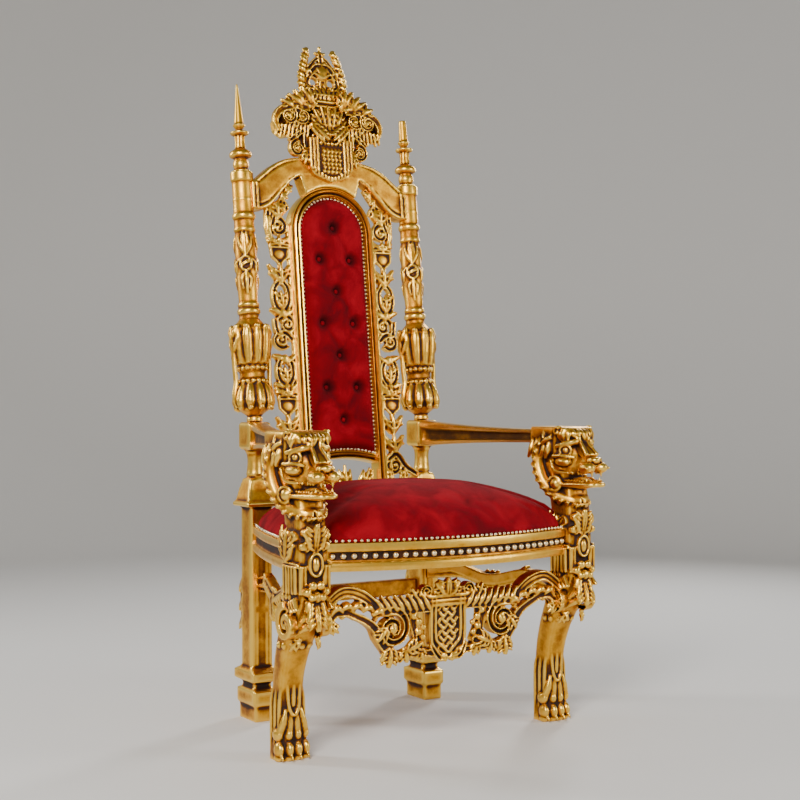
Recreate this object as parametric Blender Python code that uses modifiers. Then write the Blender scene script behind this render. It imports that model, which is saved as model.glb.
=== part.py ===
"""Gilded high-backed throne: lion-headed front legs, turned back posts, a buttoned velvet panel and a crowned crest."""

import math

import bmesh
import bpy
from mathutils import Matrix, Vector

# Driving dimensions, in metres. The throne faces -Y, +X is the viewer's right, and z = 0 is the floor.
GAP = 0.0003
BACK_AXIS_Y = 0.2566
BACK_RAKE_RUN = 0.115

REAR_LEG_X = 0.264
REAR_POST_WIDTH = 0.062
REAR_POST_DEPTH = 0.064
REAR_POST_SET_FORWARD = 0.008
REAR_FOOT_DEPTH = 0.120
REAR_FOOT_WIDTH = 0.080
REAR_FOOT_HEIGHT = 0.130
REAR_FOOT_GROOVE = 0.012
REAR_SCROLL_TOP = 0.425
REAR_SCROLL_BOTTOM = 0.185
REAR_SCROLL_REACH = 0.040
FLARE_CLEARANCE = 0.050
FLARE_HEIGHT = 0.075
FLARE_WIDTH = 0.098
COLUMN_RADIUS = 0.0215
ARM_BLOCK_HEIGHT = 0.074
ARM_BLOCK_WIDTH = 0.066
ARM_RISE = 0.013

FRONT_LEG_X = 0.390
FRONT_LEG_Y = -0.2694
KNEE_WIDTH = 0.085
ANKLE_SETBACK = 0.095
ANKLE_WIDTH = 0.062
PAW_LENGTH = 0.098
PAW_WIDTH = 0.078
PAW_HEIGHT = 0.070
NECK_RISE = 0.065
HEAD_TOP = 0.777
HEAD_WIDTH = 0.118
MUZZLE_REACH = 0.120
HEAD_BACK_REACH = 0.120
HEAD_BLOCK_HEIGHT = 0.062

ARM_WIDTH = 0.056
ARM_FRONT_HEIGHT = 0.046

SEAT_RAIL_TOP = 0.515
SEAT_RAIL_HEIGHT = 0.066
SEAT_RAIL_THICKNESS = 0.040
SEAT_BOW = 0.075
SEAT_RAIL_MOULDING = 0.006
REAR_RAIL_LAP = 0.004
SEAT_CUSHION_HEIGHT = 0.128
SEAT_CUSHION_INSET = 0.008
SEAT_CUSHION_CLEARANCE = 0.004

APRON_THICKNESS = 0.040
APRON_CLEARANCE = 0.039
APRON_DROP = 0.207
APRON_SHIELD_WIDTH = 0.105
SIDE_STRETCHER_STEP = 0.010
SIDE_STRETCHER_HEIGHT = 0.055
SIDE_STRETCHER_THICKNESS = 0.030
REAR_STRETCHER_TOP = 0.340
REAR_STRETCHER_HEIGHT = 0.045

# Heights on the raked back are measured along it, up from the arm block's top.
POST_COLUMN_RADIUS = 0.0275
POST_BULB_RADIUS = 0.053
POST_LENGTH = 0.680
FINIAL_LENGTH = 0.248
BLUNT_SPIRE_LENGTH = 0.198
SPIRE_RADIUS = 0.0130

PANEL_OUTER_WIDTH = 0.260
PANEL_MOULDING_WIDTH = 0.028
PANEL_MOULDING_DEPTH = 0.046
PANEL_ARCH_RISE = 0.004
PANEL_SILL_CLEARANCE = 0.049
PANEL_SILL_HEIGHT = 0.020
PANEL_SILL_ARCH = 0.014
PANEL_FOOT_ALLOWANCE = 0.015
BACK_CUSHION_DEPTH = 0.034
BACK_CUSHION_CROWN = 0.016
TUFT_PITCH = 0.0895
TUFT_SPREAD = 0.0475
TUFT_DEPTH = 0.010
TUFT_REACH = 0.024

FRETWORK_WIDTH = 0.066
FRETWORK_THICKNESS = 0.022
FRETWORK_DROP = 0.067
LOWER_CARVING_CLEARANCE = 0.010
LOWER_CARVING_BASE = 0.050

TOP_RAIL_THICKNESS = 0.044
TOP_RAIL_END_HEIGHT = 0.076
TOP_RAIL_DROP = 0.028
TOP_RAIL_RISE = 0.083
CREST_HEIGHT = 0.3340
CREST_WING_REACH = 0.168
CREST_THICKNESS = 0.040
CREST_SHIELD_WIDTH = 0.136
CREST_SHIELD_HEIGHT = 0.127
CROWN_WIDTH = 0.140

# Faceting of the solids
POST_SIDES = 12
FINIAL_SIDES = 8
CARVING_VOXEL = 0.0045

# Levels that follow from the sizes above: arms from the heads, back from posts and seat.
NECK_HEIGHT = SEAT_RAIL_TOP + NECK_RISE
FLARE_BOTTOM = SEAT_RAIL_TOP + FLARE_CLEARANCE
FLARE_TOP = FLARE_BOTTOM + FLARE_HEIGHT
APRON_TOP = SEAT_RAIL_TOP - SEAT_RAIL_HEIGHT - APRON_CLEARANCE
SIDE_STRETCHER_TOP = APRON_TOP - SIDE_STRETCHER_STEP
ARM_BLOCK_TOP = HEAD_TOP + ARM_RISE
BACK_FOOT_Y = BACK_AXIS_Y - BACK_RAKE_RUN * (ARM_BLOCK_TOP - SEAT_RAIL_TOP)
ARM_BLOCK_BOTTOM = ARM_BLOCK_TOP - ARM_BLOCK_HEIGHT
TOP_RAIL_END_TOP = POST_LENGTH - TOP_RAIL_DROP
TOP_RAIL_CROWN = TOP_RAIL_END_TOP + TOP_RAIL_RISE
CREST_TOP = TOP_RAIL_CROWN + CREST_HEIGHT
PANEL_TOP = TOP_RAIL_END_TOP + PANEL_ARCH_RISE
PANEL_SILL = SEAT_RAIL_TOP + SEAT_CUSHION_HEIGHT + PANEL_SILL_CLEARANCE - ARM_BLOCK_TOP
PANEL_FOOT = SEAT_RAIL_TOP - ARM_BLOCK_TOP - PANEL_FOOT_ALLOWANCE
FRETWORK_FOOT = PANEL_SILL - FRETWORK_DROP
LOWER_CARVING_TOP = PANEL_SILL - PANEL_SILL_HEIGHT - LOWER_CARVING_CLEARANCE
LOWER_CARVING_BOTTOM = PANEL_FOOT + LOWER_CARVING_BASE
RAKE = math.atan(BACK_RAKE_RUN)
GILT = ("gilt_wood", (0.72, 0.50, 0.17), 0.38, 0.9)
VELVET = ("red_velvet", (0.50, 0.005, 0.02), 0.9, 0.0)


def start_empty():
    for old in list(bpy.data.objects):
        bpy.data.objects.remove(old, do_unlink=True)
    made = {}
    for name in ("throne", "cutters"):
        made[name] = bpy.data.collections.new(name)
        bpy.context.scene.collection.children.link(made[name])
    made["cutters"].hide_render = True
    return made


COLLECTIONS = start_empty()


def finish(spec):
    """The material of that finish, made once."""
    name, colour, roughness, metallic = spec
    found = bpy.data.materials.get(name)
    if found:
        return found
    material = bpy.data.materials.new(name)
    material.use_nodes = True
    shader = material.node_tree.nodes["Principled BSDF"]
    shader.inputs["Base Color"].default_value = (*colour, 1.0)
    shader.inputs["Roughness"].default_value = roughness
    shader.inputs["Metallic"].default_value = metallic
    material.diffuse_color = (*colour, 1.0)
    return material


def raked_frame():
    """The empty that every piece of the back hangs on: z runs up the back, y out of its rear."""
    frame = bpy.data.objects.new("raked_back", None)
    COLLECTIONS["throne"].objects.link(frame)
    frame.location = (0.0, BACK_AXIS_Y, ARM_BLOCK_TOP)
    frame.rotation_euler = (-RAKE, 0.0, 0.0)
    return frame


RAKED = raked_frame()


def place(name, data, spec=GILT, parent=None, group="throne"):
    """An object of that mesh or curve, in its collection, with its finish."""
    piece = bpy.data.objects.new(name, data)
    COLLECTIONS[group].objects.link(piece)
    if group == "cutters":
        piece.hide_render = True
        piece.display_type = "WIRE"
    else:
        data.materials.append(finish(spec))
    piece.parent = parent
    return piece


def mesh_from(bm, name):
    bmesh.ops.recalc_face_normals(bm, faces=bm.faces)
    data = bpy.data.meshes.new(name)
    bm.to_mesh(data)
    bm.free()
    return data


def evaluated_mesh(piece):
    bpy.context.view_layer.update()
    graph = bpy.context.evaluated_depsgraph_get()
    return bpy.data.meshes.new_from_object(piece.evaluated_get(graph))


def made_solid(piece):
    """The piece as a plain mesh, with its modifiers or its curve worked out and its caps welded."""
    bm = bmesh.new()
    bm.from_mesh(evaluated_mesh(piece))
    bmesh.ops.remove_doubles(bm, verts=bm.verts, dist=1e-5)
    bmesh.ops.recalc_face_normals(bm, faces=bm.faces)
    name, parent, matrix = piece.name, piece.parent, piece.matrix_basis.copy()
    group = "cutters" if piece.hide_render else "throne"
    materials = [m for m in piece.data.materials]
    bpy.data.objects.remove(piece, do_unlink=True)
    data = bpy.data.meshes.new(name)
    bm.to_mesh(data)
    bm.free()
    new = bpy.data.objects.new(name, data)
    COLLECTIONS[group].objects.link(new)
    for m in materials[:1]:
        if not data.materials:
            data.materials.append(m)
    new.hide_render = group == "cutters"
    new.parent = parent
    new.matrix_basis = matrix
    return new


def cut(piece, *cutters):
    """The piece with each cutter taken out of it."""
    for cutter in cutters:
        boolean = piece.modifiers.new("cut", "BOOLEAN")
        boolean.operation = "DIFFERENCE"
        boolean.solver = "MANIFOLD"
        boolean.object = cutter
    return made_solid(piece)


def trimmed(piece, point, normal, world=True):
    """The piece cut flat by a plane and closed there; what lies on the normal's side goes."""
    bpy.context.view_layer.update()
    back = piece.matrix_world.inverted() if world else Matrix.Identity(4)
    bm = bmesh.new()
    bm.from_mesh(piece.data)
    spot = back @ Vector(point)
    away = (back.to_3x3() @ Vector(normal)).normalized()
    everything = bm.verts[:] + bm.edges[:] + bm.faces[:]
    made = bmesh.ops.bisect_plane(bm, geom=everything, plane_co=spot, plane_no=away, clear_outer=True)
    edges = [e for e in made["geom_cut"] if isinstance(e, bmesh.types.BMEdge)]
    bmesh.ops.holes_fill(bm, edges=edges)
    bmesh.ops.triangulate(bm, faces=bm.faces)
    bmesh.ops.dissolve_degenerate(bm, dist=1e-6, edges=bm.edges)
    bmesh.ops.recalc_face_normals(bm, faces=bm.faces)
    bm.to_mesh(piece.data)
    bm.free()
    return piece


def block(name, low, high, spec=GILT, parent=None, group="throne"):
    """A box between two corners."""
    bm = bmesh.new()
    low, high = Vector(low), Vector(high)
    size, middle = high - low, (high + low) / 2
    bmesh.ops.create_cube(bm, size=1.0, matrix=Matrix.Translation(middle) @ Matrix.Diagonal((*size, 1.0)))
    return place(name, mesh_from(bm, name), spec, parent, group)


def rounded_edges(piece, width, segments=1):
    bevel = piece.modifiers.new("edges", "BEVEL")
    bevel.width = width
    bevel.segments = segments
    bevel.limit_method = "ANGLE"
    bevel.angle_limit = math.radians(50)
    return piece


def turned(name, profile, sides, x, parent=None, group="throne", spec=GILT):
    """A turned piece from (radius, height) steps that run from its top to its bottom."""
    bm = bmesh.new()
    points = [bm.verts.new((radius, 0.0, height)) for radius, height in profile]
    for a, b in zip(points, points[1:]):
        bm.edges.new((a, b))
    data = bpy.data.meshes.new(name)
    bm.to_mesh(data)
    bm.free()
    piece = place(name, data, spec, parent, group)
    piece.location.x = x
    screw = piece.modifiers.new("turn", "SCREW")
    screw.steps = screw.render_steps = sides
    screw.use_merge_vertices = True
    screw.merge_threshold = 0.0001
    screw.use_smooth_shade = False
    return piece


def board(name, outline, thickness, parent=None, group="throne", spec=GILT, upright=True, holes=()):
    """A flat board of that thickness from a closed outline of (across, up) points, centred on its own plane."""
    curve = bpy.data.curves.new(name, "CURVE")
    curve.dimensions = "2D"
    curve.fill_mode = "BOTH"
    curve.extrude = thickness / 2
    for loop in (outline, *holes):
        spline = curve.splines.new("POLY")
        spline.points.add(len(loop) - 1)
        spline.use_cyclic_u = True
        for point, (across, up) in zip(spline.points, loop):
            point.co = (across, up, 0.0, 1.0)
    piece = place(name, curve, spec, parent, group)
    if upright:
        piece.rotation_euler.x = math.pi / 2
    return made_solid(piece)


def eased_rims(piece, width):
    """A board with the long edges of its front and back faces bevelled off, and its corners left square."""
    bm = bmesh.new()
    bm.from_mesh(piece.data)
    flat = [e for e in bm.edges if len(e.link_faces) == 2 and abs(e.verts[0].co.z - e.verts[1].co.z) < 1e-6]
    rims = [e for e in flat if e.calc_face_angle() > math.radians(50)]
    bmesh.ops.bevel(bm, geom=rims, offset=width, segments=1, affect="EDGES", clamp_overlap=True)
    bm.to_mesh(piece.data)
    bm.free()
    return piece


def arc(centre, radius, start, end, steps):
    """Points of an arc, angles in degrees."""
    made = []
    for step in range(steps + 1):
        angle = math.radians(start + (end - start) * step / steps)
        made.append((centre[0] + radius * math.cos(angle), centre[1] + radius * math.sin(angle)))
    return made


def smooth_line(points, steps):
    """Points read off a smooth curve through the given ones."""
    made = []
    padded = [points[0], *points, points[-1]]
    for a, b, c, d in zip(padded, padded[1:], padded[2:], padded[3:]):
        for step in range(steps):
            t = step / steps
            made.append(
                tuple(
                    0.5 * (2 * q + (r - p) * t + (2 * p - 5 * q + 4 * r - s) * t * t + (3 * q - p - 3 * r + s) * t**3)
                    for p, q, r, s in zip(a, b, c, d)
                )
            )
    return [*made, tuple(points[-1])]


class Carving:
    """Overlapping strokes and swellings of a carver's work, fused into one closed solid."""

    def __init__(self, name):
        self.name = name
        self.bm = bmesh.new()
        self.strokes = bpy.data.curves.new(name + "_strokes", "CURVE")
        self.strokes.dimensions = "3D"
        self.strokes.bevel_depth = 1.0
        self.strokes.bevel_resolution = 2
        self.strokes.use_fill_caps = True

    def swelling(self, centre, radii, turn=(0.0, 0.0, 0.0)):
        """An ellipsoid with its half sizes, turned by angles in degrees."""
        spin = Matrix.Identity(4)
        for axis, angle in zip("XYZ", turn):
            spin = Matrix.Rotation(math.radians(angle), 4, axis) @ spin
        matrix = Matrix.Translation(Vector(centre)) @ spin @ Matrix.Diagonal((*radii, 1.0))
        bmesh.ops.create_icosphere(self.bm, subdivisions=2, radius=1.0, matrix=matrix)

    def stroke(self, points, radii):
        """A round stroke through the points, its radius running evenly through the given ones."""
        spline = self.strokes.splines.new("NURBS")
        spline.points.add(len(points) - 1)
        spline.order_u = 3
        spline.resolution_u = 4
        for index, (point, co) in enumerate(zip(spline.points, points)):
            share = index / (len(points) - 1) * (len(radii) - 1)
            low = min(int(share), len(radii) - 2)
            point.co = (*co, 1.0)
            point.radius = radii[low] + (radii[low + 1] - radii[low]) * (share - low)
        spline.use_endpoint_u = True

    def slab(self, outline, thickness, depth=0.0):
        """A flat backing board, its middle at that depth."""
        face = [self.bm.verts.new((x, depth - thickness / 2, z)) for x, z in outline]
        made = bmesh.ops.extrude_face_region(self.bm, geom=[self.bm.faces.new(face)])
        moved = [v for v in made["geom"] if isinstance(v, bmesh.types.BMVert)]
        bmesh.ops.translate(self.bm, verts=moved, vec=(0.0, thickness, 0.0))

    def limb(self, stations, sides=12, squareness=3.0):
        """A body lofted through (x, y, z, half width, half depth) stations with rounded square sections."""
        rings = []
        for x, y, z, half_x, half_y in stations:
            ring = []
            for k in range(sides):
                angle = 2 * math.pi * (k + 0.5) / sides
                c, s = math.cos(angle), math.sin(angle)
                reach = (abs(c) ** squareness + abs(s) ** squareness) ** (-1 / squareness)
                ring.append(self.bm.verts.new((x + half_x * c * reach, y + half_y * s * reach, z)))
            rings.append(ring)
        for low, high in zip(rings, rings[1:]):
            for k in range(sides):
                self.bm.faces.new((low[k], low[(k + 1) % sides], high[(k + 1) % sides], high[k]))
        self.bm.faces.new(rings[0][::-1])
        self.bm.faces.new(rings[-1])

    def scroll(self, centre, across, up, radius, turns, thickness, start=0.0, hand=1, depth=0.0):
        """A volute in the plane of two axes, winding inwards from its rim to an eye."""
        across, up = Vector(across), Vector(up)
        out = across.cross(up)
        steps = max(5, round(turns * 8))
        points, radii = [], []
        for k in range(steps + 1):
            share = k / steps
            reach = radius * (1 - 0.78 * share)
            angle = math.radians(start) + hand * 2 * math.pi * turns * share
            spot = Vector(centre) + across * reach * math.cos(angle) + up * reach * math.sin(angle)
            points.append(spot + out * depth * share)
            radii.append(thickness * (1 - 0.35 * share))
        self.stroke(points, radii)
        eye = Vector(centre) + out * depth
        self.swelling(eye, [thickness * 1.25] * 3)

    def leaf(self, base, tip, side, out, width, lobes=3, thickness=0.007, bulge=0.25, curl=0.3):
        """An acanthus leaf: a midrib that bows outwards and curls at its tip, with lobes along both edges."""
        base, tip = Vector(base), Vector(tip)
        side, out = Vector(side).normalized(), Vector(out).normalized()
        run = tip - base
        length = run.length

        def rib(share):
            return base + run * share + out * length * (bulge * math.sin(math.pi * share) + curl * share**4)

        self.stroke([rib(k / 5) for k in range(6)], [thickness, thickness * 1.1, thickness * 0.7])
        for k in range(lobes):
            share = 0.12 + 0.7 * k / lobes
            spread = width * math.sin(math.pi * (0.25 + 0.6 * share))
            root = rib(share)
            for hand in (-1, 1):
                middle = rib(min(1.0, share + 0.16)) + side * hand * spread * 0.55
                end = rib(min(1.0, share + 0.3)) + side * hand * spread - out * thickness * 0.6
                self.stroke([root, middle, end], [thickness * 0.8, thickness * 0.95, thickness * 0.45])

    def dense(self, mirror, voxel):
        """Everything fused into one fine mesh."""
        if self.strokes.splines:
            tubes = bpy.data.objects.new(self.name + "_tubes", self.strokes)
            COLLECTIONS["cutters"].objects.link(tubes)
            self.bm.from_mesh(evaluated_mesh(tubes))
            bpy.data.objects.remove(tubes, do_unlink=True)
        if mirror:
            bmesh.ops.scale(self.bm, vec=(-1.0, 1.0, 1.0), verts=self.bm.verts)
            bmesh.ops.reverse_faces(self.bm, faces=self.bm.faces)
        raw = bpy.data.meshes.new(self.name)
        self.bm.to_mesh(raw)
        self.bm.free()
        piece = place(self.name, raw)
        fuse = piece.modifiers.new("fuse", "REMESH")
        fuse.mode = "VOXEL"
        fuse.voxel_size = voxel
        soften = piece.modifiers.new("soften", "SMOOTH")
        soften.iterations = 1
        mesh = evaluated_mesh(piece)
        bpy.data.objects.remove(piece, do_unlink=True)
        return mesh

    def solid(self, triangles, fit=None, parent=None, mirror=False, voxel=CARVING_VOXEL):
        """The fused carving at about that many triangles, cut to fit its neighbours by the function given.

        Where two facets come to lie on one edge, it is faceted again with a few more triangles.
        """
        mesh = self.dense(mirror, voxel)
        count = sum(len(face.vertices) - 2 for face in mesh.polygons)
        mesh.materials.clear()
        for extra in range(8):
            piece = place(self.name, mesh.copy(), parent=parent)
            fewer = piece.modifiers.new("fewer", "DECIMATE")
            fewer.ratio = min(1.0, triangles * (1 + 0.02 * extra) / count)
            piece = largest_shell(made_solid(piece))
            piece = largest_shell(fit(piece)) if fit else piece
            if is_sound(piece):
                return piece
            if extra < 7:
                bpy.data.objects.remove(piece, do_unlink=True)
        return piece


def is_sound(piece):
    """Whether each edge of the piece has just two faces once its corners are welded."""
    bm = bmesh.new()
    bm.from_mesh(piece.data)
    bmesh.ops.remove_doubles(bm, verts=bm.verts, dist=1e-5)
    sound = all(len(edge.link_faces) == 2 for edge in bm.edges)
    bm.free()
    return sound


def largest_shell(piece):
    """The piece without any small crumbs that stand apart from its main body."""
    bm = bmesh.new()
    bm.from_mesh(piece.data)
    left, shells = set(bm.faces), []
    while left:
        shell, front = set(), [left.pop()]
        while front:
            face = front.pop()
            shell.add(face)
            for edge in face.edges:
                for other in edge.link_faces:
                    if other in left:
                        left.discard(other)
                        front.append(other)
        shells.append(shell)
    main = max(shells, key=len)
    bmesh.ops.delete(bm, geom=[f for f in bm.faces if f not in main], context="FACES")
    bmesh.ops.triangulate(bm, faces=bm.faces)
    bm.to_mesh(piece.data)
    bm.free()
    return piece


# Rear legs: square posts with a moulded foot, a leafy scroll behind, a flared skirt, a short column and the arm block.
REAR_POST_Y = BACK_AXIS_Y - REAR_POST_SET_FORWARD
REAR_LEG_FRONT = REAR_POST_Y - REAR_POST_DEPTH / 2
REAR_LEG_INNER = REAR_LEG_X - REAR_POST_WIDTH / 2
ARM_BLOCK_FRONT = BACK_AXIS_Y - ARM_BLOCK_WIDTH / 2


def square_turning(name, stations, x, group="throne"):
    """A body lofted through (y, z, half width, half depth) square stations."""
    bm = bmesh.new()
    rings = []
    for y, z, half_x, half_y in stations:
        corners = ((-half_x, -half_y), (half_x, -half_y), (half_x, half_y), (-half_x, half_y))
        rings.append([bm.verts.new((x + dx, y + dy, z)) for dx, dy in corners])
    for low, high in zip(rings, rings[1:]):
        for k in range(4):
            bm.faces.new((low[k], low[(k + 1) % 4], high[(k + 1) % 4], high[k]))
    bm.faces.new(rings[0][::-1])
    bm.faces.new(rings[-1])
    return place(name, mesh_from(bm, name), group=group)


def joined(piece, *others):
    """The piece with the others fused on by Boolean union."""
    for other in others:
        boolean = piece.modifiers.new("join", "BOOLEAN")
        boolean.operation = "UNION"
        boolean.solver = "MANIFOLD"
        boolean.object = other
    made = made_solid(piece)
    for other in others:
        bpy.data.objects.remove(other, do_unlink=True)
    return made


def skirt_stations(grow=0.0):
    """The flared skirt and its cap over the square post; grow sets its faces out for a cutter."""
    skirt = FLARE_WIDTH / 2 + grow
    cap = COLUMN_RADIUS * 1.15 + grow
    return [
        (REAR_POST_Y, FLARE_BOTTOM + 0.002 - grow, skirt, skirt),
        (REAR_POST_Y, FLARE_BOTTOM + 0.008 + grow, skirt, skirt),
        (BACK_AXIS_Y, FLARE_TOP + grow, cap, cap),
    ]


def rear_leg(name, side):
    x = side * REAR_LEG_X
    half_w, half_d = REAR_POST_WIDTH / 2, REAR_POST_DEPTH / 2
    foot_w, foot_d = REAR_FOOT_WIDTH / 2, REAR_FOOT_DEPTH / 2
    groove = REAR_FOOT_GROOVE
    y = REAR_POST_Y
    stations = [
        (y, 0.0, foot_w - groove, foot_d - groove),
        (y, REAR_FOOT_HEIGHT * 0.30, foot_w - groove, foot_d - groove),
        (y, REAR_FOOT_HEIGHT * 0.36, foot_w - groove / 2, foot_d - groove / 2),
        (y, REAR_FOOT_HEIGHT * 0.62, foot_w - groove / 2, foot_d - groove / 2),
        (y, REAR_FOOT_HEIGHT * 0.66, foot_w - 2 * groove, foot_d - 2 * groove),
        (y, REAR_FOOT_HEIGHT * 0.78, foot_w - 2 * groove, foot_d - 2 * groove),
        (y, REAR_FOOT_HEIGHT * 0.82, foot_w, foot_d),
        (y, REAR_FOOT_HEIGHT, foot_w, foot_d),
        (y, REAR_FOOT_HEIGHT + groove, half_w, half_d),
        (y, FLARE_BOTTOM, half_w, half_d),
        *skirt_stations(),
    ]
    leg = square_turning(name, stations, x)
    column = [
        (0.0, ARM_BLOCK_BOTTOM + 0.01),
        (COLUMN_RADIUS * 1.2, ARM_BLOCK_BOTTOM + 0.01),
        (COLUMN_RADIUS * 1.2, ARM_BLOCK_BOTTOM - 0.006),
        (COLUMN_RADIUS, ARM_BLOCK_BOTTOM - 0.009),
        (COLUMN_RADIUS, FLARE_TOP - 0.02),
        (0.0, FLARE_TOP - 0.02),
    ]
    shaft = made_solid(turned(name + "_column", column, POST_SIDES, x))
    shaft.location.y = BACK_AXIS_Y
    half = ARM_BLOCK_WIDTH / 2
    head = block(
        name + "_block",
        (x - half, BACK_AXIS_Y - half, ARM_BLOCK_BOTTOM),
        (x + half, BACK_AXIS_Y + half, ARM_BLOCK_TOP),
    )
    rounded_edges(head, 0.003)
    leaf = Carving(name + "_leaf")
    top, bottom = REAR_SCROLL_TOP, REAR_SCROLL_BOTTOM
    rear = y + half_d
    reach = REAR_SCROLL_REACH
    middle = (top + bottom) / 2
    height = top - bottom
    spine = [
        (x, rear - 0.010, top),
        (x, rear + reach * 0.35, top - height * 0.18),
        (x, rear + reach * 0.80, middle),
        (x, rear + reach * 0.45, bottom + height * 0.2),
        (x, rear - 0.008, bottom),
    ]
    leaf.stroke(spine, [0.016, 0.026, 0.022, 0.012])
    leaf.scroll((x, rear + reach * 0.3, bottom + 0.02), (0, 1, 0), (0, 0, 1), 0.020, 1.0, 0.010, 60, -1)
    back_leaf = leaf.solid(110)
    return joined(leg, shaft, head, back_leaf)


for side, word in ((-1, "left"), (1, "right")):
    rear_leg(f"rear_leg_{word}", side)


# Back posts: turned columns with a leaf-wrapped double bulb, a spiral-carved shaft and ringed collars.
COLUMN_PROFILE = (
    (1.13, 1.0),
    (1.13, 0.96618),
    (1.00, 0.95882),
    (1.00, 0.83382),
    (1.14, 0.82647),
    (1.14, 0.81471),
    (0.98, 0.80588),
    (1.12, 0.66912),
    (1.00, 0.61029),
    (1.10, 0.55882),
    (0.98, 0.45),
    (1.14, 0.44265),
    (1.14, 0.43088),
    (0.96, 0.42353),
    (0.98, 0.40882),
)
BULB_PROFILE = (
    (0.70, 0.39706),
    (0.98, 0.37059),
    (1.02, 0.33529),
    (0.90, 0.28824),
    (0.76, 0.22059),
    (0.80, 0.20588),
    (0.80, 0.19265),
    (0.67, 0.18676),
    (0.67, 0.17206),
    (0.79, 0.16471),
    (0.79, 0.15147),
    (0.74, 0.14412),
    (0.94, 0.11176),
    (1.02, 0.08235),
    (0.90, 0.05),
    (0.34, 0.02206),
    (0.40, 0.01324),
    (0.40, -0.01176),
)
BULB_LOBES = 0.05


def post_steps(grow=0.0, lobes=0.0):
    """The post's profile in metres along the back; for a cutter, grow sets its facets out and lobes clears the pods."""
    wider = grow / math.cos(math.pi / POST_SIDES)
    column = [(share * POST_COLUMN_RADIUS + wider, rise * POST_LENGTH) for share, rise in COLUMN_PROFILE]
    swell = POST_BULB_RADIUS * (1 + lobes)
    bulb = [(share * swell + wider, rise * POST_LENGTH) for share, rise in BULB_PROFILE]
    return [(0.0, column[0][1]), *column, *bulb, (0.0, bulb[-1][1])]


def back_post(name, side):
    post = made_solid(turned(name, post_steps(), POST_SIDES, side * REAR_LEG_X, RAKED))
    bm = bmesh.new()
    bm.from_mesh(post.data)
    for vert in bm.verts:
        low, high = BULB_PROFILE[-3][1] * POST_LENGTH, BULB_PROFILE[0][1] * POST_LENGTH
        radius = math.hypot(vert.co.x, vert.co.y)
        if low < vert.co.z < high and radius > POST_BULB_RADIUS * 0.8:
            angle = math.atan2(vert.co.y, vert.co.x)
            share = 1.0 + BULB_LOBES * math.cos(6 * angle)
            vert.co.x *= share
            vert.co.y *= share
    bm.to_mesh(post.data)
    bm.free()
    return trimmed(post, (0, 0, ARM_BLOCK_TOP + GAP), (0, 0, -1))


for side, word in ((-1, "left"), (1, "right")):
    back_post(f"back_post_{word}", side)


# Finials: turned spires; the right one has lost its point and ends blunt.
FINIAL_PROFILE = (
    (1.00, 0.54839),
    (1.35, 0.52823),
    (0.80, 0.4879),
    (0.80, 0.46371),
    (1.95, 0.45161),
    (1.95, 0.43145),
    (1.12, 0.41129),
    (1.12, 0.26613),
    (2.35, 0.22177),
    (2.35, 0.17742),
    (1.30, 0.15726),
    (1.70, 0.08065),
    (1.45, 0.03226),
    (1.90, 0.0),
)


def finial(name, side, length, tip_radius):
    start = POST_LENGTH + GAP
    profile = [(0.0, start + length), (tip_radius, start + length)]
    profile += [(share * SPIRE_RADIUS, start + rise * FINIAL_LENGTH) for share, rise in FINIAL_PROFILE]
    profile += [(0.0, start)]
    return made_solid(turned(name, profile, FINIAL_SIDES, side * REAR_LEG_X, RAKED))


finial("finial_left", -1, FINIAL_LENGTH, SPIRE_RADIUS * 0.18)
finial("finial_right", 1, BLUNT_SPIRE_LENGTH, SPIRE_RADIUS * 0.82)


# Panel frame: an arched moulding on two legs that stand on the rear seat rail, with an arched sill.
PANEL_HALF = PANEL_OUTER_WIDTH / 2
PANEL_INNER_HALF = PANEL_HALF - PANEL_MOULDING_WIDTH
ARCH_CENTRE = PANEL_TOP - PANEL_HALF
ARCH_STEPS = 10


def arch_outline(half, foot, steps=ARCH_STEPS):
    """An upright round-headed shape of that half width."""
    return [(half, foot), *arc((0.0, ARCH_CENTRE), half, 0, 180, steps), (-half, foot)]


def sill_line(height, half, steps=6):
    """Points of the bowed sill from right to left at its rise above the panel's foot."""
    made = []
    for step in range(steps + 1):
        x = half * (1 - 2 * step / steps)
        made.append((x, height + PANEL_SILL_ARCH * (1 - (x / half) ** 2)))
    return made


def panel_opening(inset=0.0):
    """The opening's outline, or one that stands inside it all round by the inset."""
    half = PANEL_INNER_HALF - inset
    sill = sill_line(PANEL_SILL + inset, half)[::-1]
    return [*arc((0.0, ARCH_CENTRE), half, 0, 180, ARCH_STEPS), *sill]


def panel_frame():
    sill_low = PANEL_SILL - PANEL_SILL_HEIGHT
    below = [(PANEL_INNER_HALF, PANEL_FOOT), *sill_line(sill_low, PANEL_INNER_HALF), (-PANEL_INNER_HALF, PANEL_FOOT)]
    outline = [(PANEL_HALF, PANEL_FOOT), *arc((0.0, ARCH_CENTRE), PANEL_HALF, 0, 180, ARCH_STEPS)]
    outline += [(-PANEL_HALF, PANEL_FOOT), *below[::-1]]
    frame = board("panel_frame", outline, PANEL_MOULDING_DEPTH, RAKED, holes=[panel_opening()])
    frame = eased_rims(frame, 0.005)
    return trimmed(frame, (0, 0, SEAT_RAIL_TOP + GAP), (0, 0, -1))


panel_frame()


# Back cushion: a padded velvet panel inside the arch, drawn in by buttons on a diamond pattern.
def tuft_spots():
    """Button places as (x, height): one, then two, down the panel."""
    spots = []
    row, height = 0, PANEL_TOP - PANEL_MOULDING_WIDTH - TUFT_PITCH
    while height > PANEL_SILL + TUFT_PITCH * 0.6:
        spots += [(0.0, height)] if row % 2 == 0 else [(-TUFT_SPREAD, height), (TUFT_SPREAD, height)]
        row += 1
        height -= TUFT_PITCH
    return spots


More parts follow.
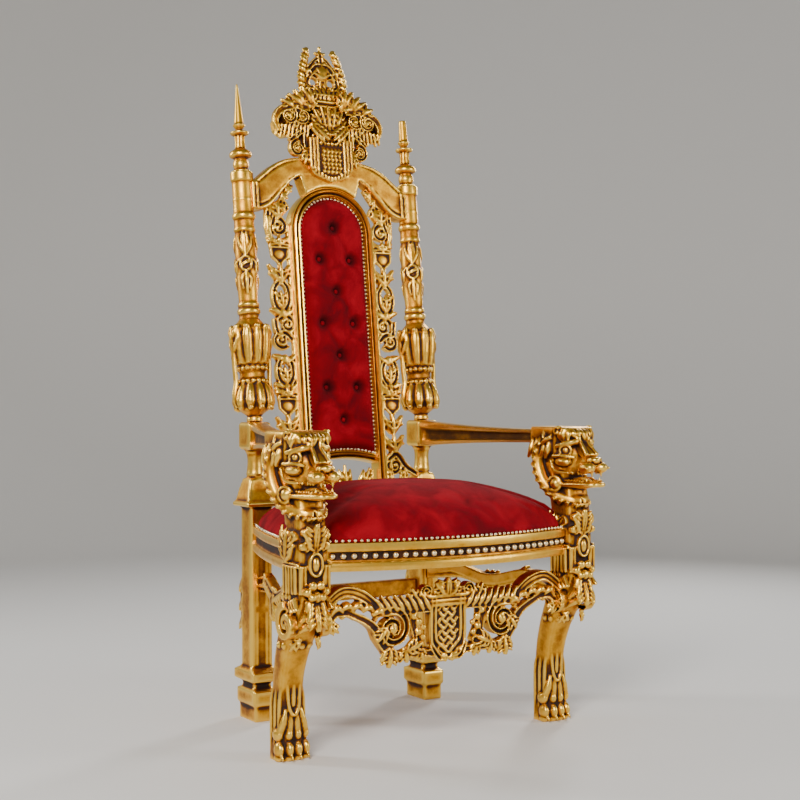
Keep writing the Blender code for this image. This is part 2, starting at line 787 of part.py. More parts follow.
def back_cushion():
    half = PANEL_INNER_HALF
    rows, columns = 11, 5
    foot = PANEL_SILL
    bm = bmesh.new()
    grids = []
    for front in (True, False):
        grid = []
        for r in range(rows + 1):
            line = []
            height = foot + (ARCH_CENTRE + half - foot) * r / rows
            rise = max(0.0, height - ARCH_CENTRE)
            reach = math.sqrt(max(half * half - rise * rise, (half * 0.12) ** 2))
            for c in range(columns + 1):
                across = -1 + 2 * c / columns
                x = across * reach
                edge = min(1.0, (1 - abs(across)) * 3.2) * min(1.0, (rows - r) / 2) * min(1.0, r / 2)
                z = height
                depth = BACK_CUSHION_DEPTH / 2
                if front:
                    dent = sum(math.exp(-((x - a) ** 2 + (z - b) ** 2) / TUFT_REACH**2) for a, b in tuft_spots())
                    y = -depth * 0.4 - BACK_CUSHION_CROWN * edge + TUFT_DEPTH * min(1.0, dent) * edge
                else:
                    y = depth * 0.6
                line.append(bm.verts.new((x, y, z)))
            grid.append(line)
        grids.append(grid)
    for grid in grids:
        for low, high in zip(grid, grid[1:]):
            for c in range(columns):
                bm.faces.new((low[c], low[c + 1], high[c + 1], high[c]))
    front, rear = grids
    rim = [(r, 0) for r in range(rows)] + [(rows, c) for c in range(columns)]
    rim += [(r, columns) for r in range(rows, 0, -1)] + [(0, c) for c in range(columns, 0, -1)]
    for (a, b), (c, d) in zip(rim, rim[1:] + rim[:1]):
        bm.faces.new((front[a][b], front[c][d], rear[c][d], rear[a][b]))
    bmesh.ops.triangulate(bm, faces=bm.faces)
    padding = place("back_cushion", mesh_from(bm, "back_cushion"), VELVET, RAKED)
    fit = board("opening_cutter", panel_opening(GAP), 0.2, RAKED, group="cutters")
    kept = padding.modifiers.new("fit", "BOOLEAN")
    kept.operation = "INTERSECT"
    kept.solver = "MANIFOLD"
    kept.object = fit
    return made_solid(padding)


back_cushion()


# Top rail: shoulders that rise from the posts in a double curve and close over the arch.
def top_rail_outline(grow=0.0):
    end = REAR_LEG_X
    top, low = TOP_RAIL_END_TOP, TOP_RAIL_END_TOP - TOP_RAIL_END_HEIGHT
    upper = [
        (end, top + grow),
        (end * 0.86, top + 0.014 + grow),
        (end * 0.66, top + 0.056 + grow),
        (end * 0.46, TOP_RAIL_CROWN - 0.006 + grow),
        (0.0, TOP_RAIL_CROWN + grow),
    ]
    lower = [
        (end, low - grow),
        (end * 0.84, low + 0.002 - grow),
        (end * 0.72, low + 0.016 - grow),
        (end * 0.56, low + 0.062 - grow),
        (end * 0.38, low + 0.112 - grow),
    ]
    right = smooth_line(upper, 2)
    under = smooth_line(lower, 2)
    middle = [(end * 0.2, ARCH_CENTRE + PANEL_HALF * 0.7), (-end * 0.2, ARCH_CENTRE + PANEL_HALF * 0.7)]
    left = [(-x, z) for x, z in right[::-1]][1:]
    left_under = [(-x, z) for x, z in under]
    return [*right, *left, *left_under, *middle[::-1], *under[::-1]]


def post_cutters():
    """Each post grown by the gap, and all that lies beyond its middle."""
    low, high = TOP_RAIL_END_TOP - TOP_RAIL_END_HEIGHT * 1.6, TOP_RAIL_END_TOP * 1.2
    made = []
    for side in (-1, 1):
        outer = turned(
            f"post_cutter_{side}", post_steps(GAP, BULB_LOBES), POST_SIDES, side * REAR_LEG_X, RAKED, "cutters"
        )
        far = side * (REAR_LEG_X + 0.2)
        near = side * REAR_LEG_X
        beyond = block(
            f"beyond_cutter_{side}",
            (min(far, near), -0.1, low),
            (max(far, near), 0.1, high),
            parent=RAKED,
            group="cutters",
        )
        made += [outer, beyond]
    return made


ARCH_CUTTER = board(
    "arch_cutter", arch_outline(PANEL_HALF + GAP, PANEL_FOOT - 0.05), 0.2, RAKED, group="cutters"
)
TOP_RAIL = board("top_rail", top_rail_outline(), TOP_RAIL_THICKNESS, RAKED)
POST_CUTTERS = post_cutters()
TOP_RAIL = cut(TOP_RAIL, *POST_CUTTERS, ARCH_CUTTER)


# Fretwork: pierced leafy boards between the panel frame and the posts, with a bracket foot at each post.
def fretwork(name, mirror):
    carving = Carving(name)
    inner, outer = PANEL_HALF + 0.004, PANEL_HALF + FRETWORK_WIDTH
    middle = (inner + outer) / 2
    side, up = (1, 0, 0), (0, 0, 1)
    foot = FRETWORK_FOOT
    spread = FRETWORK_WIDTH / 2
    carving.stroke([(inner, 0, foot), (inner, 0, 0.2), (inner, 0, ARCH_CENTRE + 0.03)], [0.005, 0.005])
    height = foot + 0.105
    pitch = FRETWORK_WIDTH * 1.45
    turn = 0
    while height < TOP_RAIL_END_TOP - TOP_RAIL_END_HEIGHT - 0.03:
        if turn % 4 == 0:
            shield = [(-0.85, 0.34), (0.85, 0.34), (0.85, -0.12), (0.0, -0.5), (-0.85, -0.12)]
            carving.slab([(middle + a * spread, height + b * pitch) for a, b in shield], FRETWORK_THICKNESS)
        else:
            hand = 1 if turn % 2 else -1
            centre = (middle + hand * spread * 0.1, 0, height)
            carving.scroll(centre, side, up, spread * 0.80, 1.1, 0.0095, 90 - hand * 60, hand)
        carving.stroke([(inner, 0, height), (middle, 0, height)], [0.009, 0.009])
        for hand in (-1, 1):
            tip = (middle + hand * spread * 0.92, 0, height + pitch * 0.70)
            carving.stroke([(middle, 0, height + pitch * 0.36), tip], [0.011, 0.006])
        carving.stroke([(middle, 0, height + pitch * 0.3), (middle, 0, height + pitch * 0.8)], [0.009, 0.009])
        height += pitch
        turn += 1
    spandrel = TOP_RAIL_END_TOP - TOP_RAIL_END_HEIGHT
    carving.stroke(
        [(outer - 0.008, 0, spandrel - 0.055), (outer - 0.004, 0, spandrel - 0.02), (outer - 0.006, 0, spandrel + 0.03)],
        [0.007, 0.009, 0.010],
    )
    carving.stroke(
        [(outer - 0.01, 0, spandrel - 0.05), (middle, 0, spandrel + 0.01), (inner - 0.02, 0, spandrel + 0.085)],
        [0.008, 0.009],
    )
    carving.scroll((middle - 0.012, 0, spandrel + 0.012), side, up, 0.022, 1.0, 0.006, 200, -1)
    reach = REAR_LEG_X - COLUMN_RADIUS
    bracket = [(inner, 0, foot + 0.03), (middle, 0, foot + 0.055), (outer + 0.01, 0, foot + 0.02), (reach, 0, foot)]
    carving.stroke(bracket, [0.010, 0.011, 0.010])
    carving.scroll((middle - 0.006, 0, foot + 0.018), side, up, 0.026, 1.1, 0.007, 100, 1)
    carving.leaf((outer, 0, foot + 0.03), (middle + 0.02, 0, foot - 0.05), side, (0, -1, 0), 0.02, 2, 0.007, 0.1, 0.1)
    carving.stroke([(inner, 0, foot + 0.03), (middle, 0, foot - 0.03)], [0.009, 0.007])
    carving.stroke([(inner, 0, foot + 0.10), (inner + 0.006, 0, foot + 0.04)], [0.010, 0.010])
    hand = -1 if mirror else 1
    rail_cutter = board("rail_cutter_" + name, top_rail_outline(GAP), 0.2, RAKED, group="cutters")
    leg_cutter = square_turning("skirt_cutter_" + name, skirt_stations(GAP), hand * REAR_LEG_X, "cutters")
    reach = ARM_BLOCK_WIDTH / 2 + GAP
    block_cutter = block(
        "block_cutter_" + name,
        (hand * REAR_LEG_X - reach, BACK_AXIS_Y - reach, ARM_BLOCK_BOTTOM - GAP),
        (hand * REAR_LEG_X + reach, BACK_AXIS_Y + reach, ARM_BLOCK_TOP + GAP),
        group="cutters",
    )
    post_cutter = POST_CUTTERS[0 if mirror else 2]

    def fit(piece):
        piece = cut(piece, ARCH_CUTTER, rail_cutter, leg_cutter, block_cutter, post_cutter)
        return trimmed(piece, (hand * (REAR_LEG_X - COLUMN_RADIUS * 1.15 - GAP), 0, 0), (hand, 0, 0))

    return carving.solid(370, fit, RAKED, mirror)


fretwork("fretwork_left", True)
fretwork("fretwork_right", False)


# Lower carving: a pierced spray of leaves under the sill, standing on the rear seat rail.
def lower_carving():
    carving = Carving("lower_back_carving")
    half = PANEL_INNER_HALF
    low, high = LOWER_CARVING_BOTTOM, LOWER_CARVING_TOP
    base = PANEL_FOOT
    carving.slab([(-half, low), (half, low), (half, base - 0.01), (-half, base - 0.01)], 0.020)
    for side in (-1, 1):
        carving.scroll((side * half * 0.45, 0, low + 0.04), (side, 0, 0), (0, 0, 1), 0.030, 1.2, 0.007, 200, 1)
        carving.leaf((side * 0.015, 0, low), (side * half * 0.8, 0, high - 0.02), (-side, 0, 1), (0, -1, 0), 0.022, 3)
        carving.stroke([(side * half * 0.95, 0, low), (side * half * 0.9, 0, high - 0.025)], [0.009, 0.006])
    carving.leaf((0, 0, low), (0, 0, high - 0.01), (1, 0, 0), (0, -1, 0), 0.025, 3)

    def fit(piece):
        piece = trimmed(piece, (half - GAP, 0, 0), (1, 0, 0), world=False)
        piece = trimmed(piece, (GAP - half, 0, 0), (-1, 0, 0), world=False)
        return trimmed(piece, (0, 0, SEAT_RAIL_TOP + GAP), (0, 0, -1))

    return carving.solid(190, fit, RAKED)


lower_carving()


# Crest: a planted shield with scrolls, leafy wings and an open crown.
def crest():
    carving = Carving("crest")
    front = -TOP_RAIL_THICKNESS / 2
    side, up, out = (1, 0, 0), (0, 0, 1), (0, -1, 0)
    half = CREST_SHIELD_WIDTH / 2
    shield_top = TOP_RAIL_CROWN + 0.055
    shield_low = shield_top - CREST_SHIELD_HEIGHT
    shape = [
        (-half, shield_top),
        (half, shield_top),
        (half, shield_low + 0.035),
        (half * 0.45, shield_low + 0.012),
        (0, shield_low),
        (-half * 0.45, shield_low + 0.012),
        (-half, shield_low + 0.035),
    ]
    carving.slab(shape, 0.018, front - 0.004)
    for hand in (-1, 1):
        for share in (0.95, 0.66):
            x = hand * half * share
            carving.stroke([(x, front - 0.014, shield_low + 0.035), (x, front - 0.016, shield_top)], [0.0075, 0.0075])
    carving.swelling((0, front - 0.012, (shield_low + shield_top) / 2), (half * 0.4, 0.010, 0.038))
    wing = CREST_WING_REACH
    body_low, body_high = TOP_RAIL_CROWN - 0.02, TOP_RAIL_CROWN + 0.155
    mass = [
        (0.05, body_low),
        (0.085, body_low + 0.030),
        (0.098, body_low + 0.092),
        (wing * 0.80, body_low + 0.072),
        (wing * 0.97, body_low + 0.088),
        (wing * 0.99, body_low + 0.122),
        (wing * 0.86, body_high - 0.012),
        (wing * 0.50, body_high + 0.012),
        (0.040, body_high + 0.025),
    ]
    outline = [*mass, *[(-x, z) for x, z in mass[::-1]]]
    carving.slab(outline, CREST_THICKNESS * 0.62)
    for hand in (-1, 1):
        face = (hand, 0, 0)
        carving.scroll((hand * 0.100, front + 0.006, TOP_RAIL_CROWN + 0.018), face, up, 0.024, 1.1, 0.011, 95, -1)
        for k in range(4):
            root = (hand * (0.035 + 0.016 * k), front + 0.004, body_high - 0.010 - 0.012 * k)
            bend = (hand * (0.095 + 0.014 * k), front - 0.004, body_high - 0.004 - 0.020 * k)
            tip = (hand * wing * (1.0 - 0.04 * k), front + 0.004, body_low + 0.125 - 0.022 * k)
            carving.stroke([root, bend, tip], [0.009, 0.013, 0.007])
        for k in range(4):
            x = hand * (0.050 + 0.028 * k)
            tip = (hand * (0.070 + 0.027 * k), 0, body_high + 0.052 - 0.014 * k)
            carving.stroke([(x, 0, body_high - 0.01), (x, front + 0.012, body_high + 0.02), tip], [0.015, 0.014, 0.007])
    carving.swelling((0, front + 0.002, body_high - 0.045), (0.050, 0.022, 0.055))
    crown_low = body_high - 0.004
    crown_half = CROWN_WIDTH / 2
    neck = 0.038
    carving.stroke([(-neck, 0, crown_low + 0.012), (neck, 0, crown_low + 0.012)], [0.013, 0.013])
    carving.swelling((0, 0, crown_low + 0.040), (0.032, 0.018, 0.036))
    top = CREST_TOP
    for hand in (-1, 1):
        carving.stroke(
            [
                (hand * neck, 0, crown_low + 0.012),
                (hand * crown_half * 0.92, 0, crown_low + 0.035),
                (hand * crown_half * 0.95, 0, crown_low + 0.080),
                (hand * crown_half * 0.76, 0, top - 0.085),
                (hand * crown_half * 0.62, 0, top - 0.022),
            ],
            [0.014, 0.014, 0.012],
        )
        carving.stroke(
            [(hand * 0.018, 0, crown_low + 0.06), (hand * crown_half * 0.8, 0, crown_low + 0.045)], [0.011, 0.011]
        )
        carving.stroke(
            [(0, 0, crown_low + 0.085), (hand * 0.025, 0, crown_low + 0.125), (hand * crown_half * 0.7, 0, top - 0.07)],
            [0.012, 0.012],
        )
    carving.stroke([(0, 0, crown_low + 0.03), (0, 0, top - 0.03)], [0.014, 0.012, 0.010])
    carving.stroke([(-0.014, 0, top - 0.024), (0.014, 0, top - 0.024)], [0.007, 0.007])
    carving.stroke([(0, 0, top - 0.04), (0, 0, top - 0.004)], [0.008, 0.007])
    rail_cutter = board(
        "rail_cutter_crest", top_rail_outline(GAP), TOP_RAIL_THICKNESS + 2 * GAP, RAKED, group="cutters"
    )
    return carving.solid(760, lambda piece: cut(piece, rail_cutter, ARCH_CUTTER), RAKED, voxel=0.004)


crest()


# Front legs: each is one carving, from the lion's head at the arm through the leafy knee down to the paw.
LEG_INNER = FRONT_LEG_X - KNEE_WIDTH / 2
LEG_REAR = FRONT_LEG_Y + KNEE_WIDTH / 2
STRETCHER_REAR = FRONT_LEG_Y + KNEE_WIDTH / 2 + 0.012


def lion_leg(name, mirror):
    carving = Carving(name)
    x, y = FRONT_LEG_X, FRONT_LEG_Y
    knee, ankle = KNEE_WIDTH / 2, ANKLE_WIDTH / 2
    set_back = ANKLE_SETBACK
    carving.limb(
        [
            (x, y + set_back, -0.012, ankle, ankle),
            (x, y + set_back, 0.160, ankle, ankle),
            (x, y + set_back * 0.78, SEAT_RAIL_TOP - 0.270, ankle * 1.12, ankle * 1.12),
            (x, y + set_back * 0.40, SEAT_RAIL_TOP - 0.200, knee * 0.95, knee * 0.95),
            (x, y + set_back * 0.10, SEAT_RAIL_TOP - 0.135, knee, knee),
            (x, y, SEAT_RAIL_TOP - 0.075, knee, knee),
            (x, y, SEAT_RAIL_TOP, knee, knee),
            (x, y, NECK_HEIGHT, knee * 0.92, knee * 0.95),
            (x, y + 0.010, NECK_HEIGHT + 0.06, knee, knee * 1.1),
        ],
        12,
        4.0,
    )
    add_paw(carving, x, y + set_back)
    add_knee_leaves(carving, x, y, knee)
    add_lion_head(carving, x, y)
    hand = -1 if mirror else 1
    low, high = 0.18, SEAT_RAIL_TOP + SEAT_CUSHION_HEIGHT * 0.8
    inner_far = hand * (LEG_INNER - 0.10)
    inner_near = hand * LEG_INNER
    inner = block(
        name + "_inner_cutter",
        (min(inner_far, inner_near), y - 0.2, low),
        (max(inner_far, inner_near), y + 0.3, high),
        group="cutters",
    )
    outer = hand * (x + 0.12)
    x_low, x_high = min(outer, inner_far), max(outer, inner_far)
    rear = block(
        name + "_rear_cutter",
        (x_low, LEG_REAR, SEAT_RAIL_TOP - SEAT_RAIL_HEIGHT - 0.02),
        (x_high, LEG_REAR + 0.1, high),
        group="cutters",
    )
    seat = SIDE_STRETCHER_TOP - SIDE_STRETCHER_HEIGHT
    socket = block(
        name + "_stretcher_cutter",
        (x_low, STRETCHER_REAR, seat - 0.01),
        (x_high, STRETCHER_REAR + 0.1, SIDE_STRETCHER_TOP + 0.01),
        group="cutters",
    )

    def fit(piece):
        piece = trimmed(cut(piece, inner, rear, socket), (0, y + HEAD_BACK_REACH, 0), (0, 1, 0))
        return trimmed(piece, (0, 0, 0), (0, 0, -1))

    return carving.solid(900, fit, mirror=mirror, voxel=0.004)


def add_paw(carving, x, y):
    """Four toes with claws under a broad instep, the shank's flutes and the rimmed hollow; y is the ankle's middle."""
    half, length, height = PAW_WIDTH / 2, PAW_LENGTH, PAW_HEIGHT
    shank = ANKLE_WIDTH / 2
    front = y + shank - length
    carving.swelling((x, (y + front) / 2 + 0.010, height * 0.50), (half * 0.95, length * 0.42, height * 0.60))
    for k in range(4):
        spread = (k - 1.5) / 1.5
        toe = x + spread * half * 0.74
        reach = front + 0.017 + abs(spread) * 0.010
        carving.swelling((toe, reach + 0.018, height * 0.60), (half * 0.27, 0.022, height * 0.30))
        carving.swelling((toe, reach, height * 0.27), (half * 0.27, 0.017, height * 0.30))
        carving.swelling((toe, reach - 0.012, height * 0.12), (0.004, 0.010, 0.008))
    for hand in (-1, 1):
        for share in (-0.6, 0.25):
            side_x, side_y = x + hand * shank * 0.98, y + shank * 0.4 - share * shank * 0.6
            carving.stroke([(side_x, side_y, 0.012), (side_x, side_y, 0.190)], [0.006, 0.007])
    carving.stroke(
        [
            (x - shank * 0.42, y - shank * 0.98, 0.235),
            (x - shank * 0.46, y - shank * 1.04, 0.145),
            (x, y - shank * 1.18, 0.098),
            (x + shank * 0.46, y - shank * 1.04, 0.145),
            (x + shank * 0.42, y - shank * 0.98, 0.235),
        ],
        [0.006, 0.007, 0.006],
    )


def add_knee_leaves(carving, x, y, knee):
    """Scrolls below the knee, a boss on its front and leaves that climb to the neck."""
    front = y - knee
    seat = SEAT_RAIL_TOP
    for hand in (-1, 1):
        side_x = x + hand * knee * 0.92
        carving.scroll((side_x, y - 0.004, seat - 0.190), (0, -1, 0), (0, 0, 1), 0.040, 1.2, 0.010, 110, 1)
        carving.leaf(
            (side_x, y, seat - 0.145), (side_x, y - 0.01, seat - 0.070),
            (0, 1, 0), (hand, 0, 0), 0.03, 3, 0.009, 0.1, 0.1,
        )
        carving.leaf(
            (side_x, y + 0.01, seat - 0.015), (side_x, y, seat + 0.050),
            (0, 1, 0), (hand, 0, 0), 0.03, 3, 0.009, 0.1, 0.1,
        )
    carving.leaf(
        (x, front + 0.004, seat - 0.155), (x, front - 0.018, seat - 0.230),
        (1, 0, 0), (0, -1, 0), 0.045, 4, 0.010, 0.25, 0.1,
    )
    carving.swelling((x, front - 0.002, seat - 0.054), (0.019, 0.012, 0.026))
    carving.leaf(
        (x, front + 0.004, seat - 0.025), (x, front - 0.006, seat + 0.047),
        (1, 0, 0), (0, -1, 0), 0.045, 4, 0.010, 0.1, 0.25,
    )
    carving.swelling((x, front + 0.004, seat - 0.110), (0.025, 0.016, 0.030))
    for k in range(5):
        angle = math.radians(-90 + (k - 2) * 38)
        spot = (x + knee * 0.85 * math.cos(angle), y + 0.01 + knee * 0.95 * math.sin(angle), seat - 0.243)
        carving.swelling(spot, (0.010, 0.010, 0.011))


def add_lion_head(carving, x, y):
    """Open-mouthed lion facing forward, with a ruff of mane round its face."""
    half = HEAD_WIDTH / 2
    reach = MUZZLE_REACH
    top = HEAD_TOP
    block_z = top - HEAD_BLOCK_HEIGHT / 2
    carving.swelling((x, y + 0.015, top - 0.075), (half * 0.88, 0.062, 0.062))
    carving.swelling((x, y - 0.018, top - 0.040), (half * 0.74, 0.044, 0.032))
    carving.limb(
        [
            (x, y + 0.040, top - 0.110, half * 0.75, 0.062),
            (x, y + 0.052, block_z, half * 0.90, 0.075),
            (x, y + 0.052, top - 0.006, half * 0.85, 0.075),
            (x, y + 0.052, top, half * 0.70, 0.070),
        ],
        12,
        5.0,
    )
    carving.swelling((x, y - reach + 0.018, top - 0.096), (0.022, 0.018, 0.015))
    for hand in (-1, 1):
        carving.stroke(
            [
                (x + hand * 0.012, y - 0.030, top - 0.036),
                (x + hand * 0.011, y - 0.070, top - 0.056),
                (x + hand * 0.012, y - reach * 0.84, top - 0.083),
            ],
            [0.014, 0.012, 0.013],
        )
        carving.swelling((x + hand * 0.021, y - reach * 0.70, top - 0.104), (0.021, 0.032, 0.017))
        carving.swelling((x + hand * half * 0.68, y - 0.022, top - 0.084), (0.018, 0.032, 0.019))
        carving.swelling((x + hand * half * 0.62, y - 0.016, top - 0.056), (0.012, 0.014, 0.011))
        carving.stroke(
            [
                (x + hand * 0.008, y - 0.052, top - 0.036),
                (x + hand * half * 0.55, y - 0.034, top - 0.036),
                (x + hand * half * 0.86, y + 0.006, top - 0.050),
            ],
            [0.010, 0.010, 0.008],
        )
        carving.swelling((x + hand * half * 0.80, y - 0.018, top - 0.010), (0.015, 0.011, 0.014), (0, hand * 25, 0))
        carving.stroke(
            [
                (x + hand * half * 0.80, y + 0.055, top - 0.030),
                (x + hand * half * 1.02, y + 0.072, top - 0.080),
                (x + hand * half * 0.98, y + 0.052, top - 0.135),
                (x + hand * half * 0.72, y + 0.010, top - 0.178),
                (x + hand * half * 0.30, y - 0.035, top - 0.190),
                (x, y - 0.046, top - 0.192),
            ],
            [0.018, 0.021, 0.020, 0.017],
        )
        carving.swelling((x + hand * half * 0.60, y + 0.018, top - 0.140), (0.012, 0.014, 0.014))
        carving.stroke(
            [
                (x + hand * half * 0.55, y + 0.01, top - 0.140),
                (x + hand * half * 0.40, y - 0.050, top - 0.146),
                (x + hand * 0.006, y - reach * 0.80, top - 0.146),
            ],
            [0.012, 0.011, 0.010],
        )
    carving.swelling((x, y - 0.030, top - 0.150), (half * 0.45, 0.052, 0.012))
    carving.limb(
        [
            (x, y + 0.010, NECK_HEIGHT - 0.01, half * 0.70, 0.045),
            (x, y + 0.022, top - 0.150, half * 0.80, 0.055),
            (x, y + 0.040, top - 0.095, half * 0.88, 0.072),
        ],
        12,
        2.5,
    )


lion_leg("lion_leg_left", True)
lion_leg("lion_leg_right", False)


# Arms: moulded rails from the rear blocks to the backs of the lion heads, splayed outwards and dipping.
HEAD_BACK_Y = FRONT_LEG_Y + HEAD_BACK_REACH


def arm(name, side):
    start_y, end_y = ARM_BLOCK_FRONT - GAP, HEAD_BACK_Y + GAP
    front_top = HEAD_TOP
    stations = []
    for k in range(7):
        t = k / 6
        y = start_y + (end_y - start_y) * t
        x = side * (REAR_LEG_X + (FRONT_LEG_X - REAR_LEG_X) * t)
        ease = t * (2 - t)
        high = ARM_BLOCK_TOP - 0.002 + (front_top - 0.006 - ARM_BLOCK_TOP) * ease
        low = ARM_BLOCK_BOTTOM + 0.002 + (front_top - ARM_FRONT_HEIGHT - ARM_BLOCK_BOTTOM) * ease
        stations.append((x, y, low, high))
    bm = bmesh.new()
    rings = []
    half = ARM_WIDTH / 2
    for x, y, low, high in stations:
        height = high - low
        shape = (
            (-0.80, 0.0),
            (0.80, 0.0),
            (0.80, 0.18),
            (0.62, 0.26),
            (0.62, 0.62),
            (1.00, 0.74),
            (0.92, 0.94),
            (0.60, 1.0),
        )
        ring = [(a * half, low + b * height) for a, b in shape]
        ring += [(-a * half, low + b * height) for a, b in shape[:1:-1]]
        rings.append([bm.verts.new((x + dx, y, z)) for dx, z in ring])
    count = len(rings[0])
    for a, b in zip(rings, rings[1:]):
        for k in range(count):
            bm.faces.new((a[k], a[(k + 1) % count], b[(k + 1) % count], b[k]))
    bm.faces.new(rings[0][::-1])
    bm.faces.new(rings[-1])
    return place(name, mesh_from(bm, name))


for side, word in ((-1, "left"), (1, "right")):
    arm(f"arm_{word}", side)


# Seat frame: a bowed front rail, splayed side rails and a plain rear rail, mitred to nothing but butted at the legs.
SEAT_RAIL_LOW = SEAT_RAIL_TOP - SEAT_RAIL_HEIGHT
RAIL_SECTION = ((0.0, 0.0), (1.0, 0.0), (1.0, 0.22), (0.0, 0.30), (0.0, 0.62), (0.8, 0.72), (1.0, 1.0))


def front_line(x, inset=0.0):
    """The y of the bowed front face at a place across the seat."""
    ends = FRONT_LEG_Y - KNEE_WIDTH * 0.30
    return ends - SEAT_BOW * (1 - (x / LEG_INNER) ** 2) + inset


def rail_between(name, path, inward):
    """A moulded rail along a plan path of outer face points; inward says which way its back lies."""
    bm = bmesh.new()
    rings = []
    for (x, y), (ix, iy) in zip(path, inward):
        ring = []
        for out, height in RAIL_SECTION:
            depth = SEAT_RAIL_MOULDING * (1 - out)
            z = SEAT_RAIL_LOW + SEAT_RAIL_HEIGHT * height
            ring.append(bm.verts.new((x + ix * depth, y + iy * depth, z)))
        thick = SEAT_RAIL_THICKNESS
        ring.append(bm.verts.new((x + ix * thick, y + iy * thick, SEAT_RAIL_TOP)))
        ring.append(bm.verts.new((x + ix * thick, y + iy * thick, SEAT_RAIL_LOW)))
        rings.append(ring)
    count = len(rings[0])
    for a, b in zip(rings, rings[1:]):
        for k in range(count):
            bm.faces.new((a[k], a[(k + 1) % count], b[(k + 1) % count], b[k]))
    bm.faces.new(rings[0][::-1])
    bm.faces.new(rings[-1])
    return place(name, mesh_from(bm, name))


def front_rail():
    steps = 12
    half = LEG_INNER - GAP
    path, inward = [], []
    for k in range(steps + 1):
        x = -half + 2 * half * k / steps
        path.append((x, front_line(x)))
        inward.append((0.0, 1.0))
    return rail_between("seat_rail_front", path, inward)


SIDE_RAIL_FRONT_X = FRONT_LEG_X + KNEE_WIDTH * 0.30
SIDE_RAIL_REAR_X = REAR_LEG_X + REAR_POST_WIDTH * 0.42


def side_line(y):
    """The x of the side rail's outer face at a place along the seat."""
    share = (y - LEG_REAR) / (REAR_LEG_FRONT - LEG_REAR)
    return SIDE_RAIL_FRONT_X + (SIDE_RAIL_REAR_X - SIDE_RAIL_FRONT_X) * share + 0.012 * math.sin(math.pi * share)


def side_rail(name, side):
    start, end = LEG_REAR + GAP, REAR_LEG_FRONT - GAP
    steps = 6
    path = []
    for k in range(steps + 1):
        y = start + (end - start) * k / steps
        path.append((side * side_line(y), y))
    return rail_between(name, path, [(-side * 1.0, 0.0)] * (steps + 1))


front_rail()
side_rail("seat_rail_left", -1)
side_rail("seat_rail_right", 1)
REAR_RAIL_FRONT = min(REAR_POST_Y - SEAT_RAIL_THICKNESS / 2, BACK_FOOT_Y + REAR_RAIL_LAP)
block(
    "seat_rail_rear",
    (-REAR_LEG_INNER + GAP, REAR_RAIL_FRONT, SEAT_RAIL_LOW),
    (REAR_LEG_INNER - GAP, REAR_POST_Y + SEAT_RAIL_THICKNESS / 2, SEAT_RAIL_TOP),
)


# Seat cushion: a sprung, crowned velvet seat that fills the frame, notched round the front legs.
def seat_plan():
    """The cushion's outline seen from above, anticlockwise, symmetric about x = 0."""
    inset = SEAT_CUSHION_INSET
    leg_x = LEG_INNER - SEAT_CUSHION_CLEARANCE
    leg_y = LEG_REAR + SEAT_CUSHION_CLEARANCE
    panel_front = BACK_FOOT_Y - PANEL_MOULDING_DEPTH / 2 / math.cos(RAKE)
    rear = min(REAR_POST_Y - FLARE_WIDTH / 2, panel_front) - SEAT_CUSHION_CLEARANCE
    right = [(leg_x * k / 4, front_line(leg_x * k / 4, inset)) for k in range(5)]
    right.append((leg_x, leg_y))
    for k in range(5):
        y = leg_y + (rear - leg_y) * k / 4
        right.append((side_line(y) - inset, y))
    right.append((0.0, rear))
    left = [(-x, y) for x, y in right[-2:0:-1]]
    return right + left


def seat_cushion():
    plan = seat_plan()
    middle = Vector((0.0, (LEG_REAR + REAR_LEG_FRONT) / 2 - 0.05, 0.0))
    base = SEAT_RAIL_TOP + GAP
    levels = ((1.0, 0.0), (0.99, 0.14), (0.93, 0.42), (0.80, 0.70), (0.58, 0.90), (0.28, 1.0))
    bm = bmesh.new()
    rings = []
    for share, rise in levels:
        ring = []
        for x, y in plan:
            spot = middle.lerp(Vector((x, y, 0.0)), share)
            ring.append(bm.verts.new((spot.x, spot.y, base + SEAT_CUSHION_HEIGHT * rise)))
        rings.append(ring)
    count = len(plan)
    for a, b in zip(rings, rings[1:]):
        for k in range(count):
            bm.faces.new((a[k], a[(k + 1) % count], b[(k + 1) % count], b[k]))
    bm.faces.new(rings[0][::-1])
    bm.faces.new(rings[-1])
    bmesh.ops.triangulate(bm, faces=bm.faces)
    return place("seat_cushion", mesh_from(bm, "seat_cushion"), VELVET)


seat_cushion()


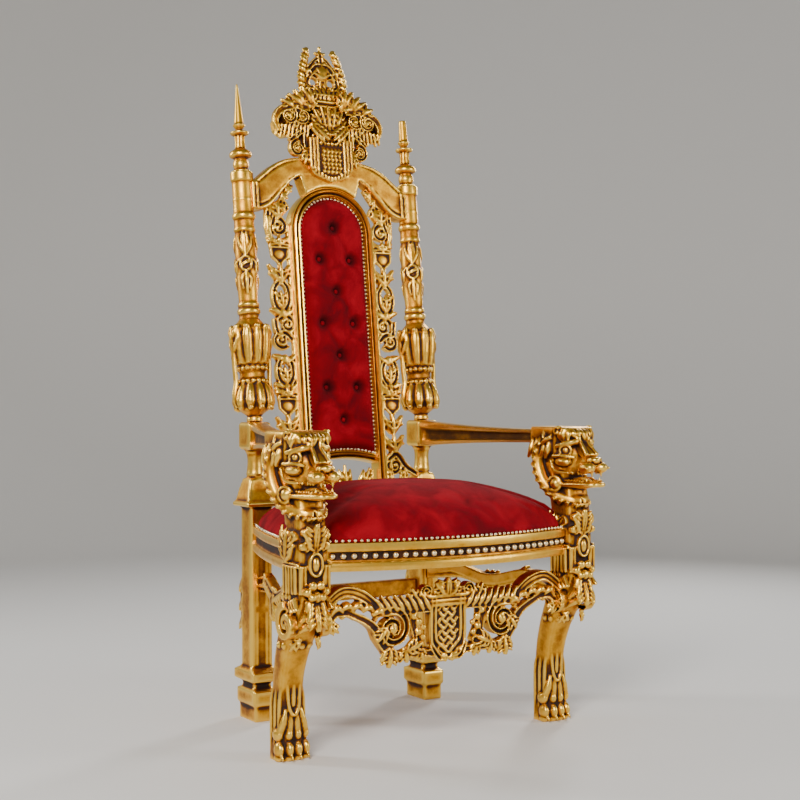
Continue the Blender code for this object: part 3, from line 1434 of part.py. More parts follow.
# Apron: the pierced front stretcher that dips to a shield between the legs.
def apron():
    carving = Carving("front_stretcher")
    half = LEG_INNER + 0.01
    top, drop = APRON_TOP, APRON_DROP
    depth = APRON_THICKNESS / 2
    y = FRONT_LEG_Y + 0.004
    up, out = (0, 0, 1), (0, -1, 0)
    shield = APRON_SHIELD_WIDTH / 2
    shape = [
        (-shield, top - 0.050),
        (shield, top - 0.050),
        (shield, drop + 0.045),
        (shield * 0.45, drop + 0.018),
        (0, drop + 0.004),
        (-shield * 0.45, drop + 0.018),
        (-shield, drop + 0.045),
    ]
    carving.slab(shape, depth * 2, y)
    for z in (top - 0.046, top - 0.060):
        carving.stroke([(-shield * 1.08, y - depth, z), (shield * 1.08, y - depth, z)], [0.007, 0.007])
    for hand in (-1, 1):
        face = (hand, 0, 0)
        band = [
            (hand * half, y, top - 0.045),
            (hand * (half - 0.055), y, top - 0.014),
            (hand * (half - 0.115), y, top - 0.035),
            (hand * (half - 0.175), y, top - 0.066),
            (hand * shield * 0.9, y, top - 0.052),
        ]
        carving.stroke(band, [0.018, 0.016, 0.017, 0.018])
        under = [
            (hand * half, y, top - 0.085),
            (hand * (half - 0.050), y, top - 0.054),
            (hand * (half - 0.100), y, top - 0.085),
            (hand * (half - 0.148), y, drop + 0.062),
            (hand * (half - 0.185), y, drop + 0.020),
            (hand * shield, y, drop + 0.018),
        ]
        carving.stroke(under, [0.012, 0.012, 0.016, 0.014])
        carving.stroke(
            [(hand * 0.245, y, top - 0.070), (hand * 0.200, y, top - 0.105), (hand * 0.175, y, drop + 0.075)],
            [0.014, 0.022, 0.018],
        )
        carving.scroll((hand * 0.128, y - 0.004, drop + 0.085), face, up, 0.038, 1.2, 0.014, 60, 1)
        carving.swelling((hand * 0.168, y - 0.003, drop + 0.030), (0.026, 0.020, 0.024))
        carving.swelling((hand * 0.105, y - 0.003, drop + 0.026), (0.026, 0.020, 0.020))
        carving.stroke([(hand * 0.08, y, top - 0.07), (hand * 0.062, y, top - 0.012)], [0.014, 0.008])
        carving.swelling((hand * 0.072, y - 0.004, drop + 0.100), (0.020, 0.018, 0.026))
        carving.stroke([(hand * shield, y, drop + 0.05), (hand * 0.12, y, drop + 0.06)], [0.012, 0.012])
    carving.leaf((0, y, top - 0.055), (0, y, top + 0.004), (1, 0, 0), out, 0.055, 4, 0.010, 0.1, 0.1)

    def fit(piece):
        piece = trimmed(piece, (LEG_INNER - GAP, 0, 0), (1, 0, 0))
        return trimmed(piece, (GAP - LEG_INNER, 0, 0), (-1, 0, 0))

    return carving.solid(560, fit)


apron()


# Side and rear stretchers
def side_stretcher(name, mirror):
    carving = Carving(name)
    start = Vector((FRONT_LEG_X - 0.004, STRETCHER_REAR, 0.0))
    end = Vector((REAR_LEG_X, REAR_LEG_FRONT, 0.0))
    mid = (start + end) / 2
    top, height = SIDE_STRETCHER_TOP, SIDE_STRETCHER_HEIGHT
    half = SIDE_STRETCHER_THICKNESS / 2
    low = top - height
    run = (end - start).normalized()
    side = run.cross(Vector((0, 0, 1)))

    def at(share, z):
        return tuple(start.lerp(end, share) + Vector((0, 0, z)))

    path = [at(-0.05, low + 0.018), at(0.22, top - 0.018), at(0.5, low + 0.012), at(0.78, top - 0.018)]
    carving.stroke([*path, at(1.05, low + 0.018)], [half, half * 1.1, half])
    carving.leaf(at(0.5, low + 0.02), at(0.5, low - 0.050), run, -side, 0.04, 3, 0.010, 0.1, 0.1)
    for share, far in ((0.15, 0.42), (0.85, 0.58)):
        carving.leaf(at(share, top - 0.02), at(far, low), (0, 0, 1), side, 0.018, 3, 0.009, 0.05, 0.05)

    def fit(piece):
        piece = trimmed(piece, (0, STRETCHER_REAR + GAP, 0), (0, -1, 0))
        return trimmed(piece, (0, REAR_LEG_FRONT - GAP, 0), (0, 1, 0))

    return carving.solid(160, fit, mirror=mirror)


side_stretcher("side_stretcher_left", True)
side_stretcher("side_stretcher_right", False)
rounded_edges(
    block(
        "rear_stretcher",
        (-REAR_LEG_INNER + GAP, REAR_POST_Y - 0.013, REAR_STRETCHER_TOP - REAR_STRETCHER_HEIGHT),
        (REAR_LEG_INNER - GAP, REAR_POST_Y + 0.013, REAR_STRETCHER_TOP),
    ),
    0.004,
)


# Carved and turned surfaces are shaded smooth, with their arrises kept sharp.
for piece in COLLECTIONS["throne"].objects:
    if piece.type == "MESH":
        piece.data.shade_smooth()
        piece.data.set_sharp_from_angle(angle=math.radians(35))
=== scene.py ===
"""A carved and gilded throne with lion heads, paw feet and red velvet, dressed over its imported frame."""

import math

import bmesh
import bpy
import numpy as np
from mathutils import Matrix, Vector


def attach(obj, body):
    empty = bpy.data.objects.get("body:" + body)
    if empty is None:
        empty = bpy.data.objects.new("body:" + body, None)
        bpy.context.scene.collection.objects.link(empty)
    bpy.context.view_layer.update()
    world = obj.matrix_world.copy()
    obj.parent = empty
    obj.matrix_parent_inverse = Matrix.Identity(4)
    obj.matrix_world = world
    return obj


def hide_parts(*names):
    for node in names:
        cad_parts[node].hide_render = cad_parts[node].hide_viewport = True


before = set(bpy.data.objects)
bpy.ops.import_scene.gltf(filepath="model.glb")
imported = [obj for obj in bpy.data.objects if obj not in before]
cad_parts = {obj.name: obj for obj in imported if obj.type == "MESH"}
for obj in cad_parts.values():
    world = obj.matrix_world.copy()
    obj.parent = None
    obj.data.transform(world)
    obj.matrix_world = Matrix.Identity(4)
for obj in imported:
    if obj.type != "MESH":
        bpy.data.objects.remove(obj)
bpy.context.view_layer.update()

# The photographer's place
# The camera stands at the height of a sitter's elbow, to the left of the throne, and looks level at it.
# Its place, turn and lens were fitted to the seat, the posts and the legs.
CAMERA_PLACE = (-1.953, -3.2154, 0.852)
CAMERA_YAW = math.radians(31.71)
CAMERA_PITCH = math.radians(-0.07)
CAMERA_ROLL = math.radians(0.17)
CAMERA_LENS = 64.71


def stand_camera():
    data = bpy.data.cameras.new("camera")
    data.lens = CAMERA_LENS
    data.sensor_width = 36.0
    camera = bpy.data.objects.new("camera", data)
    bpy.context.scene.collection.objects.link(camera)
    turn = Matrix.Rotation(-CAMERA_YAW, 4, "Z")
    tip = Matrix.Rotation(math.pi / 2 + CAMERA_PITCH, 4, "X")
    roll = Matrix.Rotation(-CAMERA_ROLL, 4, "Z")
    camera.matrix_world = Matrix.Translation(CAMERA_PLACE) @ turn @ tip @ roll
    bpy.context.scene.camera = camera


stand_camera()

# The studio
# A seamless paper sweep, pale and matt, with two large soft boxes in front and a strip light behind each shoulder.
SWEEP_RADIUS = 4.2
SWEEP_BEND = 1.6
SWEEP_HEIGHT = 5.0
SWEEP_COLOUR = (0.72, 0.71, 0.69, 1.0)


def plain_finish(name, colour, roughness):
    material = bpy.data.materials.new(name)
    material.use_nodes = True
    shader = material.node_tree.nodes["Principled BSDF"]
    shader.inputs["Base Color"].default_value = colour
    shader.inputs["Roughness"].default_value = roughness
    return material


def paper_sweep():
    line = [(0.0, 0.0), (SWEEP_RADIUS, 0.0)]
    for step in range(1, 17):
        angle = math.pi / 2 * step / 16
        line.append((SWEEP_RADIUS + SWEEP_BEND * math.sin(angle), SWEEP_BEND * (1 - math.cos(angle))))
    line.append((SWEEP_RADIUS + SWEEP_BEND, SWEEP_HEIGHT))
    bm = bmesh.new()
    points = [bm.verts.new((reach, 0.0, height)) for reach, height in line]
    for a, b in zip(points, points[1:]):
        bm.edges.new((a, b))
    bmesh.ops.spin(bm, geom=bm.verts[:] + bm.edges[:], axis=(0, 0, 1), angle=2 * math.pi, steps=96)
    bmesh.ops.remove_doubles(bm, verts=bm.verts, dist=1e-4)
    bmesh.ops.recalc_face_normals(bm, faces=bm.faces)
    mesh = bpy.data.meshes.new("floor")
    bm.to_mesh(mesh)
    bm.free()
    mesh.shade_smooth()
    floor = bpy.data.objects.new("floor", mesh)
    bpy.context.scene.collection.objects.link(floor)
    floor.data.materials.append(plain_finish("sweep_paper", SWEEP_COLOUR, 0.9))


def soft_box(name, place, aim, width, height, power, colour=(1.0, 1.0, 1.0)):
    data = bpy.data.lights.new(name, "AREA")
    data.shape = "RECTANGLE"
    data.size = width
    data.size_y = height
    data.energy = power
    data.color = colour
    light = bpy.data.objects.new(name, data)
    bpy.context.scene.collection.objects.link(light)
    light.location = place
    light.rotation_euler = (Vector(aim) - Vector(place)).to_track_quat("-Z", "Y").to_euler()


paper_sweep()
soft_box("key_box", (-2.6, -2.6, 2.7), (0.0, 0.0, 0.8), 1.3, 1.3, 165, (1.0, 0.96, 0.90))
soft_box("fill_box", (2.6, -2.8, 1.7), (0.0, 0.0, 0.8), 1.4, 1.8, 60)
soft_box("rim_left", (-2.4, 2.2, 2.3), (0.0, 0.0, 1.0), 0.5, 1.8, 55)
soft_box("rim_right", (2.6, 1.8, 2.3), (0.0, 0.0, 1.0), 0.5, 1.8, 55)
world = bpy.data.worlds.new("studio_air")
world.use_nodes = True
world.node_tree.nodes["Background"].inputs["Color"].default_value = (0.80, 0.80, 0.82, 1.0)
world.node_tree.nodes["Background"].inputs["Strength"].default_value = 0.20
bpy.context.scene.world = world

# Turned back posts
# Each post is one length of hardwood, turned on the lathe and then carved: a leafy double bulb at its foot, a
# sleeve of ribbon and leaf above it, and plain ringed collars up to the spire. All carving is done in the
# same way: the carver's shapes are gathered, fused into one body, softened as gesso and leaf do, and gilded,
# with painted shade darkening the hollows and lighter rubbed edges.
BACK_AXIS_Y = 0.2566
ARM_BLOCK_TOP = 0.790
BACK_RAKE = math.atan(0.115)
REAR_LEG_X = 0.264
POST_COLUMN_RADIUS = 0.0275
POST_BULB_RADIUS = 0.053
POST_LENGTH = 0.680
FINE_GRAIN = 0.0023
MIDDLE_GRAIN = 0.0028
SPECK = 120
KEPT_SHARE = 0.64
SEAT_KEPT_SHARE = 0.45

ROUND = [(math.cos(math.tau * k / 10), math.sin(math.tau * k / 10)) for k in range(10)]
CHANNEL = [(-1, -1), (-1, 0.5), (-0.84, 0.95), (-0.62, 0.85), (-0.36, 0.25), (0, 0.05)]
CHANNEL += [(-a, b) for a, b in CHANNEL[-2::-1]]
LEAF = [(-1, -0.7), (-0.94, 0.0), (-0.62, 0.62), (-0.2, 0.98), (0, 0.55)]
LEAF += [(-a, b) for a, b in LEAF[-2::-1]]
BAND = [(-1, -1), (-1, 0.62), (-0.86, 1.0), (-0.66, 0.86), (-0.52, 0.62), (0, 0.74)]
BAND += [(-a, b) for a, b in BAND[-2::-1]]
STRANDS = [(-1, -0.8), (-0.96, 0.2), (-0.68, 0.85), (-0.36, 0.30), (0, 1.0)]
STRANDS += [(-a, b) for a, b in STRANDS[-2::-1]]


def path_through(points, steps=6):
    """A smooth line through the given points."""
    knots = np.asarray(points, float)
    knots = np.vstack([2 * knots[0] - knots[1], knots, 2 * knots[-1] - knots[-2]])
    t = np.linspace(0.0, 1.0, steps, endpoint=False)[:, None]
    made = []
    for a, b, c, d in zip(knots, knots[1:], knots[2:], knots[3:]):
        made.append(0.5 * (2 * b + (c - a) * t + (2 * a - 5 * b + 4 * c - d) * t**2 + (3 * b - a - 3 * c + d) * t**3))
    made.append(knots[-2][None, :])
    return np.vstack(made)


def spread(values, count):
    """The given rows drawn out evenly to that many."""
    values = np.asarray(values, float)
    if values.ndim == 1:
        values = np.tile(values, (2, 1))
    here = np.linspace(0.0, 1.0, count)
    marks = np.linspace(0.0, 1.0, len(values))
    return np.stack([np.interp(here, marks, column) for column in values.T], axis=1)


def unit(rows):
    return rows / np.maximum(np.linalg.norm(rows, axis=-1, keepdims=True), 1e-9)


def relaxed(points, edges, rounds, share):
    """The points drawn towards their neighbours, over and over."""
    both = np.concatenate([edges, edges[:, ::-1]])
    degree = np.maximum(np.bincount(both[:, 0], minlength=len(points)), 1)
    for _ in range(rounds):
        means = [np.bincount(both[:, 0], points[both[:, 1], k], len(points)) / degree for k in range(3)]
        points = points + share * (np.stack(means, axis=1) - points)
    return points


def read_mesh(mesh):
    points = np.empty(len(mesh.vertices) * 3, np.float32)
    mesh.vertices.foreach_get("co", points)
    edges = np.empty(len(mesh.edges) * 2, np.int32)
    mesh.edges.foreach_get("vertices", edges)
    normals = np.empty(len(mesh.vertices) * 3, np.float32)
    mesh.vertex_normals.foreach_get("vector", normals)
    return points.reshape(-1, 3).astype(float), edges.reshape(-1, 2), normals.reshape(-1, 3)


def store_shade_and_wear(mesh, reach=0.0011, rounds=12):
    """Stores where the gilding is rubbed bright (1) or darkened with painted shade over its dark ground (-1), from
    hollows and edges.
    """
    points, edges, normals = read_mesh(mesh)
    level = relaxed(points, edges, rounds, 0.6)
    hollow_shade = ((level - points) * normals).sum(axis=1)
    shade_and_wear = np.clip(-hollow_shade / reach, -1.0, 1.0)
    both = np.concatenate([edges, edges[:, ::-1]])
    degree = np.maximum(np.bincount(both[:, 0], minlength=len(points)), 1)
    shade_and_wear = 0.5 * shade_and_wear + 0.5 * np.bincount(both[:, 0], shade_and_wear[both[:, 1]], len(points)) / degree
    layer = mesh.attributes.new("shade_and_wear", "FLOAT", "POINT")
    layer.data.foreach_set("value", shade_and_wear.astype(np.float32))


# Middle colours of the gold's ramp, between the painted shade of the hollows and the bright leaf.
GILT_SHADE_TO_LEAF_STOPS = (
    (0.27, (0.095, 0.024, 0.003, 1.0)),
    (0.42, (0.42, 0.155, 0.009, 1.0)),
    (0.58, (0.80, 0.40, 0.026, 1.0)),
)


def gilding():
    """Burnished gold leaf over red-brown ground, with rubbed edges and dull patches; the hollows are darkened to
    red-brown and near black, which is painted shade as well as ground.
    """
    material = bpy.data.materials.new("gold_leaf_with_painted_shade")
    material.use_nodes = True
    nodes, links = material.node_tree.nodes, material.node_tree.links
    shader = nodes["Principled BSDF"]
    # Painted shade: the stored value darkens the leaf to red-brown and near black in the hollows, and the edges rub
    # bright.
    shade_and_wear = nodes.new("ShaderNodeAttribute")
    shade_and_wear.attribute_name = "shade_and_wear"
    place = nodes.new("ShaderNodeTexCoord")
    patches = nodes.new("ShaderNodeTexNoise")
    patches.inputs["Scale"].default_value = 22.0
    patches.inputs["Detail"].default_value = 5.0
    patches.inputs["Roughness"].default_value = 0.65
    links.new(place.outputs["Object"], patches.inputs["Vector"])
    blotch = nodes.new("ShaderNodeMapRange")
    blotch.inputs["From Min"].default_value = 0.3
    blotch.inputs["From Max"].default_value = 0.7
    blotch.inputs["To Min"].default_value = -0.30
    blotch.inputs["To Max"].default_value = 0.24
    links.new(patches.outputs["Fac"], blotch.inputs["Value"])
    total = nodes.new("ShaderNodeMath")
    total.operation = "ADD"
    links.new(shade_and_wear.outputs["Fac"], total.inputs[0])
    links.new(blotch.outputs["Result"], total.inputs[1])
    share = nodes.new("ShaderNodeMapRange")
    share.inputs["From Min"].default_value = -1.0
    share.inputs["From Max"].default_value = 1.0
    links.new(total.outputs["Value"], share.inputs["Value"])
    colours = nodes.new("ShaderNodeValToRGB")
    stops = colours.color_ramp.elements
    # The darkest stop is painted shade for the deepest hollows.
    stops[0].position, stops[0].color = 0.08, (0.020, 0.005, 0.002, 1.0)
    stops[1].position, stops[1].color = 0.90, (1.00, 0.64, 0.10, 1.0)
    for spot, colour in GILT_SHADE_TO_LEAF_STOPS:
        stop = stops.new(spot)
        stop.color = colour
    links.new(share.outputs["Result"], colours.inputs["Fac"])
    links.new(colours.outputs["Color"], shader.inputs["Base Color"])
    shine = nodes.new("ShaderNodeMapRange")
    shine.inputs["From Min"].default_value = 0.15
    shine.inputs["From Max"].default_value = 0.75
    shine.inputs["To Min"].default_value = 0.62
    shine.inputs["To Max"].default_value = 0.30
    links.new(share.outputs["Result"], shine.inputs["Value"])
    links.new(shine.outputs["Result"], shader.inputs["Roughness"])
    leaf = nodes.new("ShaderNodeMapRange")
    leaf.inputs["From Min"].default_value = 0.10
    leaf.inputs["From Max"].default_value = 0.45
    leaf.inputs["To Min"].default_value = 0.45
    leaf.inputs["To Max"].default_value = 1.0
    links.new(share.outputs["Result"], leaf.inputs["Value"])
    links.new(leaf.outputs["Result"], shader.inputs["Metallic"])
    grain = nodes.new("ShaderNodeTexNoise")
    grain.inputs["Scale"].default_value = 260.0
    grain.inputs["Detail"].default_value = 4.0
    links.new(place.outputs["Object"], grain.inputs["Vector"])
    bump = nodes.new("ShaderNodeBump")
    bump.inputs["Strength"].default_value = 0.22
    bump.inputs["Distance"].default_value = 0.0012
    links.new(grain.outputs["Fac"], bump.inputs["Height"])
    links.new(bump.outputs["Normal"], shader.inputs["Normal"])
    return material


GOLD = gilding()


def set_down(piece, slot, *nodes):
    """Hands the piece to the frame in place of its plain solids."""
    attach(piece, "root")
    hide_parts(*nodes)


def without_crumbs(mesh):
    """Takes out the loose specks that a remesh leaves of thin tips."""
    points, edges, _ = read_mesh(mesh)
    body = np.arange(len(points))
    settled = False
    while not settled:
        before = body.copy()
        lower = np.minimum(body[edges[:, 0]], body[edges[:, 1]])
        np.minimum.at(body, edges[:, 0], lower)
        np.minimum.at(body, edges[:, 1], lower)
        body = body[body]
        settled = (body == before).all()
    specks = np.flatnonzero(np.bincount(body, minlength=len(body))[body] < SPECK)
    bm = bmesh.new()
    bm.from_mesh(mesh)
    bm.verts.ensure_lookup_table()
    bmesh.ops.delete(bm, geom=[bm.verts[k] for k in specks], context="VERTS")
    bm.to_mesh(mesh)
    bm.free()


def thinned(piece, share):
    """Leaves that share of the piece's triangles, taken from its flat places first."""
    thin = piece.modifiers.new("thin", "DECIMATE")
    thin.ratio = share


class Carving:
    """The shapes that a carver leaves standing, gathered in the piece's own space."""

    def __init__(self):
        self.points, self.faces, self.count = [], [], 0

    def add(self, points, faces):
        self.points.append(points)
        self.faces += [tuple(corner + self.count for corner in face) for face in faces]
        self.count += len(points)

    def rings(self, rings):
        """A closed body from rings of as many points each, with a flat cap at both ends."""
        rows, around = rings.shape[:2]
        faces = []
        for r in range(rows - 1):
            for k in range(around):
                n = (k + 1) % around
                faces.append((r * around + k, r * around + n, (r + 1) * around + n, (r + 1) * around + k))
        faces.append(tuple(range(around))[::-1])
        faces.append(tuple(range((rows - 1) * around, rows * around)))
        self.add(rings.reshape(-1, 3), faces)

    def sweep(self, points, sizes, out, section=ROUND, steps=6):
        """A section drawn along a smooth path: sizes are (half width, height) pairs and out is the way it faces."""
        line = path_through(points, steps)
        size = spread(sizes, len(line))
        facing = spread(out, len(line))
        along = unit(np.gradient(line, axis=0))
        rise = unit(facing - (facing * along).sum(axis=1, keepdims=True) * along)
        side = np.cross(along, rise)
        shape = np.asarray(section, float)
        across = side[:, None, :] * (shape[:, 0][None, :] * size[:, :1])[:, :, None]
        high = rise[:, None, :] * (shape[:, 1][None, :] * size[:, 1:])[:, :, None]
        self.rings(line[:, None, :] + across + high)

    def knob(self, centre, radii, tilt=0.0, rings=8, around=14):
        """A bead or an egg; tilt turns it about the front-to-back axis, in degrees."""
        polar = np.linspace(0.12, math.pi - 0.12, rings)
        angle = np.linspace(0, math.tau, around, endpoint=False)
        x = np.sin(polar)[:, None] * np.cos(angle) * radii[0]
        y = np.sin(polar)[:, None] * np.sin(angle) * radii[1]
        z = np.repeat(-np.cos(polar)[:, None], around, axis=1) * radii[2]
        turn = math.radians(tilt)
        x, z = x * math.cos(turn) + z * math.sin(turn), z * math.cos(turn) - x * math.sin(turn)
        self.rings(np.stack([x + centre[0], y + centre[1], z + centre[2]], axis=2))

    def plate(self, outline, near, far):
        """A board with that outline of (x, z) points between two depths."""
        front = np.array([(x, near, z) for x, z in outline])
        back = np.array([(x, far, z) for x, z in outline])
        self.rings(np.stack([front, back]))

    def turn(self, profile, centre, relief=None, around=96, pitch=0.002):
        """A turned body from (radius, height) steps, bottom first, with relief(angle, height) cut into it."""
        radius = np.array([r for r, _ in profile])
        height = np.array([h for _, h in profile])
        steps = np.unique(np.concatenate([np.arange(height[0], height[-1], pitch), height]))
        angle = np.linspace(0, math.tau, around, endpoint=False)
        reach = np.interp(steps, height, radius)[:, None] + np.zeros(around)
        if relief:
            reach = reach + relief(angle[None, :], steps[:, None])
        x = centre[0] + reach * np.cos(angle)
        y = centre[1] + reach * np.sin(angle)
        self.rings(np.stack([x, y, np.repeat(steps[:, None], around, axis=1) + centre[2]], axis=2))

    def scroll(self, centre, across, up, radius, turns, start, hand, width, height, section=CHANNEL):
        """A volute that winds in to an eye: across and up span its plane, and hand is the way it winds."""
        centre, across, up = (np.asarray(v, float) for v in (centre, across, up))
        out = np.cross(across, up)
        if out[1] > 0:
            out = -out
        count = max(8, int(14 * turns))
        path = []
        for k in range(count + 1):
            share = k / count
            angle = math.radians(start) + hand * share * turns * math.tau
            reach = radius * (1 - 0.80 * share**0.85)
            path.append(centre + reach * (across * math.cos(angle) + up * math.sin(angle)))
        self.sweep(path, [(width, height), (width * 0.55, height * 0.9)], out, section, 2)
        self.knob(centre + out * height * 0.2, (radius * 0.24,) * 3)

    def leaf(self, root, tip, out, width, lobes=3, height=0.006, curl=0.3):
        """An acanthus leaf: a grooved midrib and pointed side lobes that spring from it, with the tip curled."""
        root, tip, out = (np.asarray(v, float) for v in (root, tip, out))
        run = tip - root
        length = np.linalg.norm(run)
        side = np.cross(unit(run), unit(out))
        up = unit(np.cross(side, run))
        path = [root, root + run * 0.35 + up * height * 0.5, root + run * 0.72 + up * height * (0.6 + curl)]
        path.append(tip + up * height * curl * 3)
        self.sweep(path, [(width * 0.22, height), (width * 0.26, height), (width * 0.12, height * 0.6)], up, LEAF, 5)
        for k in range(lobes):
            at = (k + 0.35) / (lobes + 0.5)
            reach = width * (0.62 - 0.30 * abs(at - 0.4))
            start = root + run * at * 0.80
            for hand in (-1, 1):
                mid = start + side * hand * reach * 0.62 + run * 0.16 + up * height * 0.7
                end = start + side * hand * reach + run * (0.30 + 0.10 * (1 - at)) + up * height * (0.2 + curl)
                self.sweep(
                    [start, mid, end],
                    [(length * 0.06, height * 0.8), (length * 0.075, height * 0.9), (length * 0.02, height * 0.4)],
                    up,
                    LEAF,
                    4,
                )

    def fused(self, name, grain, place=None, mirror=False, soften=1, floor=None):
        """The shapes fused to one skin whose squares are as wide as the grain, softened, rubbed bright on the edges and
        darkened in the hollows with painted shade.
        """
        points = np.vstack(self.points)
        if mirror:
            points = points * (-1, 1, 1)
        if place is not None:
            matrix = np.array(place)
            points = points @ matrix[:3, :3].T + matrix[:3, 3]
        mesh = bpy.data.meshes.new(name)
        mesh.from_pydata(points.tolist(), [], [face[::-1] if mirror else face for face in self.faces])
        rough = bpy.data.objects.new(name, mesh)
        bpy.context.scene.collection.objects.link(rough)
        fuse = rough.modifiers.new("fuse", "REMESH")
        fuse.mode = "VOXEL"
        fuse.voxel_size = grain
        bpy.context.view_layer.update()
        skin = bpy.data.meshes.new_from_object(rough.evaluated_get(bpy.context.evaluated_depsgraph_get()))
        bpy.data.objects.remove(rough, do_unlink=True)
        without_crumbs(skin)
        points, edges, _ = read_mesh(skin)
        points = relaxed(points, edges, soften, 0.45)
        if floor is not None:
            points[:, 2] = np.maximum(points[:, 2], floor)
        skin.vertices.foreach_set("co", points.astype(np.float32).ravel())
        skin.update()
        store_shade_and_wear(skin)
        skin.name = name
        skin.shade_smooth()
        skin.materials.clear()
        skin.materials.append(GOLD)
        piece = bpy.data.objects.new(name, skin)
        bpy.context.scene.collection.objects.link(piece)
        thinned(piece, KEPT_SHARE)
        return piece


BACK_PLACE = Matrix.Translation((0, BACK_AXIS_Y, ARM_BLOCK_TOP)) @ Matrix.Rotation(-BACK_RAKE, 4, "X")
POST_COLUMN = (
    (0.98, 0.278),
    (0.96, 0.288),
    (1.14, 0.293),
    (1.14, 0.301),
    (0.98, 0.306),
    (1.08, 0.316),
    (0.92, 0.324),
    (1.04, 0.400),
    (1.04, 0.470),
    (0.94, 0.512),
    (1.08, 0.520),
    (0.98, 0.530),
    (0.98, 0.548),
    (1.14, 0.554),
    (1.14, 0.562),
    (1.00, 0.567),
    (1.00, 0.600),
    (1.05, 0.603),
    (1.00, 0.606),
    (1.00, 0.652),
    (1.13, 0.657),
    (1.13, 0.680),
)
POST_BULB = (
    (0.40, 0.0003),
    (0.40, 0.009),
    (0.34, 0.015),
    (0.76, 0.032),
    (0.92, 0.052),
    (0.90, 0.070),
    (0.76, 0.094),
    (0.69, 0.103),
    (0.69, 0.112),
    (0.64, 0.118),
    (0.63, 0.130),
    (0.69, 0.138),
    (0.69, 0.147),
    (0.76, 0.156),
    (0.82, 0.186),
    (0.88, 0.222),
    (0.88, 0.248),
    (0.74, 0.262),
    (0.52, 0.276),
)


class Turned:
    """Spots on a turned post, so that leaves lie on its swelling sides."""

    def __init__(self, centre, steps):
        self.centre = np.asarray(centre, float)
        self.radius = [r for r, _ in steps]
        self.height = [h for _, h in steps]

    def frond(self, carving, spots, sizes, section=LEAF, steps=5):
        """A carved stroke through (degrees round the post, height, how far it stands off) spots."""
        path, out = [], []
        for angle, height, proud in spots:
            way = np.array((math.cos(math.radians(angle)), math.sin(math.radians(angle)), 0.0))
            reach = np.interp(height, self.height, self.radius) + proud
            path.append(self.centre + way * reach + np.array((0.0, 0.0, height)))
            out.append(way)
        carving.sweep(path, sizes, out, section, steps)


def plump_leaves(turned, carving, count, root, tip, width):
    """Broad smooth leaves side by side round the bulb, each veined, with a tip that rolls outwards."""
    rise = tip - root
    for k in range(count):
        angle = 360 * (k + 0.5) / count
        spots = [(angle, root, 0.0), (angle, root + rise * 0.35, 0.0020), (angle, root + rise * 0.75, 0.0028), (angle, tip, 0.0036)]
        turned.frond(carving, spots, [(width * 0.60, 0.0040), (width * 0.88, 0.0066), (width, 0.0072), (width * 0.66, 0.0054)])
        way = np.array((math.cos(math.radians(angle)), math.sin(math.radians(angle)), 0.0))
        reach = np.interp(tip, turned.height, turned.radius) + 0.0045
        carving.knob(turned.centre + way * reach + np.array((0, 0, tip)), (0.0085, 0.0085, 0.0070), 0.0, 7, 12)


def ribbon_motif(turned, carving, angle):
    """Two leaves that rise from a knotted ribbon ring, and a ribbed leaf that hangs below it."""
    for hand in (-1, 1):
        turned.frond(carving, [(angle, 0.448, 0.0), (angle + hand * 26, 0.472, 0.001), (angle + hand * 40, 0.500, 0.002)], [(0.0036, 0.0036), (0.0052, 0.0044), (0.0022, 0.0026)])
        turned.frond(carving, [(angle + hand * 6, 0.452, 0.0), (angle + hand * 14, 0.486, 0.001), (angle + hand * 10, 0.512, 0.002)], [(0.0036, 0.0036), (0.0048, 0.0044), (0.0022, 0.0026)])
        turned.frond(carving, [(angle, 0.404, 0.0), (angle + hand * 24, 0.386, 0.001), (angle + hand * 20, 0.358, 0.001)], [(0.0034, 0.0034), (0.0048, 0.0042), (0.0020, 0.0024)])
        turned.frond(carving, [(angle + hand * 30, 0.440, 0.001), (angle + hand * 60, 0.426, 0.001), (angle + hand * 62, 0.402, 0.001)], [(0.0034, 0.0034), (0.0044, 0.0040), (0.0020, 0.0024)])
    turned.frond(carving, [(angle, 0.448, 0.001), (angle, 0.480, 0.001), (angle, 0.508, 0.002)], [(0.0038, 0.0042), (0.0040, 0.0046), (0.0020, 0.0026)])
    turned.frond(carving, [(angle, 0.406, 0.001), (angle, 0.378, 0.001), (angle, 0.344, 0.001)], [(0.0042, 0.0044), (0.0050, 0.0048), (0.0020, 0.0026)], STRANDS)
    ring = []
    for k in range(13):
        turn = math.tau * k / 12
        ring.append((angle + 30 * math.cos(turn), 0.426 + 0.019 * math.sin(turn), 0.001))
    turned.frond(carving, ring, (0.0030, 0.0040), ROUND, 3)
    turned.frond(carving, [(angle - 34, 0.418, 0.001), (angle, 0.428, 0.003), (angle + 34, 0.434, 0.001)], [(0.0032, 0.0036), (0.0042, 0.0042), (0.0032, 0.0036)], CHANNEL)


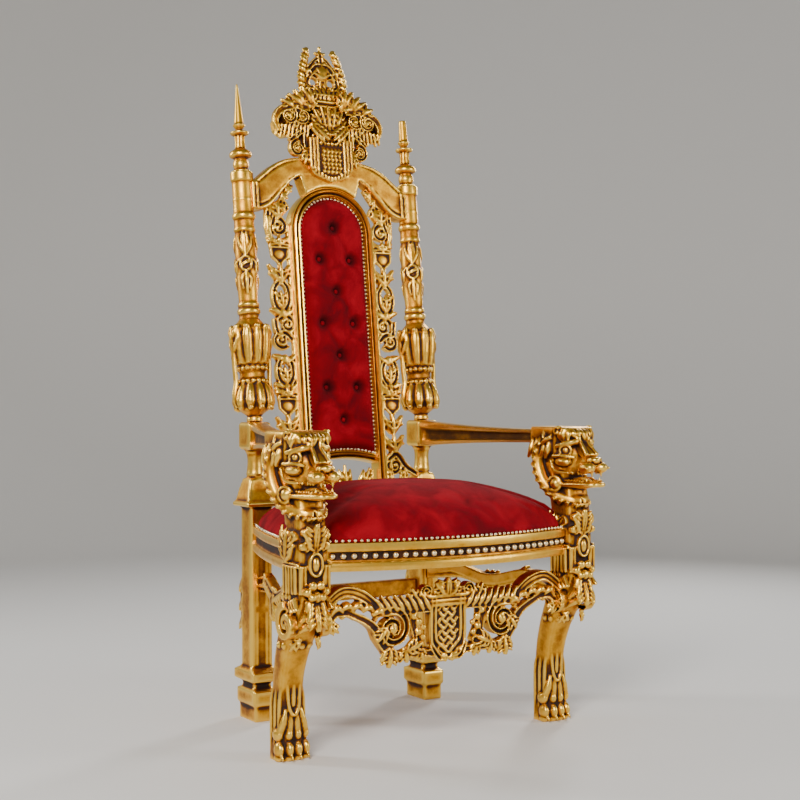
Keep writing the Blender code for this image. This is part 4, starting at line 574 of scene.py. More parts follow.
def back_post(name, side):
    carving = Carving()
    centre = (side * REAR_LEG_X, 0.0, 0.0)
    steps = [(share * POST_BULB_RADIUS, height) for share, height in POST_BULB]
    steps += [(share * POST_COLUMN_RADIUS, height) for share, height in POST_COLUMN]
    carving.turn(steps, centre, None, 96)
    turned = Turned(centre, steps)
    for angle in (-118, 2, 122):
        ribbon_motif(turned, carving, angle)
    plump_leaves(turned, carving, 10, 0.156, 0.254, 0.0132)
    plump_leaves(turned, carving, 10, 0.102, 0.036, 0.0126)
    for angle in (0, 180):
        handle = [(angle, 0.254, 0.0080), (angle, 0.226, 0.0090), (angle, 0.186, 0.0095), (angle, 0.140, 0.0150)]
        handle += [(angle, 0.104, 0.0135), (angle, 0.066, 0.0085), (angle, 0.038, 0.0060)]
        turned.frond(carving, handle, [(0.0105, 0.0066), (0.0100, 0.0064), (0.0088, 0.0062), (0.0092, 0.0064), (0.0070, 0.0052)])
        for hand in (-1, 1):
            for low, top in ((0.216, 0.262), (0.180, 0.222)):
                spots = [(angle, low, 0.0070), (angle + hand * 14, (low + top) / 2, 0.0085), (angle + hand * 24, top, 0.0080)]
                turned.frond(carving, spots, [(0.0050, 0.0046), (0.0072, 0.0056), (0.0036, 0.0040)])
    for height in (0.1425, 0.1075):
        for k in range(16):
            angle = math.tau * k / 16
            spot = (centre[0] + 0.0375 * math.cos(angle), 0.0375 * math.sin(angle), height)
            carving.knob(spot, (0.0064,) * 3, 0.0, 6, 9)
    piece = carving.fused(name, FINE_GRAIN, BACK_PLACE)
    set_down(piece, "gilt_wood", name)


for side, word in ((-1, "left"), (1, "right")):
    back_post("back_post_" + word, side)

# Spires
# Slim turned spires are dowelled into the posts. The left one keeps its needle point, and the right one has
# lost it and ends blunt, as the photograph shows.
FINIAL_LENGTH = 0.248
BLUNT_SPIRE_LENGTH = 0.198
SPIRE_RADIUS = 0.0130
SPIRE_STEPS = (
    (1.90, 0.000),
    (1.90, 0.004),
    (1.45, 0.008),
    (1.70, 0.020),
    (1.62, 0.028),
    (1.30, 0.039),
    (2.35, 0.044),
    (2.38, 0.050),
    (2.20, 0.056),
    (1.12, 0.066),
    (1.05, 0.084),
    (1.12, 0.102),
    (1.95, 0.107),
    (1.95, 0.112),
    (0.80, 0.115),
    (0.80, 0.121),
    (1.35, 0.131),
    (1.00, 0.136),
)


def spire(name, side, length, tip):
    carving = Carving()
    steps = [(share * SPIRE_RADIUS, height) for share, height in SPIRE_STEPS]
    steps += [(tip, length - 0.002), (tip * 0.4, length)]

    def flutes(angle, height):
        band = np.clip((height - 0.062) / 0.004, 0, 1) * np.clip((0.104 - height) / 0.004, 0, 1)
        return band * (0.0012 * np.cos(8 * angle) - 0.0006)

    carving.turn(steps, (side * REAR_LEG_X, 0.0, POST_LENGTH + 0.0003), flutes, 48)
    piece = carving.fused(name, 0.0018, BACK_PLACE)
    set_down(piece, "gilt_wood", name)


spire("finial_left", -1, FINIAL_LENGTH, SPIRE_RADIUS * 0.20)
spire("finial_right", 1, BLUNT_SPIRE_LENGTH, SPIRE_RADIUS * 0.80)

# Rear legs
# Square posts, sawn and planed, with a moulded foot, a leafy scroll on the back edge, a flared skirt above the
# seat, a short turned column and the block that takes the arm and the back post.
REAR_POST_Y = BACK_AXIS_Y - 0.008
REAR_POST_HALF = 0.031
FLARE_BOTTOM = 0.565
FLARE_TOP = 0.640
ARM_BLOCK_BOTTOM = 0.716
COLUMN_RADIUS = 0.0215


def rear_leg(name, side):
    carving = Carving()
    x, y = side * REAR_LEG_X, REAR_POST_Y
    stations = (
        (y, 0.0, 0.028, 0.048),
        (y, 0.038, 0.028, 0.048),
        (y, 0.046, 0.034, 0.054),
        (y, 0.080, 0.034, 0.054),
        (y, 0.086, 0.026, 0.036),
        (y, 0.100, 0.026, 0.036),
        (y, 0.106, 0.039, 0.059),
        (y, 0.129, 0.039, 0.059),
        (y, 0.142, REAR_POST_HALF, REAR_POST_HALF + 0.001),
        (y, FLARE_BOTTOM, REAR_POST_HALF, REAR_POST_HALF + 0.001),
        (y, FLARE_BOTTOM + 0.002, 0.047, 0.047),
        (y, FLARE_BOTTOM + 0.010, 0.049, 0.049),
        (y, FLARE_BOTTOM + 0.016, 0.042, 0.042),
        (BACK_AXIS_Y, FLARE_BOTTOM + 0.045, 0.033, 0.033),
        (BACK_AXIS_Y, FLARE_TOP, 0.0245, 0.0245),
    )
    rings = []
    for middle, z, half_x, half_y in stations:
        corners = ((-half_x, -half_y), (half_x, -half_y), (half_x, half_y), (-half_x, half_y))
        rings.append([(x + dx, middle + dy, z) for dx, dy in corners])
    carving.rings(np.array(rings))
    column = ((0.020, 0.62), (0.0215, 0.645), (0.0235, 0.652), (0.0215, 0.660), (0.0200, 0.685), (0.0215, 0.705))
    carving.turn([*column, (0.0255, 0.709), (0.0255, 0.722)], (x, BACK_AXIS_Y, 0.0), None, 40, 0.004)
    half = 0.0325
    for low, high, reach in ((0.716, 0.722, half - 0.004), (0.722, 0.784, half), (0.784, 0.7895, half - 0.003)):
        square = ((-reach, -reach), (reach, -reach), (reach, reach), (-reach, reach))
        carving.rings(np.array([[(x + dx, BACK_AXIS_Y + dy, z) for dx, dy in square] for z in (low, high)]))
    for face_x in (-1, 1):
        for low, high in ((0.150, 0.285), (0.305, 0.430)):
            for dx in (-0.014, 0.014):
                spot = (x + dx, y - REAR_POST_HALF - 0.001)
                carving.sweep([(*spot, low), (*spot, high)], (0.0022, 0.0022), (0, -1, 0))
    rear = y + REAR_POST_HALF
    spine = [
        (x, rear - 0.006, 0.425),
        (x, rear + 0.010, 0.385),
        (x, rear + 0.024, 0.320),
        (x, rear + 0.022, 0.250),
        (x, rear + 0.008, 0.205),
        (x, rear - 0.006, 0.188),
    ]
    core = [(x, y - 0.010 if k in (0, 5) else y * 0.6 + rear * 0.4, z) for k, (_, y, z) in enumerate(spine)]
    carving.sweep(core, [(0.012, 0.010), (0.018, 0.018), (0.012, 0.012)], (0, 1, 0), ROUND)
    carving.sweep(spine, [(0.014, 0.010), (0.022, 0.015), (0.018, 0.014), (0.011, 0.009)], (0, 1, 0), STRANDS)
    carving.scroll((x, rear + 0.012, 0.214), (0, 1, 0), (0, 0, 1), 0.020, 1.4, 80, -1, 0.012, 0.013, ROUND)
    carving.scroll((x, rear + 0.008, 0.396), (0, 1, 0), (0, 0, 1), 0.016, 1.3, -60, 1, 0.010, 0.011, ROUND)
    for hand in (-1, 1):
        for top in (0.385, 0.335, 0.285):
            root, tip = (x + hand * 0.012, rear + 0.008, top), (x + hand * 0.024, rear + 0.018, top - 0.055)
            carving.leaf(root, tip, (hand, 0.5, 0), 0.022, 3, 0.006, 0.2)
    piece = carving.fused(name, 0.0036, soften=1, floor=0.0)
    set_down(piece, "gilt_wood", name)


for side, word in ((-1, "left"), (1, "right")):
    rear_leg("rear_leg_" + word, side)

# Panel frame
# An arched moulding with two ridges and a hollow between them, mitred to a bowed sill, on two legs that stand
# on the rear seat rail. It is run with a scratch stock, so it is smooth and keeps crisp lines.
PANEL_HALF = 0.130
PANEL_MOULDING = 0.028
PANEL_DEPTH = 0.046
PANEL_INNER_HALF = PANEL_HALF - PANEL_MOULDING
PANEL_TOP = 0.656
ARCH_CENTRE = PANEL_TOP - PANEL_HALF
PANEL_SILL = -0.098
SILL_ARCH = 0.014
MOULDING = (
    (-1, -1),
    (-1, 0.42),
    (-0.90, 0.62),
    (-0.72, 0.66),
    (-0.58, 0.52),
    (-0.48, 0.58),
    (-0.34, 0.92),
    (-0.14, 1.0),
    (0.02, 0.86),
    (0.12, 0.55),
    (0.34, 0.44),
    (0.50, 0.56),
    (0.60, 0.82),
    (0.76, 0.88),
    (0.90, 0.72),
    (1, 0.30),
    (1, -1),
)


def arch_line(half, foot, step=0.006):
    """Points (x, height) up one side, round the arch and down the other."""
    rise = int((ARCH_CENTRE - foot) / step)
    left = [(-half, foot + (ARCH_CENTRE - foot) * k / rise) for k in range(rise)]
    bend = int(math.pi * half / step)
    round_top = [(-half * math.cos(math.pi * k / bend), ARCH_CENTRE + half * math.sin(math.pi * k / bend)) for k in range(bend + 1)]
    right = [(half, height) for _, height in left[::-1]]
    return left + round_top + right


def run_mould(carving, line, depth, half, height, section):
    """A moulding run along a line of (x, height) points, facing the front."""
    path = np.array([(x, depth, z) for x, z in line])
    along = unit(np.gradient(path, axis=0))
    rise = np.tile((0.0, -1.0, 0.0), (len(path), 1))
    side = np.cross(along, rise)
    shape = np.asarray(section, float)
    across = side[:, None, :] * (shape[:, 0] * half)[None, :, None]
    high = rise[:, None, :] * (shape[:, 1] * height)[None, :, None]
    carving.rings(path[:, None, :] + across + high)


def joined(carving, name, place=None, mirror=False, crease=38, material=None):
    """The shapes kept as they are, for work that is planed or turned rather than carved."""
    points = np.vstack(carving.points)
    if mirror:
        points = points * (-1, 1, 1)
    if place is not None:
        matrix = np.array(place)
        points = points @ matrix[:3, :3].T + matrix[:3, 3]
    mesh = bpy.data.meshes.new(name)
    mesh.from_pydata(points.tolist(), [], [face[::-1] if mirror else face for face in carving.faces])
    bm = bmesh.new()
    bm.from_mesh(mesh)
    bmesh.ops.recalc_face_normals(bm, faces=bm.faces)
    bm.to_mesh(mesh)
    bm.free()
    mesh.update()
    # Painted shade in the hollows and lighter rubbed edges, stored for the gold's colour.
    store_shade_and_wear(mesh, 0.0016, 2)
    mesh.shade_smooth()
    mesh.set_sharp_from_angle(angle=math.radians(crease))
    mesh.materials.append(material or GOLD)
    piece = bpy.data.objects.new(name, mesh)
    bpy.context.scene.collection.objects.link(piece)
    return piece


def panel_frame():
    carving = Carving()
    middle = PANEL_HALF - PANEL_MOULDING / 2
    run_mould(carving, arch_line(middle, -0.2755), 0.0, PANEL_MOULDING / 2, PANEL_DEPTH / 2, MOULDING)
    sill = []
    for k in range(25):
        x = -PANEL_INNER_HALF + 2 * PANEL_INNER_HALF * k / 24
        sill.append((x, PANEL_SILL - 0.010 + SILL_ARCH * (1 - (x / PANEL_INNER_HALF) ** 2)))
    run_mould(carving, sill, 0.002, 0.0115, PANEL_DEPTH / 2 - 0.002, MOULDING)
    piece = joined(carving, "panel_frame", BACK_PLACE)
    set_down(piece, "gilt_wood", "panel_frame")


panel_frame()

# Buttoned back
# A thin board padded with fibre and covered in cotton velvet. Ten velvet buttons are drawn in on strings, one
# and then two in a row, and soft pleats run from button to button. A line of brass nails holds the edge.
TUFT_PITCH = 0.0895
TUFT_SPREAD = 0.0475
BACK_CROWN = 0.030
BACK_EDGE_DEPTH = 0.008
BACK_TAPE = 0.0085
# Fold depths over which the velvet goes from no painted shade to full painted shade.
FOLD_SHADE = (0.0040, 0.0230)


def velvet():
    """Deep red cotton velvet: dark where the eye looks into the pile, bright where it leans, with brushed patches, and
    painted shade that darkens its deep folds towards near black.
    """
    material = bpy.data.materials.new("red_cotton_velvet")
    material.use_nodes = True
    nodes, links = material.node_tree.nodes, material.node_tree.links
    shader = nodes["Principled BSDF"]
    place = nodes.new("ShaderNodeTexCoord")
    brushed = nodes.new("ShaderNodeTexNoise")
    brushed.inputs["Scale"].default_value = 14.0
    brushed.inputs["Detail"].default_value = 4.0
    brushed.inputs["Distortion"].default_value = 0.6
    links.new(place.outputs["Object"], brushed.inputs["Vector"])
    colours = nodes.new("ShaderNodeValToRGB")
    stops = colours.color_ramp.elements
    stops[0].position, stops[0].color = 0.32, (0.135, 0.0004, 0.0045, 1.0)
    stops[1].position, stops[1].color = 0.70, (0.37, 0.0010, 0.0110, 1.0)
    links.new(brushed.outputs["Fac"], colours.inputs["Fac"])
    pile = nodes.new("ShaderNodeTexNoise")
    pile.inputs["Scale"].default_value = 900.0
    pile.inputs["Detail"].default_value = 2.0
    links.new(place.outputs["Object"], pile.inputs["Vector"])
    tone = nodes.new("ShaderNodeMixRGB")
    tone.blend_type = "MULTIPLY"
    tone.inputs["Fac"].default_value = 0.35
    links.new(colours.outputs["Color"], tone.inputs["Color1"])
    links.new(pile.outputs["Color"], tone.inputs["Color2"])
    # Painted shade: where the back's folds and button dimples lie deep, the velvet is darkened towards near black.
    hollow_shade = nodes.new("ShaderNodeAttribute")
    hollow_shade.attribute_name = "hollow_shade"
    shaded_folds = nodes.new("ShaderNodeMixRGB")
    shaded_folds.inputs["Color2"].default_value = (0.014, 0.0, 0.0006, 1.0)
    links.new(hollow_shade.outputs["Fac"], shaded_folds.inputs["Fac"])
    links.new(tone.outputs["Color"], shaded_folds.inputs["Color1"])
    links.new(shaded_folds.outputs["Color"], shader.inputs["Base Color"])
    shader.inputs["Roughness"].default_value = 0.95
    shader.inputs["Specular IOR Level"].default_value = 0.15
    shader.inputs["Sheen Weight"].default_value = 0.10
    shader.inputs["Sheen Roughness"].default_value = 0.35
    shader.inputs["Sheen Tint"].default_value = (1.0, 0.05, 0.10, 1.0)
    bump = nodes.new("ShaderNodeBump")
    bump.inputs["Strength"].default_value = 0.35
    bump.inputs["Distance"].default_value = 0.0010
    links.new(pile.outputs["Fac"], bump.inputs["Height"])
    links.new(bump.outputs["Normal"], shader.inputs["Normal"])
    return material


VELVET = velvet()


def button_places():
    spots = []
    row, height = 0, PANEL_TOP - PANEL_MOULDING - TUFT_PITCH
    while height > PANEL_SILL + TUFT_PITCH * 0.6:
        spots += [(0.0, height)] if row % 2 == 0 else [(-TUFT_SPREAD, height), (TUFT_SPREAD, height)]
        row += 1
        height -= TUFT_PITCH
    return spots


def fold_depth(x, z, spots):
    """How far the velvet lies below its crown: deep at a button, shallow along the pleats between buttons."""
    depth = np.zeros_like(x)
    for a, b in spots:
        away = np.hypot(x - a, z - b)
        depth = np.maximum(depth, 0.0215 * np.exp(-((away / 0.0145) ** 2)) + 0.0080 * np.exp(-((away / 0.032) ** 2)))
    for i, (a, b) in enumerate(spots):
        for c, d in spots[i + 1 :]:
            if not 0.05 < math.hypot(a - c, b - d) < TUFT_PITCH * 1.25 or abs(b - d) < 0.01:
                continue
            run = np.array((c - a, d - b))
            length = np.linalg.norm(run)
            share = np.clip(((x - a) * run[0] + (z - b) * run[1]) / length**2, 0, 1)
            away = np.hypot(x - a - share * run[0], z - b - share * run[1])
            pleat = 0.0060 * np.exp(-((away / 0.0085) ** 2)) * (1 - 0.40 * np.sin(math.pi * share))
            depth = np.maximum(depth, pleat + 0.0035 * np.exp(-((away / 0.022) ** 2)))
    return depth


def back_cushion():
    rows, columns = 190, 56
    inner = PANEL_INNER_HALF - 0.0006
    spots = button_places()
    share = np.linspace(0, 1, rows + 1)[:, None]
    across = np.linspace(-1, 1, columns + 1)[None, :]
    foot = PANEL_SILL + 0.001
    height = foot + (ARCH_CENTRE + inner - foot) * share + 0 * across
    rise = np.maximum(0.0, height - ARCH_CENTRE)
    reach = np.sqrt(np.maximum(inner**2 - rise**2, (inner * 0.06) ** 2))
    x = across * reach
    sill = PANEL_SILL + SILL_ARCH * (1 - (x / inner) ** 2) - foot
    height = height + sill * (1 - share) ** 6
    rim_gap = np.minimum(np.minimum(reach * (1 - np.abs(across)), height - foot - sill), inner - np.hypot(x, rise))
    rounded = np.sqrt(np.clip(1 - (1 - np.clip((rim_gap - BACK_TAPE) / 0.026, 0, 1)) ** 2, 0, 1))
    crown = BACK_CROWN * rounded * (0.86 + 0.14 * np.cos(across * 1.4))
    front = -BACK_EDGE_DEPTH - crown + fold_depth(x, height, spots) * rounded
    behind = np.full_like(front, 0.010)
    bm = bmesh.new()
    sheets = []
    for depth in (front, behind):
        sheets.append([[bm.verts.new((x[r, c], depth[r, c], height[r, c])) for c in range(columns + 1)] for r in range(rows + 1)])
    for sheet in sheets:
        for low_row, high_row in zip(sheet, sheet[1:]):
            for c in range(columns):
                bm.faces.new((low_row[c], low_row[c + 1], high_row[c + 1], high_row[c]))
    rim = [(r, 0) for r in range(rows)] + [(rows, c) for c in range(columns)]
    rim += [(r, columns) for r in range(rows, 0, -1)] + [(0, c) for c in range(columns, 0, -1)]
    for (a, b), (c, d) in zip(rim, rim[1:] + rim[:1]):
        bm.faces.new((sheets[0][a][b], sheets[0][c][d], sheets[1][c][d], sheets[1][a][b]))
    bmesh.ops.remove_doubles(bm, verts=bm.verts, dist=1e-6)
    bmesh.ops.recalc_face_normals(bm, faces=bm.faces)
    mesh = bpy.data.meshes.new("back_cushion")
    bm.to_mesh(mesh)
    bm.free()
    # Painted shade for the velvet, deepest in the button dimples and lighter along the pleats.
    points = read_mesh(mesh)[0]
    depth = fold_depth(points[:, 0], points[:, 2], spots) * (points[:, 1] < 0.0)
    layer = mesh.attributes.new("hollow_shade", "FLOAT", "POINT")
    layer.data.foreach_set("value", np.interp(depth, FOLD_SHADE, (0.0, 0.85)).astype(np.float32))
    mesh.transform(BACK_PLACE)
    mesh.shade_smooth()
    mesh.materials.append(VELVET)
    piece = bpy.data.objects.new("back_cushion", mesh)
    bpy.context.scene.collection.objects.link(piece)
    set_down(piece, "red_velvet", "back_cushion")


def back_buttons():
    carving = Carving()
    for x, height in button_places():
        carving.knob((x, -0.0125, height), (0.0066, 0.0036, 0.0066), 0.0, 8, 18)
    piece = joined(carving, "back_buttons", BACK_PLACE, crease=80, material=VELVET)
    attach(piece, "root")


def nail_brass():
    """Pale polished upholstery nails, a little tarnished in patches."""
    material = bpy.data.materials.new("nail_brass")
    material.use_nodes = True
    nodes, links = material.node_tree.nodes, material.node_tree.links
    shader = nodes["Principled BSDF"]
    place = nodes.new("ShaderNodeTexCoord")
    tarnish = nodes.new("ShaderNodeTexNoise")
    tarnish.inputs["Scale"].default_value = 60.0
    links.new(place.outputs["Object"], tarnish.inputs["Vector"])
    colours = nodes.new("ShaderNodeValToRGB")
    stops = colours.color_ramp.elements
    stops[0].position, stops[0].color = 0.35, (0.62, 0.44, 0.22, 1.0)
    stops[1].position, stops[1].color = 0.65, (0.95, 0.84, 0.62, 1.0)
    links.new(tarnish.outputs["Fac"], colours.inputs["Fac"])
    links.new(colours.outputs["Color"], shader.inputs["Base Color"])
    shader.inputs["Metallic"].default_value = 1.0
    rough = nodes.new("ShaderNodeMapRange")
    rough.inputs["To Min"].default_value = 0.16
    rough.inputs["To Max"].default_value = 0.40
    links.new(tarnish.outputs["Fac"], rough.inputs["Value"])
    links.new(rough.outputs["Result"], shader.inputs["Roughness"])
    return material


NAIL = nail_brass()


def nails(name, spots, radius, place=None):
    """Domed heads at (point, facing) places."""
    carving = Carving()
    for point, facing in spots:
        point, facing = np.asarray(point, float), unit(np.asarray(facing, float))
        side = unit(np.cross(facing, (0.03, 0.02, 1.0)))
        up = np.cross(side, facing)
        rings = []
        for angle in (0.0, 0.45, 0.90, 1.25, 1.50):
            reach, rise = radius * math.cos(angle), radius * 0.75 * math.sin(angle)
            turn = np.linspace(0, math.tau, 10, endpoint=False)[:, None]
            rings.append(point + facing * rise + reach * (side * np.cos(turn) + up * np.sin(turn)))
        carving.rings(np.array(rings))
    piece = joined(carving, name, place, crease=80, material=NAIL)
    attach(piece, "root")


def back_nails():
    line = arch_line(PANEL_INNER_HALF - 0.0042, PANEL_SILL + 0.006, 0.0112)
    spots = [((x, -0.0092, height), (0, -1, 0)) for x, height in line]
    for k in range(1, 18):
        x = -PANEL_INNER_HALF + 2 * PANEL_INNER_HALF * k / 18
        spots.append(((x, -0.0092, PANEL_SILL + 0.0052 + SILL_ARCH * (1 - (x / PANEL_INNER_HALF) ** 2)), (0, -1, 0)))
    nails("back_nails", spots, 0.0042, BACK_PLACE)


back_cushion()
back_buttons()
back_nails()

# Top rail
# Two shoulders rise in a double curve from the posts and close over the arch. Each is sawn from thick board,
# its face is left plain but for a scratched line along the edges, and a small cap moulding meets the post.
TOP_RAIL_END = 0.652
TOP_RAIL_END_HEIGHT = 0.076
TOP_RAIL_CROWN = 0.735
TOP_RAIL_HALF = 0.022
OUT = (0.0, -1.0, 0.0)


RAIL_FACE = ((0.0, 0.35), (0.0, 0.80), (0.030, 1.0), (0.115, 1.0), (0.135, 0.86), (0.165, 0.86), (0.185, 1.0))
RAIL_FACE += tuple((1 - a, b) for a, b in RAIL_FACE[::-1])


def rail_curve(points, count):
    line = path_through([(x, 0.0, z) for x, z in points], 12)
    steps = np.concatenate([[0.0], np.cumsum(np.linalg.norm(np.diff(line, axis=0), axis=1))])
    marks = np.linspace(0.0, steps[-1], count)
    return np.stack([np.interp(marks, steps, line[:, k]) for k in (0, 2)], axis=1)


def top_rail():
    carving = Carving()
    end, top, low = REAR_LEG_X - 0.020, TOP_RAIL_END, TOP_RAIL_END - TOP_RAIL_END_HEIGHT
    wide, count = REAR_LEG_X, 60
    upper = [(end, top + 0.003), (wide * 0.86, top + 0.014), (wide * 0.66, top + 0.056), (wide * 0.46, TOP_RAIL_CROWN - 0.006)]
    upper = rail_curve([*upper, (wide * 0.2, TOP_RAIL_CROWN), (0.0, TOP_RAIL_CROWN)], count)
    lower = [(end, low + 0.001), (wide * 0.84, low + 0.002), (wide * 0.72, low + 0.016), (wide * 0.56, low + 0.062)]
    lower = rail_curve([*lower, (wide * 0.44, low + 0.094), (wide * 0.30, low + 0.108), (0.0, low + 0.108)], count)
    for hand in (-1, 1):
        rings = []
        for a, b in zip(upper, lower):
            front = [(a * (1 - s) + b * s, -TOP_RAIL_HALF * depth) for s, depth in RAIL_FACE]
            ring = [(hand * spot[0], y, spot[1]) for spot, y in front]
            ring += [(hand * b[0], TOP_RAIL_HALF, b[1]), (hand * a[0], TOP_RAIL_HALF, a[1])]
            rings.append(ring)
        carving.rings(np.array(rings))
        for x, half in ((end - 0.002, 0.0045), (end - 0.014, 0.0030)):
            carving.sweep([(hand * x, -TOP_RAIL_HALF, low + 0.003), (hand * x, -TOP_RAIL_HALF, top + 0.002)], (half, 0.0040), OUT)
    arch = []
    for k in range(25):
        angle = math.radians(53 + 74 * k / 24)
        arch.append((math.cos(angle), math.sin(angle)))
    under = [(a * (PANEL_HALF + 0.0004), ARCH_CENTRE + b * (PANEL_HALF + 0.0004)) for a, b in arch]
    over = [(-0.094, 0.676), (-0.070, 0.712), (0.070, 0.712), (0.094, 0.676)]
    carving.plate([*under, *over], -TOP_RAIL_HALF + 0.0005, TOP_RAIL_HALF)
    piece = carving.fused("top_rail", 0.0026, BACK_PLACE)
    set_down(piece, "gilt_wood", "top_rail")


top_rail()

# Arms
# Moulded rails that dip and splay from the rear blocks to the backs of the lions' heads. The hands have worn
# their tops darker than the rest.
FRONT_LEG_X = 0.390
FRONT_LEG_Y = -0.2694
HEAD_TOP = 0.777
ARM_HALF = 0.028
ARM_SECTION = (
    (-0.80, 0.0),
    (0.0, -0.01),
    (0.80, 0.0),
    (0.84, 0.16),
    (0.70, 0.21),
    (0.62, 0.27),
    (0.60, 0.44),
    (0.64, 0.60),
    (0.80, 0.68),
    (0.97, 0.74),
    (1.00, 0.84),
    (0.92, 0.93),
    (0.72, 0.985),
    (0.36, 1.0),
)


def worn_gold():
    """Gold leaf that hands have dulled to a warm brown, for the arms."""
    material = GOLD.copy()
    material.name = "handled_gold_leaf"
    nodes = material.node_tree.nodes
    # The ramp still paints shade into the hollows, over a browner gold.
    for node in nodes:
        if node.type == "VALTORGB":
            for stop, colour in zip(node.color_ramp.elements, ((0.022, 0.007, 0.003), (0.10, 0.040, 0.010), (0.30, 0.145, 0.030), (0.52, 0.29, 0.070), (0.92, 0.62, 0.20))):
                stop.color = (*colour, 1.0)
    return material


WORN_GOLD = worn_gold()


def arm(name, side):
    carving = Carving()
    start, end = BACK_AXIS_Y - 0.0333, FRONT_LEG_Y + 0.1203
    rings = []
    rows = 30
    section = [*ARM_SECTION, *[(-a, b) for a, b in ARM_SECTION[:2:-1]]]
    for k in range(rows + 1):
        t = k / rows
        ease = t * (2 - t)
        x = side * (REAR_LEG_X + (FRONT_LEG_X - REAR_LEG_X) * t)
        y = start + (end - start) * t
        high = ARM_BLOCK_TOP - 0.002 + (HEAD_TOP - 0.006 - ARM_BLOCK_TOP) * ease
        low = ARM_BLOCK_BOTTOM + 0.002 + (HEAD_TOP - 0.046 - ARM_BLOCK_BOTTOM) * ease
        rings.append([(x + a * ARM_HALF, y, low + b * (high - low)) for a, b in section])
    carving.rings(np.array(rings))
    piece = joined(carving, name, material=WORN_GOLD)
    set_down(piece, "gilt_wood", name)


for side, word in ((-1, "left"), (1, "right")):
    arm("arm_" + word, side)

# Seat rails
# A bowed front rail between the lion legs and a splayed rail at each side, moulded with a top fillet, a hollow
# and a round lower bead. Turned pearls are pegged along the hollow of the front rail.
KNEE_HALF = 0.0425
LEG_INNER = FRONT_LEG_X - KNEE_HALF
LEG_REAR = FRONT_LEG_Y + KNEE_HALF
REAR_LEG_FRONT = REAR_POST_Y - 0.032
SEAT_RAIL_TOP = 0.515
SEAT_RAIL_LOW = 0.449
SEAT_BOW = 0.075
RAIL_SECTION = (
    (0.0, 0.0),
    (0.70, 0.01),
    (1.10, 0.06),
    (1.30, 0.15),
    (1.20, 0.25),
    (0.80, 0.32),
    (0.30, 0.345),
    (0.20, 0.38),
    (-0.30, 0.44),
    (-0.30, 0.64),
    (0.20, 0.70),
    (0.70, 0.71),
    (0.98, 0.74),
    (1.05, 0.80),
    (1.05, 0.93),
    (0.90, 1.0),
)


def front_line(x, inset=0.0):
    return FRONT_LEG_Y - KNEE_HALF * 0.60 - SEAT_BOW * (1 - (x / LEG_INNER) ** 2) + inset


def side_line(y):
    share = (y - LEG_REAR) / (REAR_LEG_FRONT - LEG_REAR)
    near, far = FRONT_LEG_X + KNEE_HALF * 0.60, REAR_LEG_X + 0.062 * 0.42
    return near + (far - near) * share + 0.012 * math.sin(math.pi * share)


def seat_rail(name, path, inward):
    carving = Carving()
    rings = []
    height = SEAT_RAIL_TOP - SEAT_RAIL_LOW
    for (x, y), (ix, iy) in zip(path, inward):
        ring = []
        for out, rise in RAIL_SECTION:
            depth = 0.006 * (1 - out)
            ring.append((x + ix * depth, y + iy * depth, SEAT_RAIL_LOW + height * rise))
        ring.append((x + ix * 0.040, y + iy * 0.040, SEAT_RAIL_TOP))
        ring.append((x + ix * 0.040, y + iy * 0.040, SEAT_RAIL_LOW))
        rings.append(ring)
    carving.rings(np.array(rings))
    piece = joined(carving, name)
    set_down(piece, "gilt_wood", name)


def seat_rails():
    half, steps = LEG_INNER - 0.0003, 60
    path = [(-half + 2 * half * k / steps, front_line(-half + 2 * half * k / steps)) for k in range(steps + 1)]
    seat_rail("seat_rail_front", path, [(0.0, 1.0)] * len(path))
    for side, word in ((-1, "left"), (1, "right")):
        start, end = LEG_REAR + 0.0003, REAR_LEG_FRONT - 0.0003
        path = [(side * side_line(start + (end - start) * k / 24), start + (end - start) * k / 24) for k in range(25)]
        seat_rail("seat_rail_" + word, path, [(-side * 1.0, 0.0)] * len(path))


def bright_gold():
    """The pearls stand proud and are rubbed almost to silver."""
    material = GOLD.copy()
    material.name = "pearl_gold_leaf"
    # The ramp still paints shade into the hollows, over a paler gold.
    for node in material.node_tree.nodes:
        if node.type == "VALTORGB":
            for stop, colour in zip(node.color_ramp.elements, PEARL_SHADE_TO_LEAF_STOPS):
                stop.color = (*colour, 1.0)
    return material


PEARL_SHADE_TO_LEAF_STOPS = ((0.30, 0.16, 0.05), (0.62, 0.40, 0.14), (0.86, 0.62, 0.26), (0.95, 0.76, 0.42), (1.0, 0.88, 0.60))
PEARL_GOLD = bright_gold()


def rail_pearls():
    carving = Carving()
    count = 29
    for k in range(count):
        x = (LEG_INNER - 0.012) * (-1 + 2 * k / (count - 1))
        carving.knob((x, front_line(x) + 0.0035, SEAT_RAIL_LOW + 0.0360), (0.0074, 0.0074, 0.0068), 0.0, 9, 16)
    piece = joined(carving, "rail_pearls", crease=80, material=PEARL_GOLD)
    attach(piece, "root")


seat_rails()
rail_pearls()
for node in ("seat_rail_rear", "rear_stretcher"):
    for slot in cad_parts[node].material_slots:
        slot.material = GOLD

# Fretwork
# A leafy board at each side of the panel, sawn through with a fret saw and then carved: small shields, long
# ovals with a sprig inside, scrolls and pointed leaves, one above the other, on a thin strip along the frame.
FRETWORK_WIDTH = 0.064
FRETWORK_HALF_DEPTH = 0.0105
FRETWORK_FOOT = -0.165


def fret_spot(across, height, depth=0.0):
    return (PANEL_HALF + 0.0012 + across * FRETWORK_WIDTH, depth, height)


